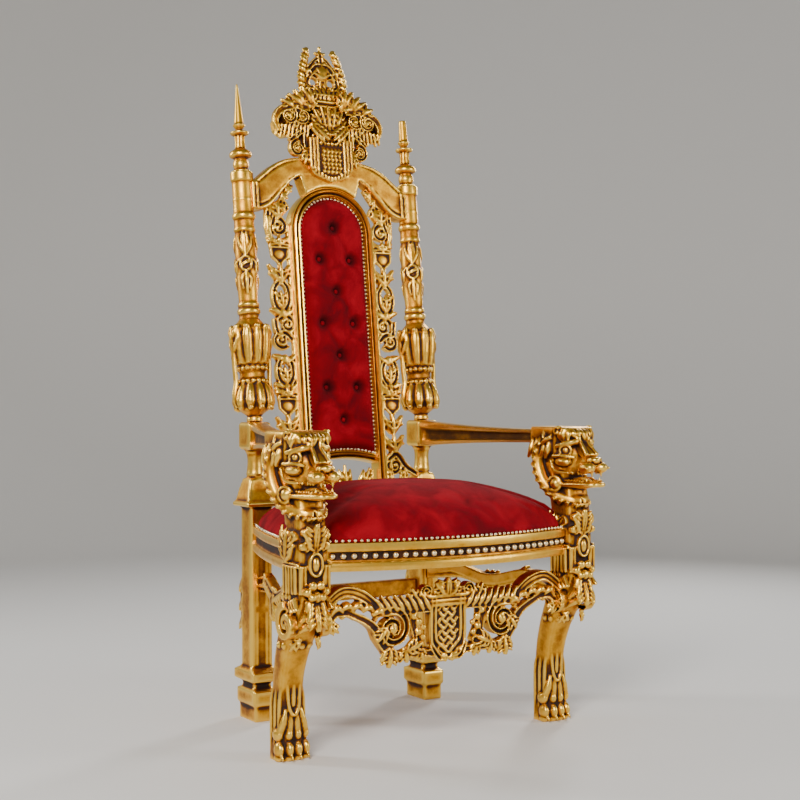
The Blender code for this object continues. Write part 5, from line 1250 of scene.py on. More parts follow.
def small_shield(carving, top, low):
    """A flat shield with a bar across its head, hung between leaves."""
    high, drop = top - low, FRETWORK_HALF_DEPTH
    shape = [(0.12, top), (0.94, top), (0.92, low + high * 0.44), (0.53, low), (0.14, low + high * 0.44)]
    outline = [(fret_spot(u, 0)[0], h) for u, h in shape]
    carving.plate(outline, -drop * 0.55, drop * 0.6)
    rim = [fret_spot(u, h, -drop * 0.5) for u, h in shape[1:] + shape[:1]]
    for a, b in zip(rim[:-1], rim[1:]):
        carving.sweep([a, b], (0.0030, 0.0034), OUT)
    carving.sweep([fret_spot(0.06, top, -drop * 0.3), fret_spot(0.98, top, -drop * 0.3)], (0.0055, 0.0085), OUT, CHANNEL)
    carving.knob(fret_spot(0.53, low + high * 0.56, -drop * 0.5), (0.0150, 0.0030, 0.0150))


def long_oval(carving, middle, half):
    """An open ring with a sprig that stands inside it."""
    ring = []
    for k in range(13):
        angle = math.tau * k / 12
        ring.append(fret_spot(0.53 + 0.36 * math.sin(angle), middle + half * math.cos(angle)))
    carving.sweep(ring, (0.0076, FRETWORK_HALF_DEPTH), OUT, CHANNEL, 3)
    carving.leaf(fret_spot(0.50, middle - half * 0.85), fret_spot(0.56, middle + half * 0.42), OUT, 0.030, 3, 0.008, 0.2)
    carving.knob(fret_spot(0.78, middle + half * 0.2, -0.004), (0.0070,) * 3)


def curled_leaves(carving, height, rise, lift=1):
    """A pair of pointed leaves that part from the middle, with a bud between them."""
    for hand, far in ((-1, 0.05), (1, 1.06)):
        root = fret_spot(0.52, height)
        bend = fret_spot(0.52 + (far - 0.52) * 0.45, height + rise * 0.40)
        tip = fret_spot(far, height + rise * 0.95)
        carving.sweep([root, bend, tip], [(0.0100, 0.0105), (0.0125, 0.0110), (0.0050, 0.0085)], OUT, LEAF)
        vein = fret_spot(0.52 + (far - 0.52) * 0.75, height + rise * 0.45)
        carving.sweep([bend, vein, fret_spot(far, height + rise * 0.45)], [(0.0085, 0.0100), (0.0046, 0.0080)], OUT, LEAF)
    carving.leaf(fret_spot(0.52, height), fret_spot(0.52, height + rise), OUT, 0.032, 2, 0.0090, 0.2)


def scroll_pair(carving, top, low):
    """Two scrolls back to back that wind opposite ways."""
    middle = (top + low) / 2
    side, up = (1, 0, 0), (0, 0, 1)
    reach = (top - low) * 0.27
    carving.scroll(fret_spot(0.34, top - reach), side, up, reach, 1.25, 30, 1, 0.0084, 0.0105)
    carving.scroll(fret_spot(0.66, low + reach), side, up, reach, 1.25, 210, 1, 0.0084, 0.0105)
    line = [fret_spot(0.88, top - reach * 0.3), fret_spot(0.80, middle), fret_spot(0.40, middle - 0.004), fret_spot(0.12, low + reach)]
    carving.sweep(line, [(0.0078, 0.0105), (0.0088, 0.0105)], OUT, CHANNEL)
    carving.sweep([fret_spot(0.20, middle), fret_spot(0.02, middle + 0.012)], [(0.0070, 0.0095), (0.0030, 0.0075)], OUT, LEAF)


def fretwork(name, mirror):
    carving = Carving()
    strip = [fret_spot(0.035, FRETWORK_FOOT + 0.02), fret_spot(0.035, 0.2), fret_spot(0.035, ARCH_CENTRE + 0.02)]
    carving.sweep(strip, (0.0062, 0.0080), OUT, ROUND, 20)
    top = 0.596
    curled_leaves(carving, top - 0.034, 0.044)
    side, up = (1, 0, 0), (0, 0, 1)
    carving.scroll(fret_spot(0.52, 0.535), side, up, 0.027, 1.2, 70, 1, 0.0092, 0.0105)
    carving.sweep([fret_spot(0.95, 0.565), fret_spot(1.00, 0.535), fret_spot(0.86, 0.505)], (0.0082, 0.0100), OUT, LEAF)
    for head in (0.482, 0.064):
        curled_leaves(carving, head + 0.002, 0.026)
        small_shield(carving, head, head - 0.052)
        curled_leaves(carving, head - 0.100, 0.052)
        carving.knob(fret_spot(0.52, head - 0.056, -0.002), (0.008, 0.009, 0.010))
    long_oval(carving, 0.343, 0.040)
    for spot in (0.303, 0.176, 0.098):
        outer = [fret_spot(0.46, spot - 0.014), fret_spot(0.78, spot - 0.002), fret_spot(1.10, spot + 0.004)]
        carving.sweep(outer, [(0.0110, 0.0105), (0.0125, 0.0110), (0.0060, 0.0085)], OUT, LEAF)
        inner = [fret_spot(0.46, spot - 0.014), fret_spot(0.18, spot - 0.004), fret_spot(0.02, spot + 0.006)]
        carving.sweep(inner, [(0.0110, 0.0105), (0.0100, 0.0110), (0.0060, 0.0085)], OUT, LEAF)
        carving.knob(fret_spot(0.52, spot - 0.004, -0.003), (0.0105, 0.0090, 0.0120))
    scroll_pair(carving, 0.290, 0.198)
    long_oval(carving, 0.136, 0.036)
    curled_leaves(carving, 0.030 - 0.120, 0.050)
    low = FRETWORK_FOOT
    carving.scroll(fret_spot(0.50, low + 0.036), side, up, 0.027, 1.3, 100, 1, 0.0090, 0.0105)
    reach = REAR_LEG_X - 0.026
    bracket = [(PANEL_HALF + 0.004, 0, low + 0.050), fret_spot(0.60, low + 0.068), fret_spot(1.05, low + 0.034)]
    carving.sweep([*bracket, (reach, 0, low + 0.008)], [(0.0085, 0.0105), (0.0100, 0.0105), (0.0080, 0.0095)], OUT, CHANNEL)
    carving.leaf(fret_spot(1.00, low + 0.030), fret_spot(0.80, low - 0.038), OUT, 0.026, 3, 0.0075, 0.2)
    carving.leaf(fret_spot(0.20, low + 0.030), fret_spot(0.24, low - 0.028), OUT, 0.022, 3, 0.0075, 0.2)
    spandrel = TOP_RAIL_END - TOP_RAIL_END_HEIGHT
    carving.sweep(
        [fret_spot(0.96, spandrel - 0.062), fret_spot(0.99, spandrel - 0.02), fret_spot(0.94, spandrel + 0.030)],
        [(0.0065, 0.0095), (0.0085, 0.0105)],
        OUT,
        CHANNEL,
    )
    arc = [fret_spot(0.86, spandrel - 0.05), fret_spot(0.50, spandrel + 0.014), fret_spot(-0.22, spandrel + 0.084)]
    carving.sweep(arc, (0.0075, 0.0105), OUT, CHANNEL)
    carving.scroll(fret_spot(0.36, spandrel + 0.016), side, up, 0.020, 1.2, 200, -1, 0.0080, 0.0105)
    for across, height in ((0.62, 0.022), (0.24, 0.052), (0.02, 0.072)):
        carving.knob(fret_spot(across, spandrel + height, -0.004), (0.0080, 0.0080, 0.0080))
        carving.leaf(fret_spot(across, spandrel + height), fret_spot(across - 0.26, spandrel + height - 0.012), OUT, 0.024, 2, 0.0080, 0.2)
    piece = carving.fused(name, MIDDLE_GRAIN, BACK_PLACE, mirror)
    set_down(piece, "gilt_wood", name)


for word in ("left", "right"):
    fretwork("fretwork_" + word, word == "left")

# Carving under the panel
# A low pierced spray of leaves and two scrolls between the legs of the panel frame, on the rear seat rail.
def lower_back_carving():
    carving = Carving()
    half = PANEL_INNER_HALF - 0.004
    low, high = -0.262, -0.112
    carving.plate([(-half, low), (half, low), (half, -0.272), (-half, -0.272)], -0.010, 0.010)
    carving.sweep([(-half, -0.008, low + 0.002), (half, -0.008, low + 0.002)], (0.0045, 0.0060), OUT)
    for hand in (-1, 1):
        side, up = (hand, 0, 0), (0, 0, 1)
        carving.scroll((hand * half * 0.46, 0, low + 0.042), side, up, 0.030, 1.4, 200, 1, 0.0075, 0.0105)
        carving.leaf((hand * 0.012, 0, low), (hand * half * 0.82, 0, high - 0.020), OUT, 0.030, 4, 0.0075, 0.2)
        carving.sweep([(hand * half * 0.94, 0, low), (hand * half * 0.90, 0, high - 0.024)], [(0.009, 0.009), (0.005, 0.008)], OUT, LEAF)
        carving.leaf((hand * half * 0.90, 0, low), (hand * half * 0.62, 0, low + 0.060), OUT, 0.022, 3, 0.0070, 0.2)
    carving.leaf((0, 0, low), (0, 0, high - 0.010), OUT, 0.036, 4, 0.0080, 0.2)
    piece = carving.fused("lower_back_carving", 0.0030, BACK_PLACE)
    set_down(piece, "gilt_wood", "lower_back_carving")


lower_back_carving()

# Crest
# One thick board, carved on its face and sawn through round the crown: a fluted shield planted over the rail,
# a mantle of feathery leaves that droops at both sides, and an open crown with roped arches.
CREST_FRONT = -0.022
CREST_SHIELD_HALF = 0.068
CREST_SHIELD_TOP = 0.790
CREST_SHIELD_LOW = 0.663
CROWN_LOW = 0.892
CREST_TOP = 1.066


def roped(carving, points, radius, strands=16, out=OUT):
    """A twisted rope along a curve."""
    line = path_through(points, 8)
    carving.sweep(line, (radius * 0.72, radius * 0.72), out, ROUND, 1)
    marks = np.linspace(0.02, 0.98, strands) * (len(line) - 1)
    along = unit(np.gradient(line, axis=0))
    facing = np.asarray(out, float)
    for mark in marks:
        k = int(mark)
        spot, way = line[k], along[k]
        side = unit(np.cross(way, facing))
        a = spot + side * radius - way * radius * 0.7
        b = spot - side * radius + way * radius * 0.7
        middle = spot + facing * radius * 0.75
        carving.sweep([a, middle, b], [(radius * 0.30, radius * 0.30), (radius * 0.50, radius * 0.42), (radius * 0.30, radius * 0.30)], facing, ROUND, 3)


def crest_shield(carving):
    half, top, low, front = CREST_SHIELD_HALF, CREST_SHIELD_TOP, CREST_SHIELD_LOW, CREST_FRONT
    left = [(-half, top), (-half * 0.98, low + 0.040), (-half * 0.80, low + 0.022), (-half * 0.42, low + 0.011)]
    outline = [*left, (0.0, low + 0.002), *[(-x, z) for x, z in left[::-1]]]
    carving.plate(outline, front - 0.010, front + 0.006)
    for hand in (-1, 1):
        for share in (0.95, 0.78, 0.62):
            x = hand * half * share
            bend = (x, front - 0.0115, low + 0.020 + 0.022 * share)
            carving.sweep([(x, front - 0.0125, top), bend], (0.0040, 0.0052), OUT, ROUND, 3)
    teeth = 13
    for k in range(teeth):
        share = -1 + 2 * k / (teeth - 1)
        x, z = half * 0.93 * share, low + 0.006 + 0.030 * abs(share) ** 1.4
        a, b = (x, front - 0.0115, z + 0.012), (x * 0.97, front - 0.0105, z)
        carving.sweep([a, b], [(0.0034, 0.0048), (0.0024, 0.0036)], OUT)
    for row in range(7):
        for column in range(5):
            x = (column - 2 + 0.5 * (row % 2)) * 0.0125
            z = low + 0.030 + row * 0.0115
            if abs(x) < half * 0.50 and z < top - 0.028:
                carving.leaf((x, front - 0.0085, z), (x + 0.003 * (-1) ** row, front - 0.0085, z + 0.010), OUT, 0.009, 1, 0.0030, 0.2)
    for k in range(6):
        carving.knob((-0.030 + 0.012 * k, front - 0.0120, top - 0.014), (0.0046, 0.0046, 0.0050), 0.0, 6, 10)
    for hand in (-1, 1):
        root = (hand * 0.058, front - 0.008, top + 0.040)
        tip = (hand * 0.006, front - 0.014, top - 0.006)
        carving.leaf(root, tip, OUT, 0.032, 4, 0.0070, 0.3)


MANTLE_LEAVES = (
    ((0.044, 0.872), ((0.060, 0.934), (0.082, 0.934))),
    ((0.066, 0.868), ((0.104, 0.922), (0.124, 0.908))),
    ((0.094, 0.862), ((0.146, 0.890),)),
)


def mantle(carving, hand):
    """Feathery leaves laid one over another, that spring from the crown and droop beside the shield."""
    front = CREST_FRONT
    for root, tips in MANTLE_LEAVES:
        for tip in tips:
            start = (hand * root[0], front + 0.004, root[1])
            carving.leaf(start, (hand * tip[0], front - 0.002, tip[1]), OUT, 0.036, 3, 0.0105, 0.25)
            fold = (hand * (root[0] + tip[0]) / 2, front - 0.010, (root[1] + tip[1]) / 2 + 0.004)
            carving.sweep([start, fold, (hand * tip[0], front - 0.004, tip[1])], [(0.0080, 0.0070), (0.0110, 0.0085), (0.0050, 0.0055)], OUT, LEAF)
    roll = [(hand * x, front - 0.004, z) for x, z in ((0.056, 0.872), (0.104, 0.876), (0.148, 0.862), (0.166, 0.832), (0.158, 0.800))]
    carving.sweep(roll, [(0.0080, 0.0090), (0.0105, 0.0110), (0.0095, 0.0100), (0.0050, 0.0060)], OUT, BAND)
    for k in range(9):
        share = k / 8
        root = (hand * (0.064 + 0.094 * share), front - 0.002, 0.826 - 0.006 * share)
        tip = (hand * (0.066 + 0.100 * share), front - 0.001, 0.794 - 0.006 * (k % 2) - 0.006 * share)
        carving.sweep([root, tip], [(0.0064, 0.0100), (0.0030, 0.0055)], OUT, LEAF)
    carving.scroll((hand * 0.126, front - 0.008, 0.846), (hand, 0, 0), (0, 0, 1), 0.0245, 1.35, 120, 1, 0.0060, 0.0085)
    carving.scroll((hand * 0.082, front - 0.008, 0.848), (hand, 0, 0), (0, 0, 1), 0.0205, 1.3, -40, -1, 0.0056, 0.0085)
    for k in range(9):
        angle = math.tau * k / 9
        spot = (hand * (0.104 + 0.006 * math.cos(angle)), front - 0.009, 0.824 + 0.007 * math.sin(angle))
        carving.knob(spot, (0.0042, 0.0050, 0.0042), 0.0, 6, 9)
    carving.scroll((hand * 0.0985, front + 0.004, 0.757), (hand, 0, 0), (0, 0, 1), 0.0245, 1.35, 100, -1, 0.0066, 0.0120)
    link = [(hand * 0.074, front + 0.004, 0.812), (hand * 0.094, front, 0.800), (hand * 0.122, front + 0.004, 0.778)]
    carving.sweep(link, [(0.0075, 0.0115), (0.0060, 0.0105)], OUT, CHANNEL)
    carving.leaf((hand * 0.072, front, 0.760), (hand * 0.082, front - 0.002, 0.712), OUT, 0.022, 3, 0.0070, 0.2)
    carving.sweep([(hand * 0.074, front + 0.002, 0.800), (hand * 0.070, front + 0.002, 0.720)], [(0.0085, 0.0090), (0.0050, 0.0070)], OUT, CHANNEL)


def crown(carving):
    """A band with a moulded edge, two outer roped arches, two inner ones, and a small cross on top."""
    low, top = CROWN_LOW, CREST_TOP
    half = 0.037
    outline = [(-half, low - 0.012), (half, low - 0.012), (half * 1.06, low + 0.032), (-half * 1.06, low + 0.032)]
    carving.plate(outline, -0.014, 0.012)
    for z, height in ((low - 0.004, 0.0050), (low + 0.010, 0.0040), (low + 0.030, 0.0046)):
        carving.sweep([(-half, -0.014, z), (half, -0.014, z)], (height, 0.0050), OUT)
    for k in range(5):
        carving.knob(((k - 2) * 0.0150, -0.0160, low + 0.0205), (0.0052, 0.0040, 0.0052), 0.0, 6, 10)
    for hand in (-1, 1):
        outer = [
            (hand * half, -0.002, low + 0.020),
            (hand * 0.060, -0.004, low + 0.034),
            (hand * 0.0665, -0.004, low + 0.072),
            (hand * 0.0560, -0.002, low + 0.118),
            (hand * 0.0430, 0.0, top - 0.018),
        ]
        roped(carving, outer, 0.0120, 13)
        carving.knob((hand * 0.0425, 0.0, top - 0.014), (0.0090, 0.0090, 0.0095))
        inner = [(0.0, -0.003, top - 0.060), (hand * 0.020, -0.004, top - 0.064), (hand * 0.046, -0.003, top - 0.092)]
        carving.sweep(inner, (0.0095, 0.0100), OUT, CHANNEL)
        arch = [(hand * 0.004, 0.0, top - 0.030), (hand * 0.024, 0.0, top - 0.046), (hand * 0.050, 0.0, top - 0.080)]
        carving.sweep(arch, (0.0052, 0.0080), OUT, CHANNEL)
        brace = [(hand * 0.012, -0.003, low + 0.044), (hand * 0.034, -0.004, low + 0.038), (hand * 0.058, -0.003, low + 0.052)]
        carving.sweep(brace, (0.0095, 0.0100), OUT, CHANNEL)
        horn = [(hand * 0.030, -0.002, low + 0.090), (hand * 0.044, -0.004, low + 0.100), (hand * 0.060, -0.002, low + 0.092)]
        carving.sweep(horn, [(0.0050, 0.0080), (0.0085, 0.0100), (0.0070, 0.0085)], OUT, LEAF)
        link = [(hand * 0.046, 0.0, low - 0.020), (hand * 0.062, 0.0, low - 0.004), (hand * 0.074, 0.0, low + 0.010)]
        carving.sweep(link, (0.0075, 0.0105), OUT, LEAF)
        carving.leaf((hand * 0.014, -0.008, low + 0.034), (hand * 0.034, -0.010, low + 0.058), OUT, 0.016, 2, 0.0050, 0.2)
    body = [(-0.036, low + 0.006), (0.036, low + 0.006), (0.052, low + 0.044), (0.030, low + 0.060), (-0.030, low + 0.060), (-0.052, low + 0.044)]
    carving.plate(body, -0.006, 0.008)
    for k in range(7):
        share = (k - 3) / 3
        ridge = [(share * 0.032, -0.008, low + 0.010), (share * 0.040, -0.012, low + 0.030), (share * 0.050, -0.007, low + 0.050)]
        carving.sweep(ridge, [(0.0048, 0.0070), (0.0062, 0.0085), (0.0040, 0.0060)], OUT, LEAF)
    for hand in (-1, 1):
        eye = []
        for k in range(13):
            angle = math.tau * k / 12
            eye.append((hand * 0.0275 + 0.0195 * math.cos(angle), -0.001, low + 0.066 + 0.0205 * math.sin(angle)))
        carving.sweep(eye, (0.0080, 0.0090), OUT, CHANNEL, 3)
    carving.knob((0.0, -0.006, low + 0.092), (0.0200, 0.0120, 0.0240))
    for k in range(5):
        angle = math.radians(90 + (k - 2) * 34)
        tip = (0.030 * math.cos(angle), -0.008, low + 0.082 + 0.034 * math.sin(angle))
        carving.sweep([(0.0, -0.012, low + 0.078), tip], [(0.0058, 0.0070), (0.0034, 0.0055)], OUT, LEAF)
    carving.sweep([(0, -0.002, low + 0.02), (0, -0.002, low + 0.10), (0, 0, top - 0.020)], [(0.0110, 0.0105), (0.0080, 0.0090)], OUT, CHANNEL)
    carving.sweep([(-0.0125, 0, top - 0.020), (0.0125, 0, top - 0.020)], (0.0046, 0.0052), OUT)
    carving.sweep([(0, 0, top - 0.045), (0, 0, top)], [(0.0056, 0.0056), (0.0040, 0.0044)], OUT)
    for x, z in ((-0.0135, top - 0.020), (0.0135, top - 0.020), (0, top - 0.003)):
        carving.knob((x, 0, z), (0.0056,) * 3, 0.0, 6, 10)


def plume(carving):
    """The spray that stands between the shield and the crown's band."""
    front = CREST_FRONT
    for x, z, width in ((0.0, 0.884, 0.034), (0.024, 0.884, 0.028), (0.046, 0.872, 0.028), (0.056, 0.846, 0.026), (0.052, 0.820, 0.024)):
        for hand in (-1, 1) if x else (1,):
            root = (hand * x * 0.25, front + 0.002, 0.796 + 0.10 * x)
            carving.leaf(root, (hand * x, front + 0.001, z), OUT, width, 4, 0.0100, 0.3)
    carving.knob((0.0, front - 0.010, 0.804), (0.0110, 0.0080, 0.0110))


def crest():
    carving = Carving()
    plume(carving)
    body = [
        (0.052, 0.719),
        (0.082, 0.745),
        (0.094, 0.800),
        (0.134, 0.790),
        (0.158, 0.806),
        (0.162, 0.832),
        (0.140, 0.868),
        (0.100, 0.892),
        (0.052, 0.902),
    ]
    outline = [*body, *[(-x, z) for x, z in body[::-1]]]
    carving.plate(outline, -0.014, 0.016)
    carving.plate([(-0.055, 0.737), (0.055, 0.737), (0.055, 0.80), (-0.055, 0.80)], -0.030, 0.016)
    crest_shield(carving)
    for hand in (-1, 1):
        mantle(carving, hand)
    crown(carving)
    piece = carving.fused("crest", FINE_GRAIN, BACK_PLACE)
    set_down(piece, "gilt_wood", "crest")


crest()

# Lion legs
# Each front leg is one carving. A roaring lion's head carries the arm, leaves and a jewel cover the knee, a big
# volute turns below the seat, and a plain shank with a hollowed front stands on a paw with four toes.
KNEE = 0.0425
SHANK = 0.031
SET_BACK = 0.095


def limb(carving, stations, sides=32, power=4.0):
    """A rounded square body through (x, y, z, half width, half depth) stations."""
    angle = np.linspace(0, math.tau, sides, endpoint=False)
    c, s = np.cos(angle), np.sin(angle)
    reach = (np.abs(c) ** power + np.abs(s) ** power) ** (-1 / power)
    line = path_through([row[:3] for row in stations], 6)
    size = path_through([(row[3], row[4], 0.0) for row in stations], 6)
    rings = []
    for spot, (half_x, half_y, _) in zip(line, size):
        rings.append(np.stack([spot[0] + half_x * reach * c, spot[1] + half_y * reach * s, spot[2] + 0 * c], axis=1))
    carving.rings(np.array(rings))


def paw(carving, x, y):
    """Four toes with claws under knuckles, the heel, and the rimmed hollow in the front of the shank."""
    front = y + SHANK - 0.078
    carving.knob((x, y + 0.004, 0.032), (0.036, 0.032, 0.032), 0.0, 12, 20)
    limb(carving, [(x, y + 0.002, 0.0, 0.040, 0.034), (x, y + 0.002, 0.030, 0.036, 0.033), (x, y, 0.085, 0.031, 0.031)], 24, 3)
    for k in range(4):
        share = (k - 1.5) / 1.5
        toe = x + share * 0.0345
        reach = front + 0.014 + abs(share) * 0.010
        carving.knob((toe, reach + 0.008, 0.062), (0.0108, 0.0190, 0.0155), 0.0, 8, 12)
        carving.knob((toe, reach + 0.002, 0.027), (0.0108, 0.0185, 0.0190), 0.0, 8, 12)
        carving.knob((toe, reach + 0.004, 0.008), (0.0105, 0.0150, 0.0090), 0.0, 6, 12)
        claw = [(toe, reach - 0.010, 0.0165), (toe, reach - 0.0185, 0.011), (toe, reach - 0.0205, 0.0030)]
        carving.sweep(claw, [(0.0040, 0.0044), (0.0032, 0.0034), (0.0012, 0.0014)], (0, -0.5, 1))
        tendon = [(toe, reach + 0.002, 0.060), (x + share * 0.0265, y - SHANK * 0.96, 0.092), (x + share * 0.0200, y - SHANK * 0.97, 0.122)]
        carving.sweep(tendon, [(0.0105, 0.0090), (0.0088, 0.0070), (0.0040, 0.0020)], (0, -1, 0.4))
    for hand in (-1, 1):
        for dy, half in ((-0.020, 0.0052), (0.000, 0.0058), (0.020, 0.0052)):
            side = x + hand * SHANK * 1.0
            ridge = [(side, y + dy, 0.008), (side + hand * 0.001, y + dy, 0.085), (side, y + dy, 0.145), (side - hand * 0.005, y + dy * 0.8 - 0.004, 0.185)]
            carving.sweep(ridge, [(half, 0.0056), (half, 0.0052), (half, 0.0046), (half * 0.5, 0.0012)], (hand, 0, 0))
        heel = [(x + hand * 0.016, y + SHANK, 0.002), (x + hand * 0.016, y + SHANK + 0.001, 0.09), (x + hand * 0.014, y + SHANK - 0.001, 0.19)]
        carving.sweep(heel, [(0.0060, 0.0050), (0.0060, 0.0050), (0.0030, 0.0012)], (0, 1, 0))
    face = y - SHANK - 0.0005
    rim = [(x - 0.0155, face + 0.002, 0.235), (x - 0.0150, face, 0.150), (x - 0.0105, face - 0.001, 0.120), (x, face - 0.0015, 0.108)]
    rim += [(x + 0.0105, face - 0.001, 0.120), (x + 0.0150, face, 0.150), (x + 0.0155, face + 0.002, 0.235)]
    carving.sweep(rim, [(0.0030, 0.0010), (0.0042, 0.0054), (0.0042, 0.0056), (0.0042, 0.0054), (0.0030, 0.0010)], (0, -1, 0))
    carving.sweep([(x, face + 0.001, 0.215), (x, face + 0.0005, 0.150), (x, face, 0.128)], [(0.0030, 0.0030), (0.0055, 0.0042), (0.0030, 0.0030)], (0, -1, 0))


def knee_leaves(carving, x, y):
    """From the seat down: a spray of acanthus, a rimmed jewel between reeds, bosses, a great volute and beads."""
    front = y - KNEE
    up = (0, 0, 1)
    for hand in (-1, 1):
        side = x + hand * KNEE
        outward = (hand, 0, 0)
        for dy in (-0.028, -0.014, 0.0, 0.014, 0.028):
            carving.sweep([(side - hand * 0.001, y + dy, 0.404), (side, y + dy, 0.466)], (0.0056, 0.0050), outward)
        carving.sweep([(side, y - 0.040, 0.470), (side, y + 0.036, 0.470)], (0.0050, 0.0056), outward, CHANNEL)
        carving.leaf((side, y + 0.010, 0.474), (side - hand * 0.004, y + 0.004, 0.548), outward, 0.052, 4, 0.0085, 0.3)
        carving.scroll((side - hand * 0.002, y - 0.022, 0.534), (0, -1, 0), up, 0.0150, 1.25, 240, -1, 0.0052, 0.0085)
        carving.scroll((side - hand * 0.002, y + 0.022, 0.506), (0, 1, 0), up, 0.0130, 1.2, 240, -1, 0.0048, 0.0080)
        carving.leaf((side, y + 0.030, 0.486), (side - hand * 0.006, y + 0.034, 0.560), outward, 0.024, 3, 0.0070, 0.3)
        carving.scroll((side + hand * 0.003, y + 0.002, 0.334), (0, -1, 0), up, 0.0430, 1.45, 95, 1, 0.0092, 0.0125)
        carving.leaf((side, y + 0.020, 0.352), (side + hand * 0.004, y - 0.030, 0.318), outward, 0.026, 3, 0.0080, 0.2)
        for k in range(4):
            root = (side - hand * 0.002, y - 0.020 + 0.010 * k, 0.392 - 0.004 * k)
            tip = (side + hand * 0.004, y - 0.044 + 0.014 * k, 0.368 - 0.004 * k)
            carving.sweep([root, tip], [(0.0080, 0.0080), (0.0040, 0.0060)], outward, LEAF)
        for k in range(3):
            carving.knob((side - hand * 0.002, y + 0.034 - 0.018 * k, 0.395), (0.0070, 0.0078, 0.0078), 0.0, 6, 10)
        carving.scroll((x + hand * 0.0245, front - 0.002, 0.543), (hand, 0, 0), up, 0.0125, 1.2, 250, -1, 0.0046, 0.0085)
        carving.scroll((x + hand * 0.0300, front - 0.001, 0.512), (hand, 0, 0), up, 0.0110, 1.2, 240, -1, 0.0044, 0.0080)
        for dx in (0.026, 0.036):
            carving.sweep([(x + hand * dx, front, 0.404), (x + hand * dx, front - 0.001, 0.470)], (0.0050, 0.0052), (0, -1, 0))
        cluster = [(x + hand * 0.010, front - 0.010, 0.424), (x + hand * 0.024, front - 0.008, 0.410), (x + hand * 0.013, front - 0.014, 0.398)]
        for k, spot in enumerate(cluster):
            carving.knob(spot, (0.0105, 0.0105, 0.0110 - 0.001 * k), 20.0 * hand, 7, 12)
        for k in range(3):
            root = (x + hand * 0.006, front + 0.006, 0.386 - 0.026 * k)
            tip = (x + hand * (0.026 + 0.004 * k), front - 0.004 + 0.018 * k, 0.366 - 0.027 * k)
            carving.sweep([root, ((root[0] + tip[0]) / 2, root[1] - 0.009, root[2] - 0.003), tip], [(0.0085, 0.0090), (0.0100, 0.0095), (0.0042, 0.0060)], (0, -1, 0), LEAF)
        carving.leaf((x + hand * 0.020, y - SHANK * 0.4, 0.300), (x + hand * 0.034, y + 0.012, 0.268), (hand, -0.6, 0), 0.022, 2, 0.0070, 0.2)
    ring = []
    for k in range(13):
        angle = math.tau * k / 12
        ring.append((x + 0.0165 * math.sin(angle), front - 0.002, 0.4715 + 0.0260 * math.cos(angle)))
    carving.sweep(ring, (0.0040, 0.0105), (0, -1, 0), ROUND, 3)
    carving.knob((x, front - 0.003, 0.4715), (0.0100, 0.0110, 0.0180), 0.0, 10, 16)
    carving.leaf((x, front + 0.002, 0.498), (x, front - 0.004, 0.566), (0, -1, 0), 0.050, 5, 0.0085, 0.45)
    carving.leaf((x, front + 0.004, 0.392), (x, front - 0.012, 0.318), (0, -1, 0.3), 0.046, 5, 0.0105, 0.3)
    carving.knob((x, front - 0.010, 0.398), (0.0120, 0.0110, 0.0130), 0.0, 8, 12)
    for k in range(9):
        angle = math.radians(-90 + (k - 4) * 34)
        spot = (x + 0.037 * math.cos(angle), y + 0.058 + 0.037 * math.sin(angle), 0.276)
        carving.knob(spot, (0.0078, 0.0078, 0.0082), 0.0, 6, 10)


def mane(carving, x, y, hand):
    """A thick collar of locks from the ear, round the cheek and under the chin."""
    half, top = 0.059, HEAD_TOP
    line = path_through(
        [
            (x + hand * half * 0.80, y + 0.040, top - 0.028),
            (x + hand * half * 1.00, y + 0.062, top - 0.080),
            (x + hand * half * 0.98, y + 0.050, top - 0.132),
            (x + hand * half * 0.74, y + 0.014, top - 0.174),
            (x + hand * half * 0.34, y - 0.026, top - 0.189),
            (x, y - 0.036, top - 0.192),
        ],
        6,
    )
    middle = np.array((x, y + 0.020, top - 0.095))
    carving.sweep(line, [(0.013, 0.015), (0.0145, 0.017), (0.0145, 0.016), (0.0135, 0.014)], unit(line - middle), ROUND, 1)
    along = unit(np.gradient(line, axis=0))
    for mark in np.linspace(0.5, len(line) - 2.5, 15):
        k = int(mark)
        spot, way = line[k], along[k]
        face = unit(spot - middle)
        across = unit(np.cross(way, face))
        if across[1] > 0:
            across = -across
        base = spot + face * 0.0135
        lock = [base - across * 0.013 - way * 0.004, base + across * 0.001 + face * 0.003, base + across * 0.0145 + way * 0.009]
        carving.sweep(lock, [(0.0048, 0.0040), (0.0054, 0.0046), (0.0026, 0.0030)], face, LEAF, 4)


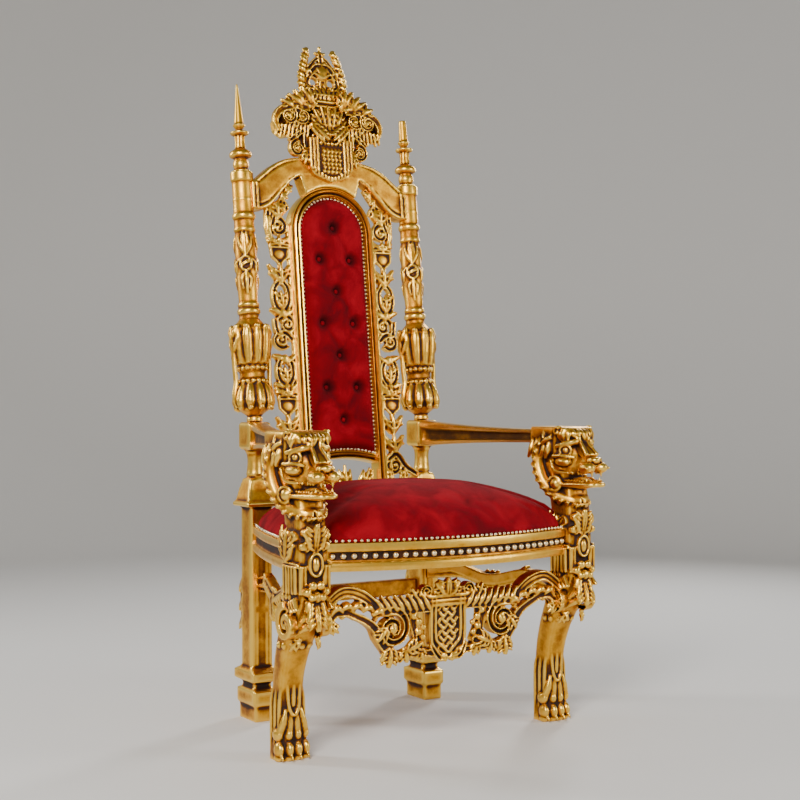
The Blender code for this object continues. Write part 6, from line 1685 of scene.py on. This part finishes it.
def lion_head(carving, x, y):
    """A roaring lion: scalloped hair under a flat block, ringed eyes, a ridged nose, split lips and bare teeth."""
    half, top = 0.059, HEAD_TOP
    carving.knob((x, y + 0.018, top - 0.078), (half * 0.84, 0.064, 0.064), 0.0, 12, 20)
    carving.knob((x, y - 0.004, top - 0.040), (half * 0.68, 0.040, 0.028), 0.0, 10, 18)
    for k in range(9):
        share = (k - 4) / 4
        root = (x + share * 0.040, y - 0.026 + 0.014 * share**2, top - 0.006)
        middle = (x + share * 0.047, y - 0.044 + 0.020 * share**2, top - 0.018)
        tip = (x + share * 0.046 + 0.006 * (-1) ** k, y - 0.047 + 0.026 * share**2, top - 0.036 - 0.004 * (k % 2))
        carving.sweep([root, middle, tip], [(0.0060, 0.0060), (0.0078, 0.0085), (0.0030, 0.0040)], (0, -1, 0.3), LEAF)
    limb(
        carving,
        [
            (x, y + 0.046, top - 0.110, half * 0.78, 0.064),
            (x, y + 0.054, top - 0.060, half * 0.92, 0.063),
            (x, y + 0.050, top - 0.024, half * 0.96, 0.068),
            (x, y + 0.048, top - 0.007, half * 0.97, 0.070),
            (x, y + 0.048, top, half * 0.92, 0.067),
        ],
        28,
        6.0,
    )
    limb(
        carving,
        [
            (x, y - 0.016, top - 0.036, half * 0.80, 0.020),
            (x, y - 0.016, top - 0.010, half * 0.84, 0.020),
            (x, y - 0.014, top - 0.002, half * 0.80, 0.018),
        ],
        24,
        5.0,
    )
    for k in range(7):
        share = (k - 3) / 3
        spot = (x + share * 0.046, y - 0.034 + 0.020 * share**2, top - 0.022 - 0.004 * (k % 2))
        carving.knob(spot, (0.0090, 0.0095, 0.0110), 0.0, 7, 12)
    bridge = [(x, y - 0.020, top - 0.042), (x, y - 0.048, top - 0.058), (x, y - 0.080, top - 0.080)]
    carving.sweep(bridge, [(0.013, 0.020), (0.016, 0.017), (0.019, 0.014)], (0, -0.5, 1))
    for hand in (-1, 1):
        nose = [(x + hand * 0.0085, y - 0.038, top - 0.034), (x + hand * 0.0120, y - 0.060, top - 0.050), (x + hand * 0.0165, y - 0.086, top - 0.073)]
        carving.sweep(nose, [(0.0040, 0.0090), (0.0046, 0.0080), (0.0046, 0.0065)], (0, -0.5, 1))
        carving.knob((x + hand * 0.0150, y - 0.046, top - 0.030), (0.0088, 0.0088, 0.0080), 0.0, 8, 12)
        carving.knob((x + hand * 0.020, y - 0.086, top - 0.103), (0.0190, 0.0300, 0.0155), 0.0, 10, 16)
        for k in range(4):
            spot = (x + hand * (0.031 + 0.002 * k), y - 0.070 - 0.012 * k, top - 0.100 - 0.004 * (k % 2))
            carving.knob(spot, (0.0032, 0.0042, 0.0036), 0.0, 6, 8)
        carving.knob((x + hand * 0.0155, y - 0.094, top - 0.083), (0.0070, 0.0090, 0.0060), 0.0, 7, 12)
        eye = np.array((x + hand * half * 0.66, y - 0.028, top - 0.060))
        look = unit(np.array((hand * 0.86, -0.50, 0.0)))
        carving.knob(eye, (0.0105, 0.0110, 0.0100), 0.0, 9, 14)
        across = unit(np.cross(look, (0.0, 0.0, 1.0)))
        lid = []
        for k in range(13):
            angle = math.tau * k / 12
            lid.append(eye + look * 0.0045 + across * 0.0158 * math.cos(angle) + np.array((0, 0, 0.0128 * math.sin(angle))))
        carving.sweep(lid, (0.0030, 0.0048), look, ROUND, 3)
        brow = [(x + hand * 0.010, y - 0.046, top - 0.038), (x + hand * half * 0.56, y - 0.042, top - 0.040), (x + hand * half * 0.92, y - 0.004, top - 0.050)]
        carving.sweep(brow, [(0.0065, 0.0080), (0.0070, 0.0085), (0.0050, 0.0060)], (hand * 0.5, -0.6, 0.6))
        cheek = [(x + hand * half * 0.52, y - 0.056, top - 0.078), (x + hand * half * 0.80, y - 0.032, top - 0.074), (x + hand * half * 0.98, y + 0.006, top - 0.075)]
        carving.sweep(cheek, [(0.0040, 0.0050), (0.0048, 0.0056), (0.0040, 0.0050)], look)
        carving.knob((x + hand * half * 0.74, y - 0.022, top - 0.089), (0.0165, 0.0290, 0.0120), 0.0, 10, 16)
        crease = [(x + hand * half * 0.98, y + 0.014, top - 0.084), (x + hand * half * 0.96, y - 0.004, top - 0.112), (x + hand * half * 0.66, y - 0.040, top - 0.118)]
        carving.sweep(crease, [(0.0036, 0.0046), (0.0040, 0.0050)], look)
        carving.knob((x + hand * half * 0.80, y + 0.006, top - 0.146), (0.0135, 0.0155, 0.0150), 0.0, 9, 14)
        ring = []
        for k in range(9):
            angle = math.radians(20 + 36 * k)
            ring.append(np.array((x + hand * half * 0.86, y + 0.006, top - 0.146)) + across * 0.0185 * math.cos(angle) + np.array((0, 0, 0.0185 * math.sin(angle))))
        carving.sweep(ring, (0.0030, 0.0050), look, ROUND, 3)
        jaw = [(x + hand * half * 0.72, y + 0.006, top - 0.150), (x + hand * half * 0.50, y - 0.050, top - 0.1475), (x + hand * 0.016, y - 0.100, top - 0.1465), (x, y - 0.104, top - 0.1465)]
        carving.sweep(jaw, [(0.0050, 0.0050), (0.0120, 0.0075), (0.0125, 0.0070), (0.0085, 0.0068)], (0, 0, 1))
        fang = [(x + hand * 0.0150, y - 0.101, top - 0.112), (x + hand * 0.0145, y - 0.103, top - 0.128)]
        carving.sweep(fang, [(0.0046, 0.0046), (0.0014, 0.0014)], (0, -1, 0))
        low_fang = [(x + hand * 0.0215, y - 0.088, top - 0.145), (x + hand * 0.0210, y - 0.089, top - 0.127)]
        carving.sweep(low_fang, [(0.0042, 0.0042), (0.0014, 0.0014)], (0, -1, 0))
        for k in range(6):
            share = k / 5
            tooth = (x + hand * (0.026 + 0.006 * share), y - 0.080 + 0.050 * share, top - 0.1395)
            carving.knob(tooth, (0.0036, 0.0044, 0.0060), 0.0, 6, 8)
            over = (x + hand * (0.026 + 0.008 * share), y - 0.086 + 0.052 * share, top - 0.1175)
            carving.knob(over, (0.0032, 0.0040, 0.0056), 0.0, 6, 8)
        carving.scroll((x + hand * half * 0.84, y - 0.008, top - 0.012), (0, -1, 0), (0, 0, 1), 0.0120, 0.9, 60, 1, 0.0050, 0.0095, ROUND)
        tuft = [(x + hand * half * 0.92, y + 0.012, top - 0.026), (x + hand * half * 1.04, y + 0.030, top - 0.036), (x + hand * half * 1.00, y + 0.052, top - 0.050)]
        carving.sweep(tuft, [(0.0075, 0.0085), (0.0080, 0.0090), (0.0036, 0.0050)], (hand, 0, 0), LEAF)
        for k in range(5):
            root = (x + hand * half * 0.90, y + 0.020 + 0.018 * k, top - 0.034)
            tip = (x + hand * half * 1.02, y + 0.034 + 0.018 * k, top - 0.082)
            middle = (x + hand * half * 1.04, y + 0.020 + 0.018 * k, top - 0.058)
            carving.sweep([root, middle, tip], [(0.0070, 0.0070), (0.0080, 0.0080), (0.0036, 0.0044)], (hand, 0, 0), LEAF)
        mane(carving, x, y, hand)
    for k in range(5):
        carving.knob((x + (k - 2) * 0.0078, y - 0.101 - 0.002 * (k == 2), top - 0.139), (0.0034, 0.0036, 0.0058), 0.0, 6, 8)
    carving.sweep([(x, y - 0.020, top - 0.138), (x, y - 0.066, top - 0.133), (x, y - 0.092, top - 0.139)], [(0.014, 0.006), (0.016, 0.006), (0.008, 0.004)], (0, 0, 1), CHANNEL)
    carving.knob((x, y - 0.034, top - 0.150), (half * 0.42, 0.056, 0.0095), 0.0, 8, 18)
    carving.knob((x, y - 0.100, top - 0.084), (0.0125, 0.0105, 0.0085), 0.0, 8, 14)
    limb(
        carving,
        [
            (x, y + 0.012, 0.560, half * 0.66, 0.044),
            (x, y + 0.026, top - 0.160, half * 0.66, 0.048),
            (x, y + 0.044, top - 0.095, half * 0.86, 0.066),
        ],
        24,
        2.5,
    )


def lion_leg(name, mirror):
    carving = Carving()
    x, y = FRONT_LEG_X, FRONT_LEG_Y
    limb(
        carving,
        [
            (x, y + SET_BACK, 0.0, SHANK, SHANK),
            (x, y + SET_BACK, 0.160, SHANK, SHANK),
            (x, y + SET_BACK * 0.78, 0.245, SHANK * 1.10, SHANK * 1.10),
            (x, y + SET_BACK * 0.40, 0.315, KNEE * 0.93, KNEE * 0.93),
            (x, y + SET_BACK * 0.10, 0.380, KNEE * 0.98, KNEE * 0.98),
            (x, y, 0.440, KNEE * 0.98, KNEE * 0.98),
            (x, y, 0.515, KNEE * 0.98, KNEE * 0.98),
            (x, y, 0.580, KNEE * 0.88, KNEE * 0.90),
            (x, y + 0.010, 0.640, KNEE * 0.80, KNEE * 0.90),
        ],
    )
    paw(carving, x, y + SET_BACK)
    knee_leaves(carving, x, y)
    lion_head(carving, x, y)
    piece = carving.fused(name, 0.0025, None, mirror, 1, 0.0)
    set_down(piece, "gilt_wood", name)


for word in ("left", "right"):
    lion_leg("lion_leg_" + word, word == "left")

# Sprung seat
# Webbing, springs and fibre under one stretched cloth of the same velvet, crowned high in the middle and tacked
# to the rails under a row of brass nails. The crown is blown up from a flatter form by cloth simulation.
SEAT_BASE = SEAT_RAIL_TOP + 0.0005
SEAT_HEIGHT = 0.128
SEAT_INSET = 0.008
SEAT_REAR = REAR_POST_Y - 0.049 - 0.004
SEAT_GRAIN = 0.0075


def seat_plan(count=10):
    """The seat's outline seen from above, anticlockwise."""
    leg_x, leg_y = LEG_INNER - 0.004, LEG_REAR + 0.004
    right = [(leg_x * k / count, front_line(leg_x * k / count, SEAT_INSET)) for k in range(count + 1)]
    right += [(leg_x, leg_y - 0.012), (leg_x + 0.003, leg_y - 0.003), (leg_x + 0.012, leg_y)]
    for k in range(count + 1):
        y = leg_y + (SEAT_REAR - leg_y) * k / count
        right.append((side_line(y) - SEAT_INSET, y))
    right += [(0.20, SEAT_REAR), (0.10, SEAT_REAR), (0.0, SEAT_REAR)]
    return right + [(-x, y) for x, y in right[-2:0:-1]]


def swollen(piece, cap, pressure):
    """The pad after its cover has been blown tight for twenty frames; no point moves further than the cap."""
    mesh = piece.data
    before, _, _ = read_mesh(mesh)
    held = piece.vertex_groups.new(name="tacked")
    held.add([k for k in range(len(before)) if before[k, 2] < SEAT_BASE + 0.010], 1.0, "REPLACE")
    cloth = piece.modifiers.new("cover", "CLOTH")
    cloth.settings.quality = 5
    cloth.settings.mass = 0.3
    cloth.settings.tension_stiffness = 15
    cloth.settings.compression_stiffness = 15
    cloth.settings.bending_stiffness = 0.6
    cloth.settings.use_pressure = True
    cloth.settings.uniform_pressure_force = pressure
    cloth.settings.effector_weights.gravity = 0
    cloth.settings.vertex_group_mass = "tacked"
    cloth.collision_settings.use_collision = False
    for step in range(1, 21):
        bpy.context.scene.frame_set(step)
    blown = bpy.data.meshes.new_from_object(piece.evaluated_get(bpy.context.evaluated_depsgraph_get()))
    after, edges, _ = read_mesh(blown)
    bpy.data.meshes.remove(blown)
    piece.modifiers.remove(cloth)
    piece.vertex_groups.remove(held)
    bpy.context.scene.frame_set(1)
    move = after - before
    length = np.linalg.norm(move, axis=1, keepdims=True)
    placed = before + move * np.minimum(1.0, cap / np.maximum(length, 1e-9))
    placed = relaxed(placed, edges, 4, 0.5)
    placed[:, 2] = np.where(before[:, 2] < SEAT_BASE + 0.004, SEAT_BASE, np.maximum(placed[:, 2], SEAT_BASE))
    mesh.vertices.foreach_set("co", placed.astype(np.float32).ravel())
    mesh.update()


def seat_cushion():
    plan = np.array(seat_plan())
    middle = np.array((0.0, (LEG_REAR + REAR_LEG_FRONT) / 2 - 0.05))
    levels = ((1.0, 0.0), (0.998, 0.06), (0.990, 0.16), (0.972, 0.28), (0.935, 0.42), (0.875, 0.56), (0.79, 0.69), (0.68, 0.80), (0.55, 0.88), (0.40, 0.94), (0.24, 0.975), (0.10, 0.99))
    high = SEAT_HEIGHT - 0.012
    rings = []
    for share, rise in levels:
        ring = middle + (plan - middle) * share
        rings.append(np.column_stack([ring, np.full(len(plan), SEAT_BASE + high * rise)]))
    carving = Carving()
    carving.rings(np.array(rings))
    mesh = bpy.data.meshes.new("seat_cushion")
    mesh.from_pydata(np.vstack(carving.points).tolist(), [], carving.faces)
    piece = bpy.data.objects.new("seat_cushion", mesh)
    bpy.context.scene.collection.objects.link(piece)
    fuse = piece.modifiers.new("fuse", "REMESH")
    fuse.mode = "VOXEL"
    fuse.voxel_size = SEAT_GRAIN
    bpy.context.view_layer.update()
    piece.data = bpy.data.meshes.new_from_object(piece.evaluated_get(bpy.context.evaluated_depsgraph_get()))
    piece.modifiers.clear()
    points, edges, _ = read_mesh(piece.data)
    low = points[:, 2] < SEAT_BASE + 0.004
    points = relaxed(points, edges, 3, 0.5)
    points[low, 2] = SEAT_BASE
    piece.data.vertices.foreach_set("co", points.astype(np.float32).ravel())
    piece.data.update()
    swollen(piece, 0.014, 4.0)
    finer = piece.modifiers.new("finer", "SUBSURF")
    finer.levels = 1
    thinned(piece, SEAT_KEPT_SHARE)
    bpy.context.view_layer.update()
    piece.data = bpy.data.meshes.new_from_object(piece.evaluated_get(bpy.context.evaluated_depsgraph_get()))
    piece.modifiers.clear()
    piece.data.name = "seat_cushion"
    piece.data.shade_smooth()
    piece.data.materials.clear()
    piece.data.materials.append(VELVET)
    set_down(piece, "red_velvet", "seat_cushion")


def seat_nails():
    """Nails along the lower edge of the velvet, on the front and both sides."""
    spots = []
    count = 49
    for k in range(count):
        x = (LEG_INNER - 0.008) * (-1 + 2 * k / (count - 1))
        slope = 2 * SEAT_BOW * x / LEG_INNER**2
        spots.append(((x, front_line(x, 0.0072), SEAT_BASE + 0.0046), (slope, -1.0, 0.0)))
    for side in (-1, 1):
        for k in range(28):
            y = LEG_REAR + 0.010 + (SEAT_REAR - 0.010 - LEG_REAR) * k / 27
            spots.append(((side * (side_line(y) - 0.0072), y, SEAT_BASE + 0.0046), (side, 0.0, 0.0)))
    nails("seat_nails", spots, 0.0044)


seat_cushion()
seat_nails()

# Front stretcher
# A deep pierced board dowelled between the lion legs. Two grooved ridges swing down from the legs to a framed
# shield; laid leaves, a volute with a round eye, berries and a fringe of leaf tips fill the space between them.
APRON_Y = FRONT_LEG_Y + 0.004
APRON_TOP = 0.410
APRON_DROP = 0.207
APRON_HALF = LEG_INNER - 0.0006
APRON_SHIELD = 0.0525


def apron_half(carving, hand):
    y, top, drop = APRON_Y, APRON_TOP, APRON_DROP
    half, up = APRON_HALF, (0, 0, 1)

    def at(x, z, depth=0.0):
        return (hand * x, y + depth, z)

    ridge = [at(half, top - 0.045), at(half - 0.050, top - 0.013), at(half - 0.105, top - 0.026), at(half - 0.158, top - 0.070)]
    carving.sweep(ridge, [(0.0125, 0.0185), (0.0135, 0.0185), (0.0140, 0.0185), (0.0110, 0.0160)], OUT, BAND, 10)
    low = [at(half, top - 0.086), at(half - 0.045, top - 0.062), at(half - 0.098, top - 0.078), at(half - 0.136, drop + 0.100)]
    low += [at(half - 0.150, drop + 0.070), at(half - 0.176, drop + 0.034)]
    carving.sweep(low, [(0.0080, 0.0150), (0.0090, 0.0150), (0.0110, 0.0165), (0.0100, 0.0150)], OUT, BAND, 10)
    for k in range(5):
        x = half - 0.030 - 0.028 * k
        z = top - 0.046 + 0.012 * math.sin(0.7 * k) - 0.005 * k
        bend = [at(x + 0.008, z - 0.010, -0.002), at(x - 0.006, z - 0.002, -0.010), at(x - 0.020, z - 0.014, -0.004)]
        carving.sweep(bend, [(0.0090, 0.0130), (0.0105, 0.0140), (0.0050, 0.0100)], OUT, LEAF)
    rail = [at(half - 0.140, top - 0.074), at(0.052, top - 0.072)]
    carving.sweep(rail, (0.0062, 0.0150), OUT, BAND)
    for k in range(8):
        x = 0.196 - 0.0185 * k
        stem = [at(x - 0.012, top - 0.070, -0.002), at(x - 0.002, top - 0.054, -0.008), at(x + 0.012, top - 0.032 + 0.003 * (k % 2), -0.003)]
        carving.sweep(stem, [(0.0080, 0.0130), (0.0098, 0.0140), (0.0040, 0.0090)], OUT, LEAF)
    carving.scroll(at(0.160, drop + 0.092, -0.003), (hand, 0, 0), up, 0.0480, 1.6, 60, 1, 0.0105, 0.0180)
    carving.knob(at(0.160, drop + 0.092, -0.014), (0.0110, 0.0100, 0.0110), 0.0, 8, 14)
    carving.leaf(at(0.176, drop + 0.100, -0.006), at(0.204, drop + 0.066, -0.004), OUT, 0.034, 3, 0.0110, 0.25)
    for x, z, radius in ((0.100, 0.118, 0.0085), (0.086, 0.104, 0.0100), (0.088, 0.080, 0.0096), (0.072, 0.090, 0.0075), (0.074, 0.066, 0.0080)):
        carving.knob(at(x, drop + z, -0.010), (radius,) * 3, 0.0, 8, 12)
    carving.sweep([at(0.104, top - 0.070), at(0.098, drop + 0.086), at(0.078, drop + 0.040)], [(0.0105, 0.0150), (0.0090, 0.0140)], OUT, BAND)
    carving.leaf(at(0.124, drop + 0.036, -0.006), at(0.080, drop + 0.056, -0.010), OUT, 0.036, 3, 0.0110, 0.3)
    carving.leaf(at(0.166, drop + 0.052, -0.004), at(0.172, drop + 0.000, -0.004), OUT, 0.044, 4, 0.0105, 0.25)
    carving.leaf(at(0.128, drop + 0.044, -0.004), at(0.120, drop + 0.008, -0.004), OUT, 0.036, 3, 0.0100, 0.25)
    carving.leaf(at(0.086, drop + 0.042, -0.004), at(0.074, drop + 0.006, -0.004), OUT, 0.030, 3, 0.0090, 0.25)
    foot = [at(0.182, drop + 0.040), at(0.140, drop + 0.028), at(0.096, drop + 0.030), at(0.040, drop + 0.022)]
    carving.sweep(foot, [(0.0095, 0.0140), (0.0095, 0.0150), (0.0090, 0.0140)], OUT, BAND)
    carving.scroll(at(0.060, top - 0.028, -0.002), (hand, 0, 0), up, 0.0190, 1.25, 250, 1, 0.0062, 0.0140)
    carving.leaf(at(0.084, top - 0.060, -0.002), at(0.104, top - 0.016, -0.002), OUT, 0.030, 3, 0.0090, 0.2)
    for k in range(5):
        x = half - 0.022 - 0.030 * k
        root = at(x, top - 0.068 - 0.004 * k, -0.003)
        carving.knob(root, (0.0072, 0.0090, 0.0072), 0.0, 7, 10)
    carving.leaf(at(half - 0.008, top - 0.080, -0.004), at(half - 0.040, top - 0.108, -0.004), OUT, 0.026, 3, 0.0085, 0.2)


def apron_shield(carving):
    y, top, drop = APRON_Y, APRON_TOP, APRON_DROP
    half = APRON_SHIELD
    face = y - 0.0130
    side = [(-half, top - 0.050), (-half, drop + 0.046), (-half * 0.62, drop + 0.024), (-half * 0.22, drop + 0.010)]
    outline = [*side, (0.0, drop + 0.004), *[(-x, z) for x, z in side[::-1]]]
    carving.plate(outline, face + 0.006, y + 0.016)
    for inset, width in ((0.0045, 0.0042), (0.0165, 0.0036)):
        line = []
        for x, z in (*side, (0.0, drop + 0.004)):
            line.append((x * (1 - inset / half), face + 0.004, z + inset * 1.1 * (z < top - 0.06)))
        line += [(-x, a, z) for x, a, z in line[-2::-1]]
        carving.sweep(line, (width, 0.0062), OUT, ROUND, 5)
    for row in range(7):
        for column in range(5):
            x = (column - 2 + 0.5 * (row % 2)) * 0.0120
            z = drop + 0.040 + row * 0.0150
            if abs(x) < 0.028:
                turn = (-1) ** (row + column)
                carving.sweep([(x - 0.005 * turn, face + 0.005, z - 0.005), (x + 0.005 * turn, face + 0.004, z + 0.006)], [(0.0036, 0.0046), (0.0024, 0.0036)], OUT)
    for z, width in ((top - 0.042, 0.0056), (top - 0.053, 0.0044), (top - 0.063, 0.0052)):
        carving.sweep([(-half * 1.12, face + 0.006, z), (half * 1.12, face + 0.006, z)], (width, 0.0085), OUT)
    for hand in (-1, 1):
        curl = [(hand * half * 0.98, y - 0.006, drop + 0.046), (hand * half * 0.60, y - 0.010, drop + 0.014), (hand * 0.006, y - 0.006, drop + 0.008)]
        carving.sweep(curl, [(0.0060, 0.0120), (0.0075, 0.0130), (0.0048, 0.0110)], OUT, CHANNEL)
        carving.scroll((hand * 0.017, y - 0.008, drop + 0.012), (hand, 0, 0), (0, 0, 1), 0.0110, 1.1, 250, -1, 0.0042, 0.0110)
    carving.leaf((0, y - 0.004, top - 0.044), (0, y - 0.002, top + 0.003), OUT, 0.058, 5, 0.0105, 0.25)
    for hand in (-1, 1):
        carving.leaf((hand * 0.010, y - 0.004, top - 0.042), (hand * 0.036, y - 0.002, top - 0.008), OUT, 0.030, 3, 0.0090, 0.2)


def apron():
    carving = Carving()
    for hand in (-1, 1):
        apron_half(carving, hand)
    apron_shield(carving)
    piece = carving.fused("front_stretcher", 0.0026)
    set_down(piece, "gilt_wood", "front_stretcher")


apron()

# Side stretchers
# Short carved rails from the front legs to the rear ones: an S of acanthus that grows from each end and meets
# under a hanging leaf.
STRETCHER_START = FRONT_LEG_Y + KNEE + 0.0125
STRETCHER_TOP = 0.400
STRETCHER_HEIGHT = 0.055


def side_stretcher(name, mirror):
    carving = Carving()
    start = np.array((FRONT_LEG_X - 0.004, STRETCHER_START, 0.0))
    end = np.array((REAR_LEG_X, REAR_LEG_FRONT - 0.0003, 0.0))
    run = end - start
    out = unit(np.cross((0, 0, 1), run))
    out = out if out[0] > 0 else -out
    low, top = STRETCHER_TOP - STRETCHER_HEIGHT, STRETCHER_TOP

    def at(share, z, proud=0.0):
        return tuple(start + run * share + out * proud + np.array((0.0, 0.0, z)))

    path = [at(0.0, low + 0.022), at(0.10, low + 0.030), at(0.24, top - 0.019), at(0.5, low + 0.013), at(0.76, top - 0.019), at(0.90, low + 0.030), at(1.0, low + 0.022)]
    carving.sweep(path, [(0.0125, 0.0135), (0.0140, 0.0150), (0.0120, 0.0135)], out, CHANNEL, 8)
    under = [at(0.0, low + 0.004), at(0.14, low + 0.010), at(0.30, low + 0.014), at(0.5, low - 0.006), at(0.70, low + 0.014), at(0.86, low + 0.010), at(1.0, low + 0.004)]
    carving.sweep(under, (0.0075, 0.0120), out, CHANNEL, 8)
    for share, hand in ((0.20, 1), (0.80, -1)):
        carving.scroll(at(share + hand * 0.02, top - 0.020, 0.002), tuple(unit(run)), (0, 0, 1), 0.0185, 1.3, 90, -hand, 0.0060, 0.0130)
        for k in range(4):
            root = at(share + hand * (0.04 + 0.05 * k), top - 0.018 - 0.006 * k, 0.004)
            tip = at(share + hand * (0.12 + 0.05 * k), low + 0.004 - 0.004 * k, 0.006)
            middle = at(share + hand * (0.10 + 0.05 * k), top - 0.030 - 0.006 * k, 0.010)
            carving.sweep([root, middle, tip], [(0.0075, 0.0090), (0.0095, 0.0105), (0.0036, 0.0060)], out, LEAF)
    carving.leaf(at(0.5, low + 0.024, 0.004), at(0.5, low - 0.050, 0.004), out, 0.050, 5, 0.0105, 0.2)
    for k in range(3):
        carving.knob(at(0.46 + 0.04 * k, low + 0.030, 0.008), (0.0078,) * 3, 0.0, 7, 10)
    piece = carving.fused(name, 0.0030, None, mirror)
    set_down(piece, "gilt_wood", name)


for word in ("left", "right"):
    side_stretcher("side_stretcher_" + word, word == "left")
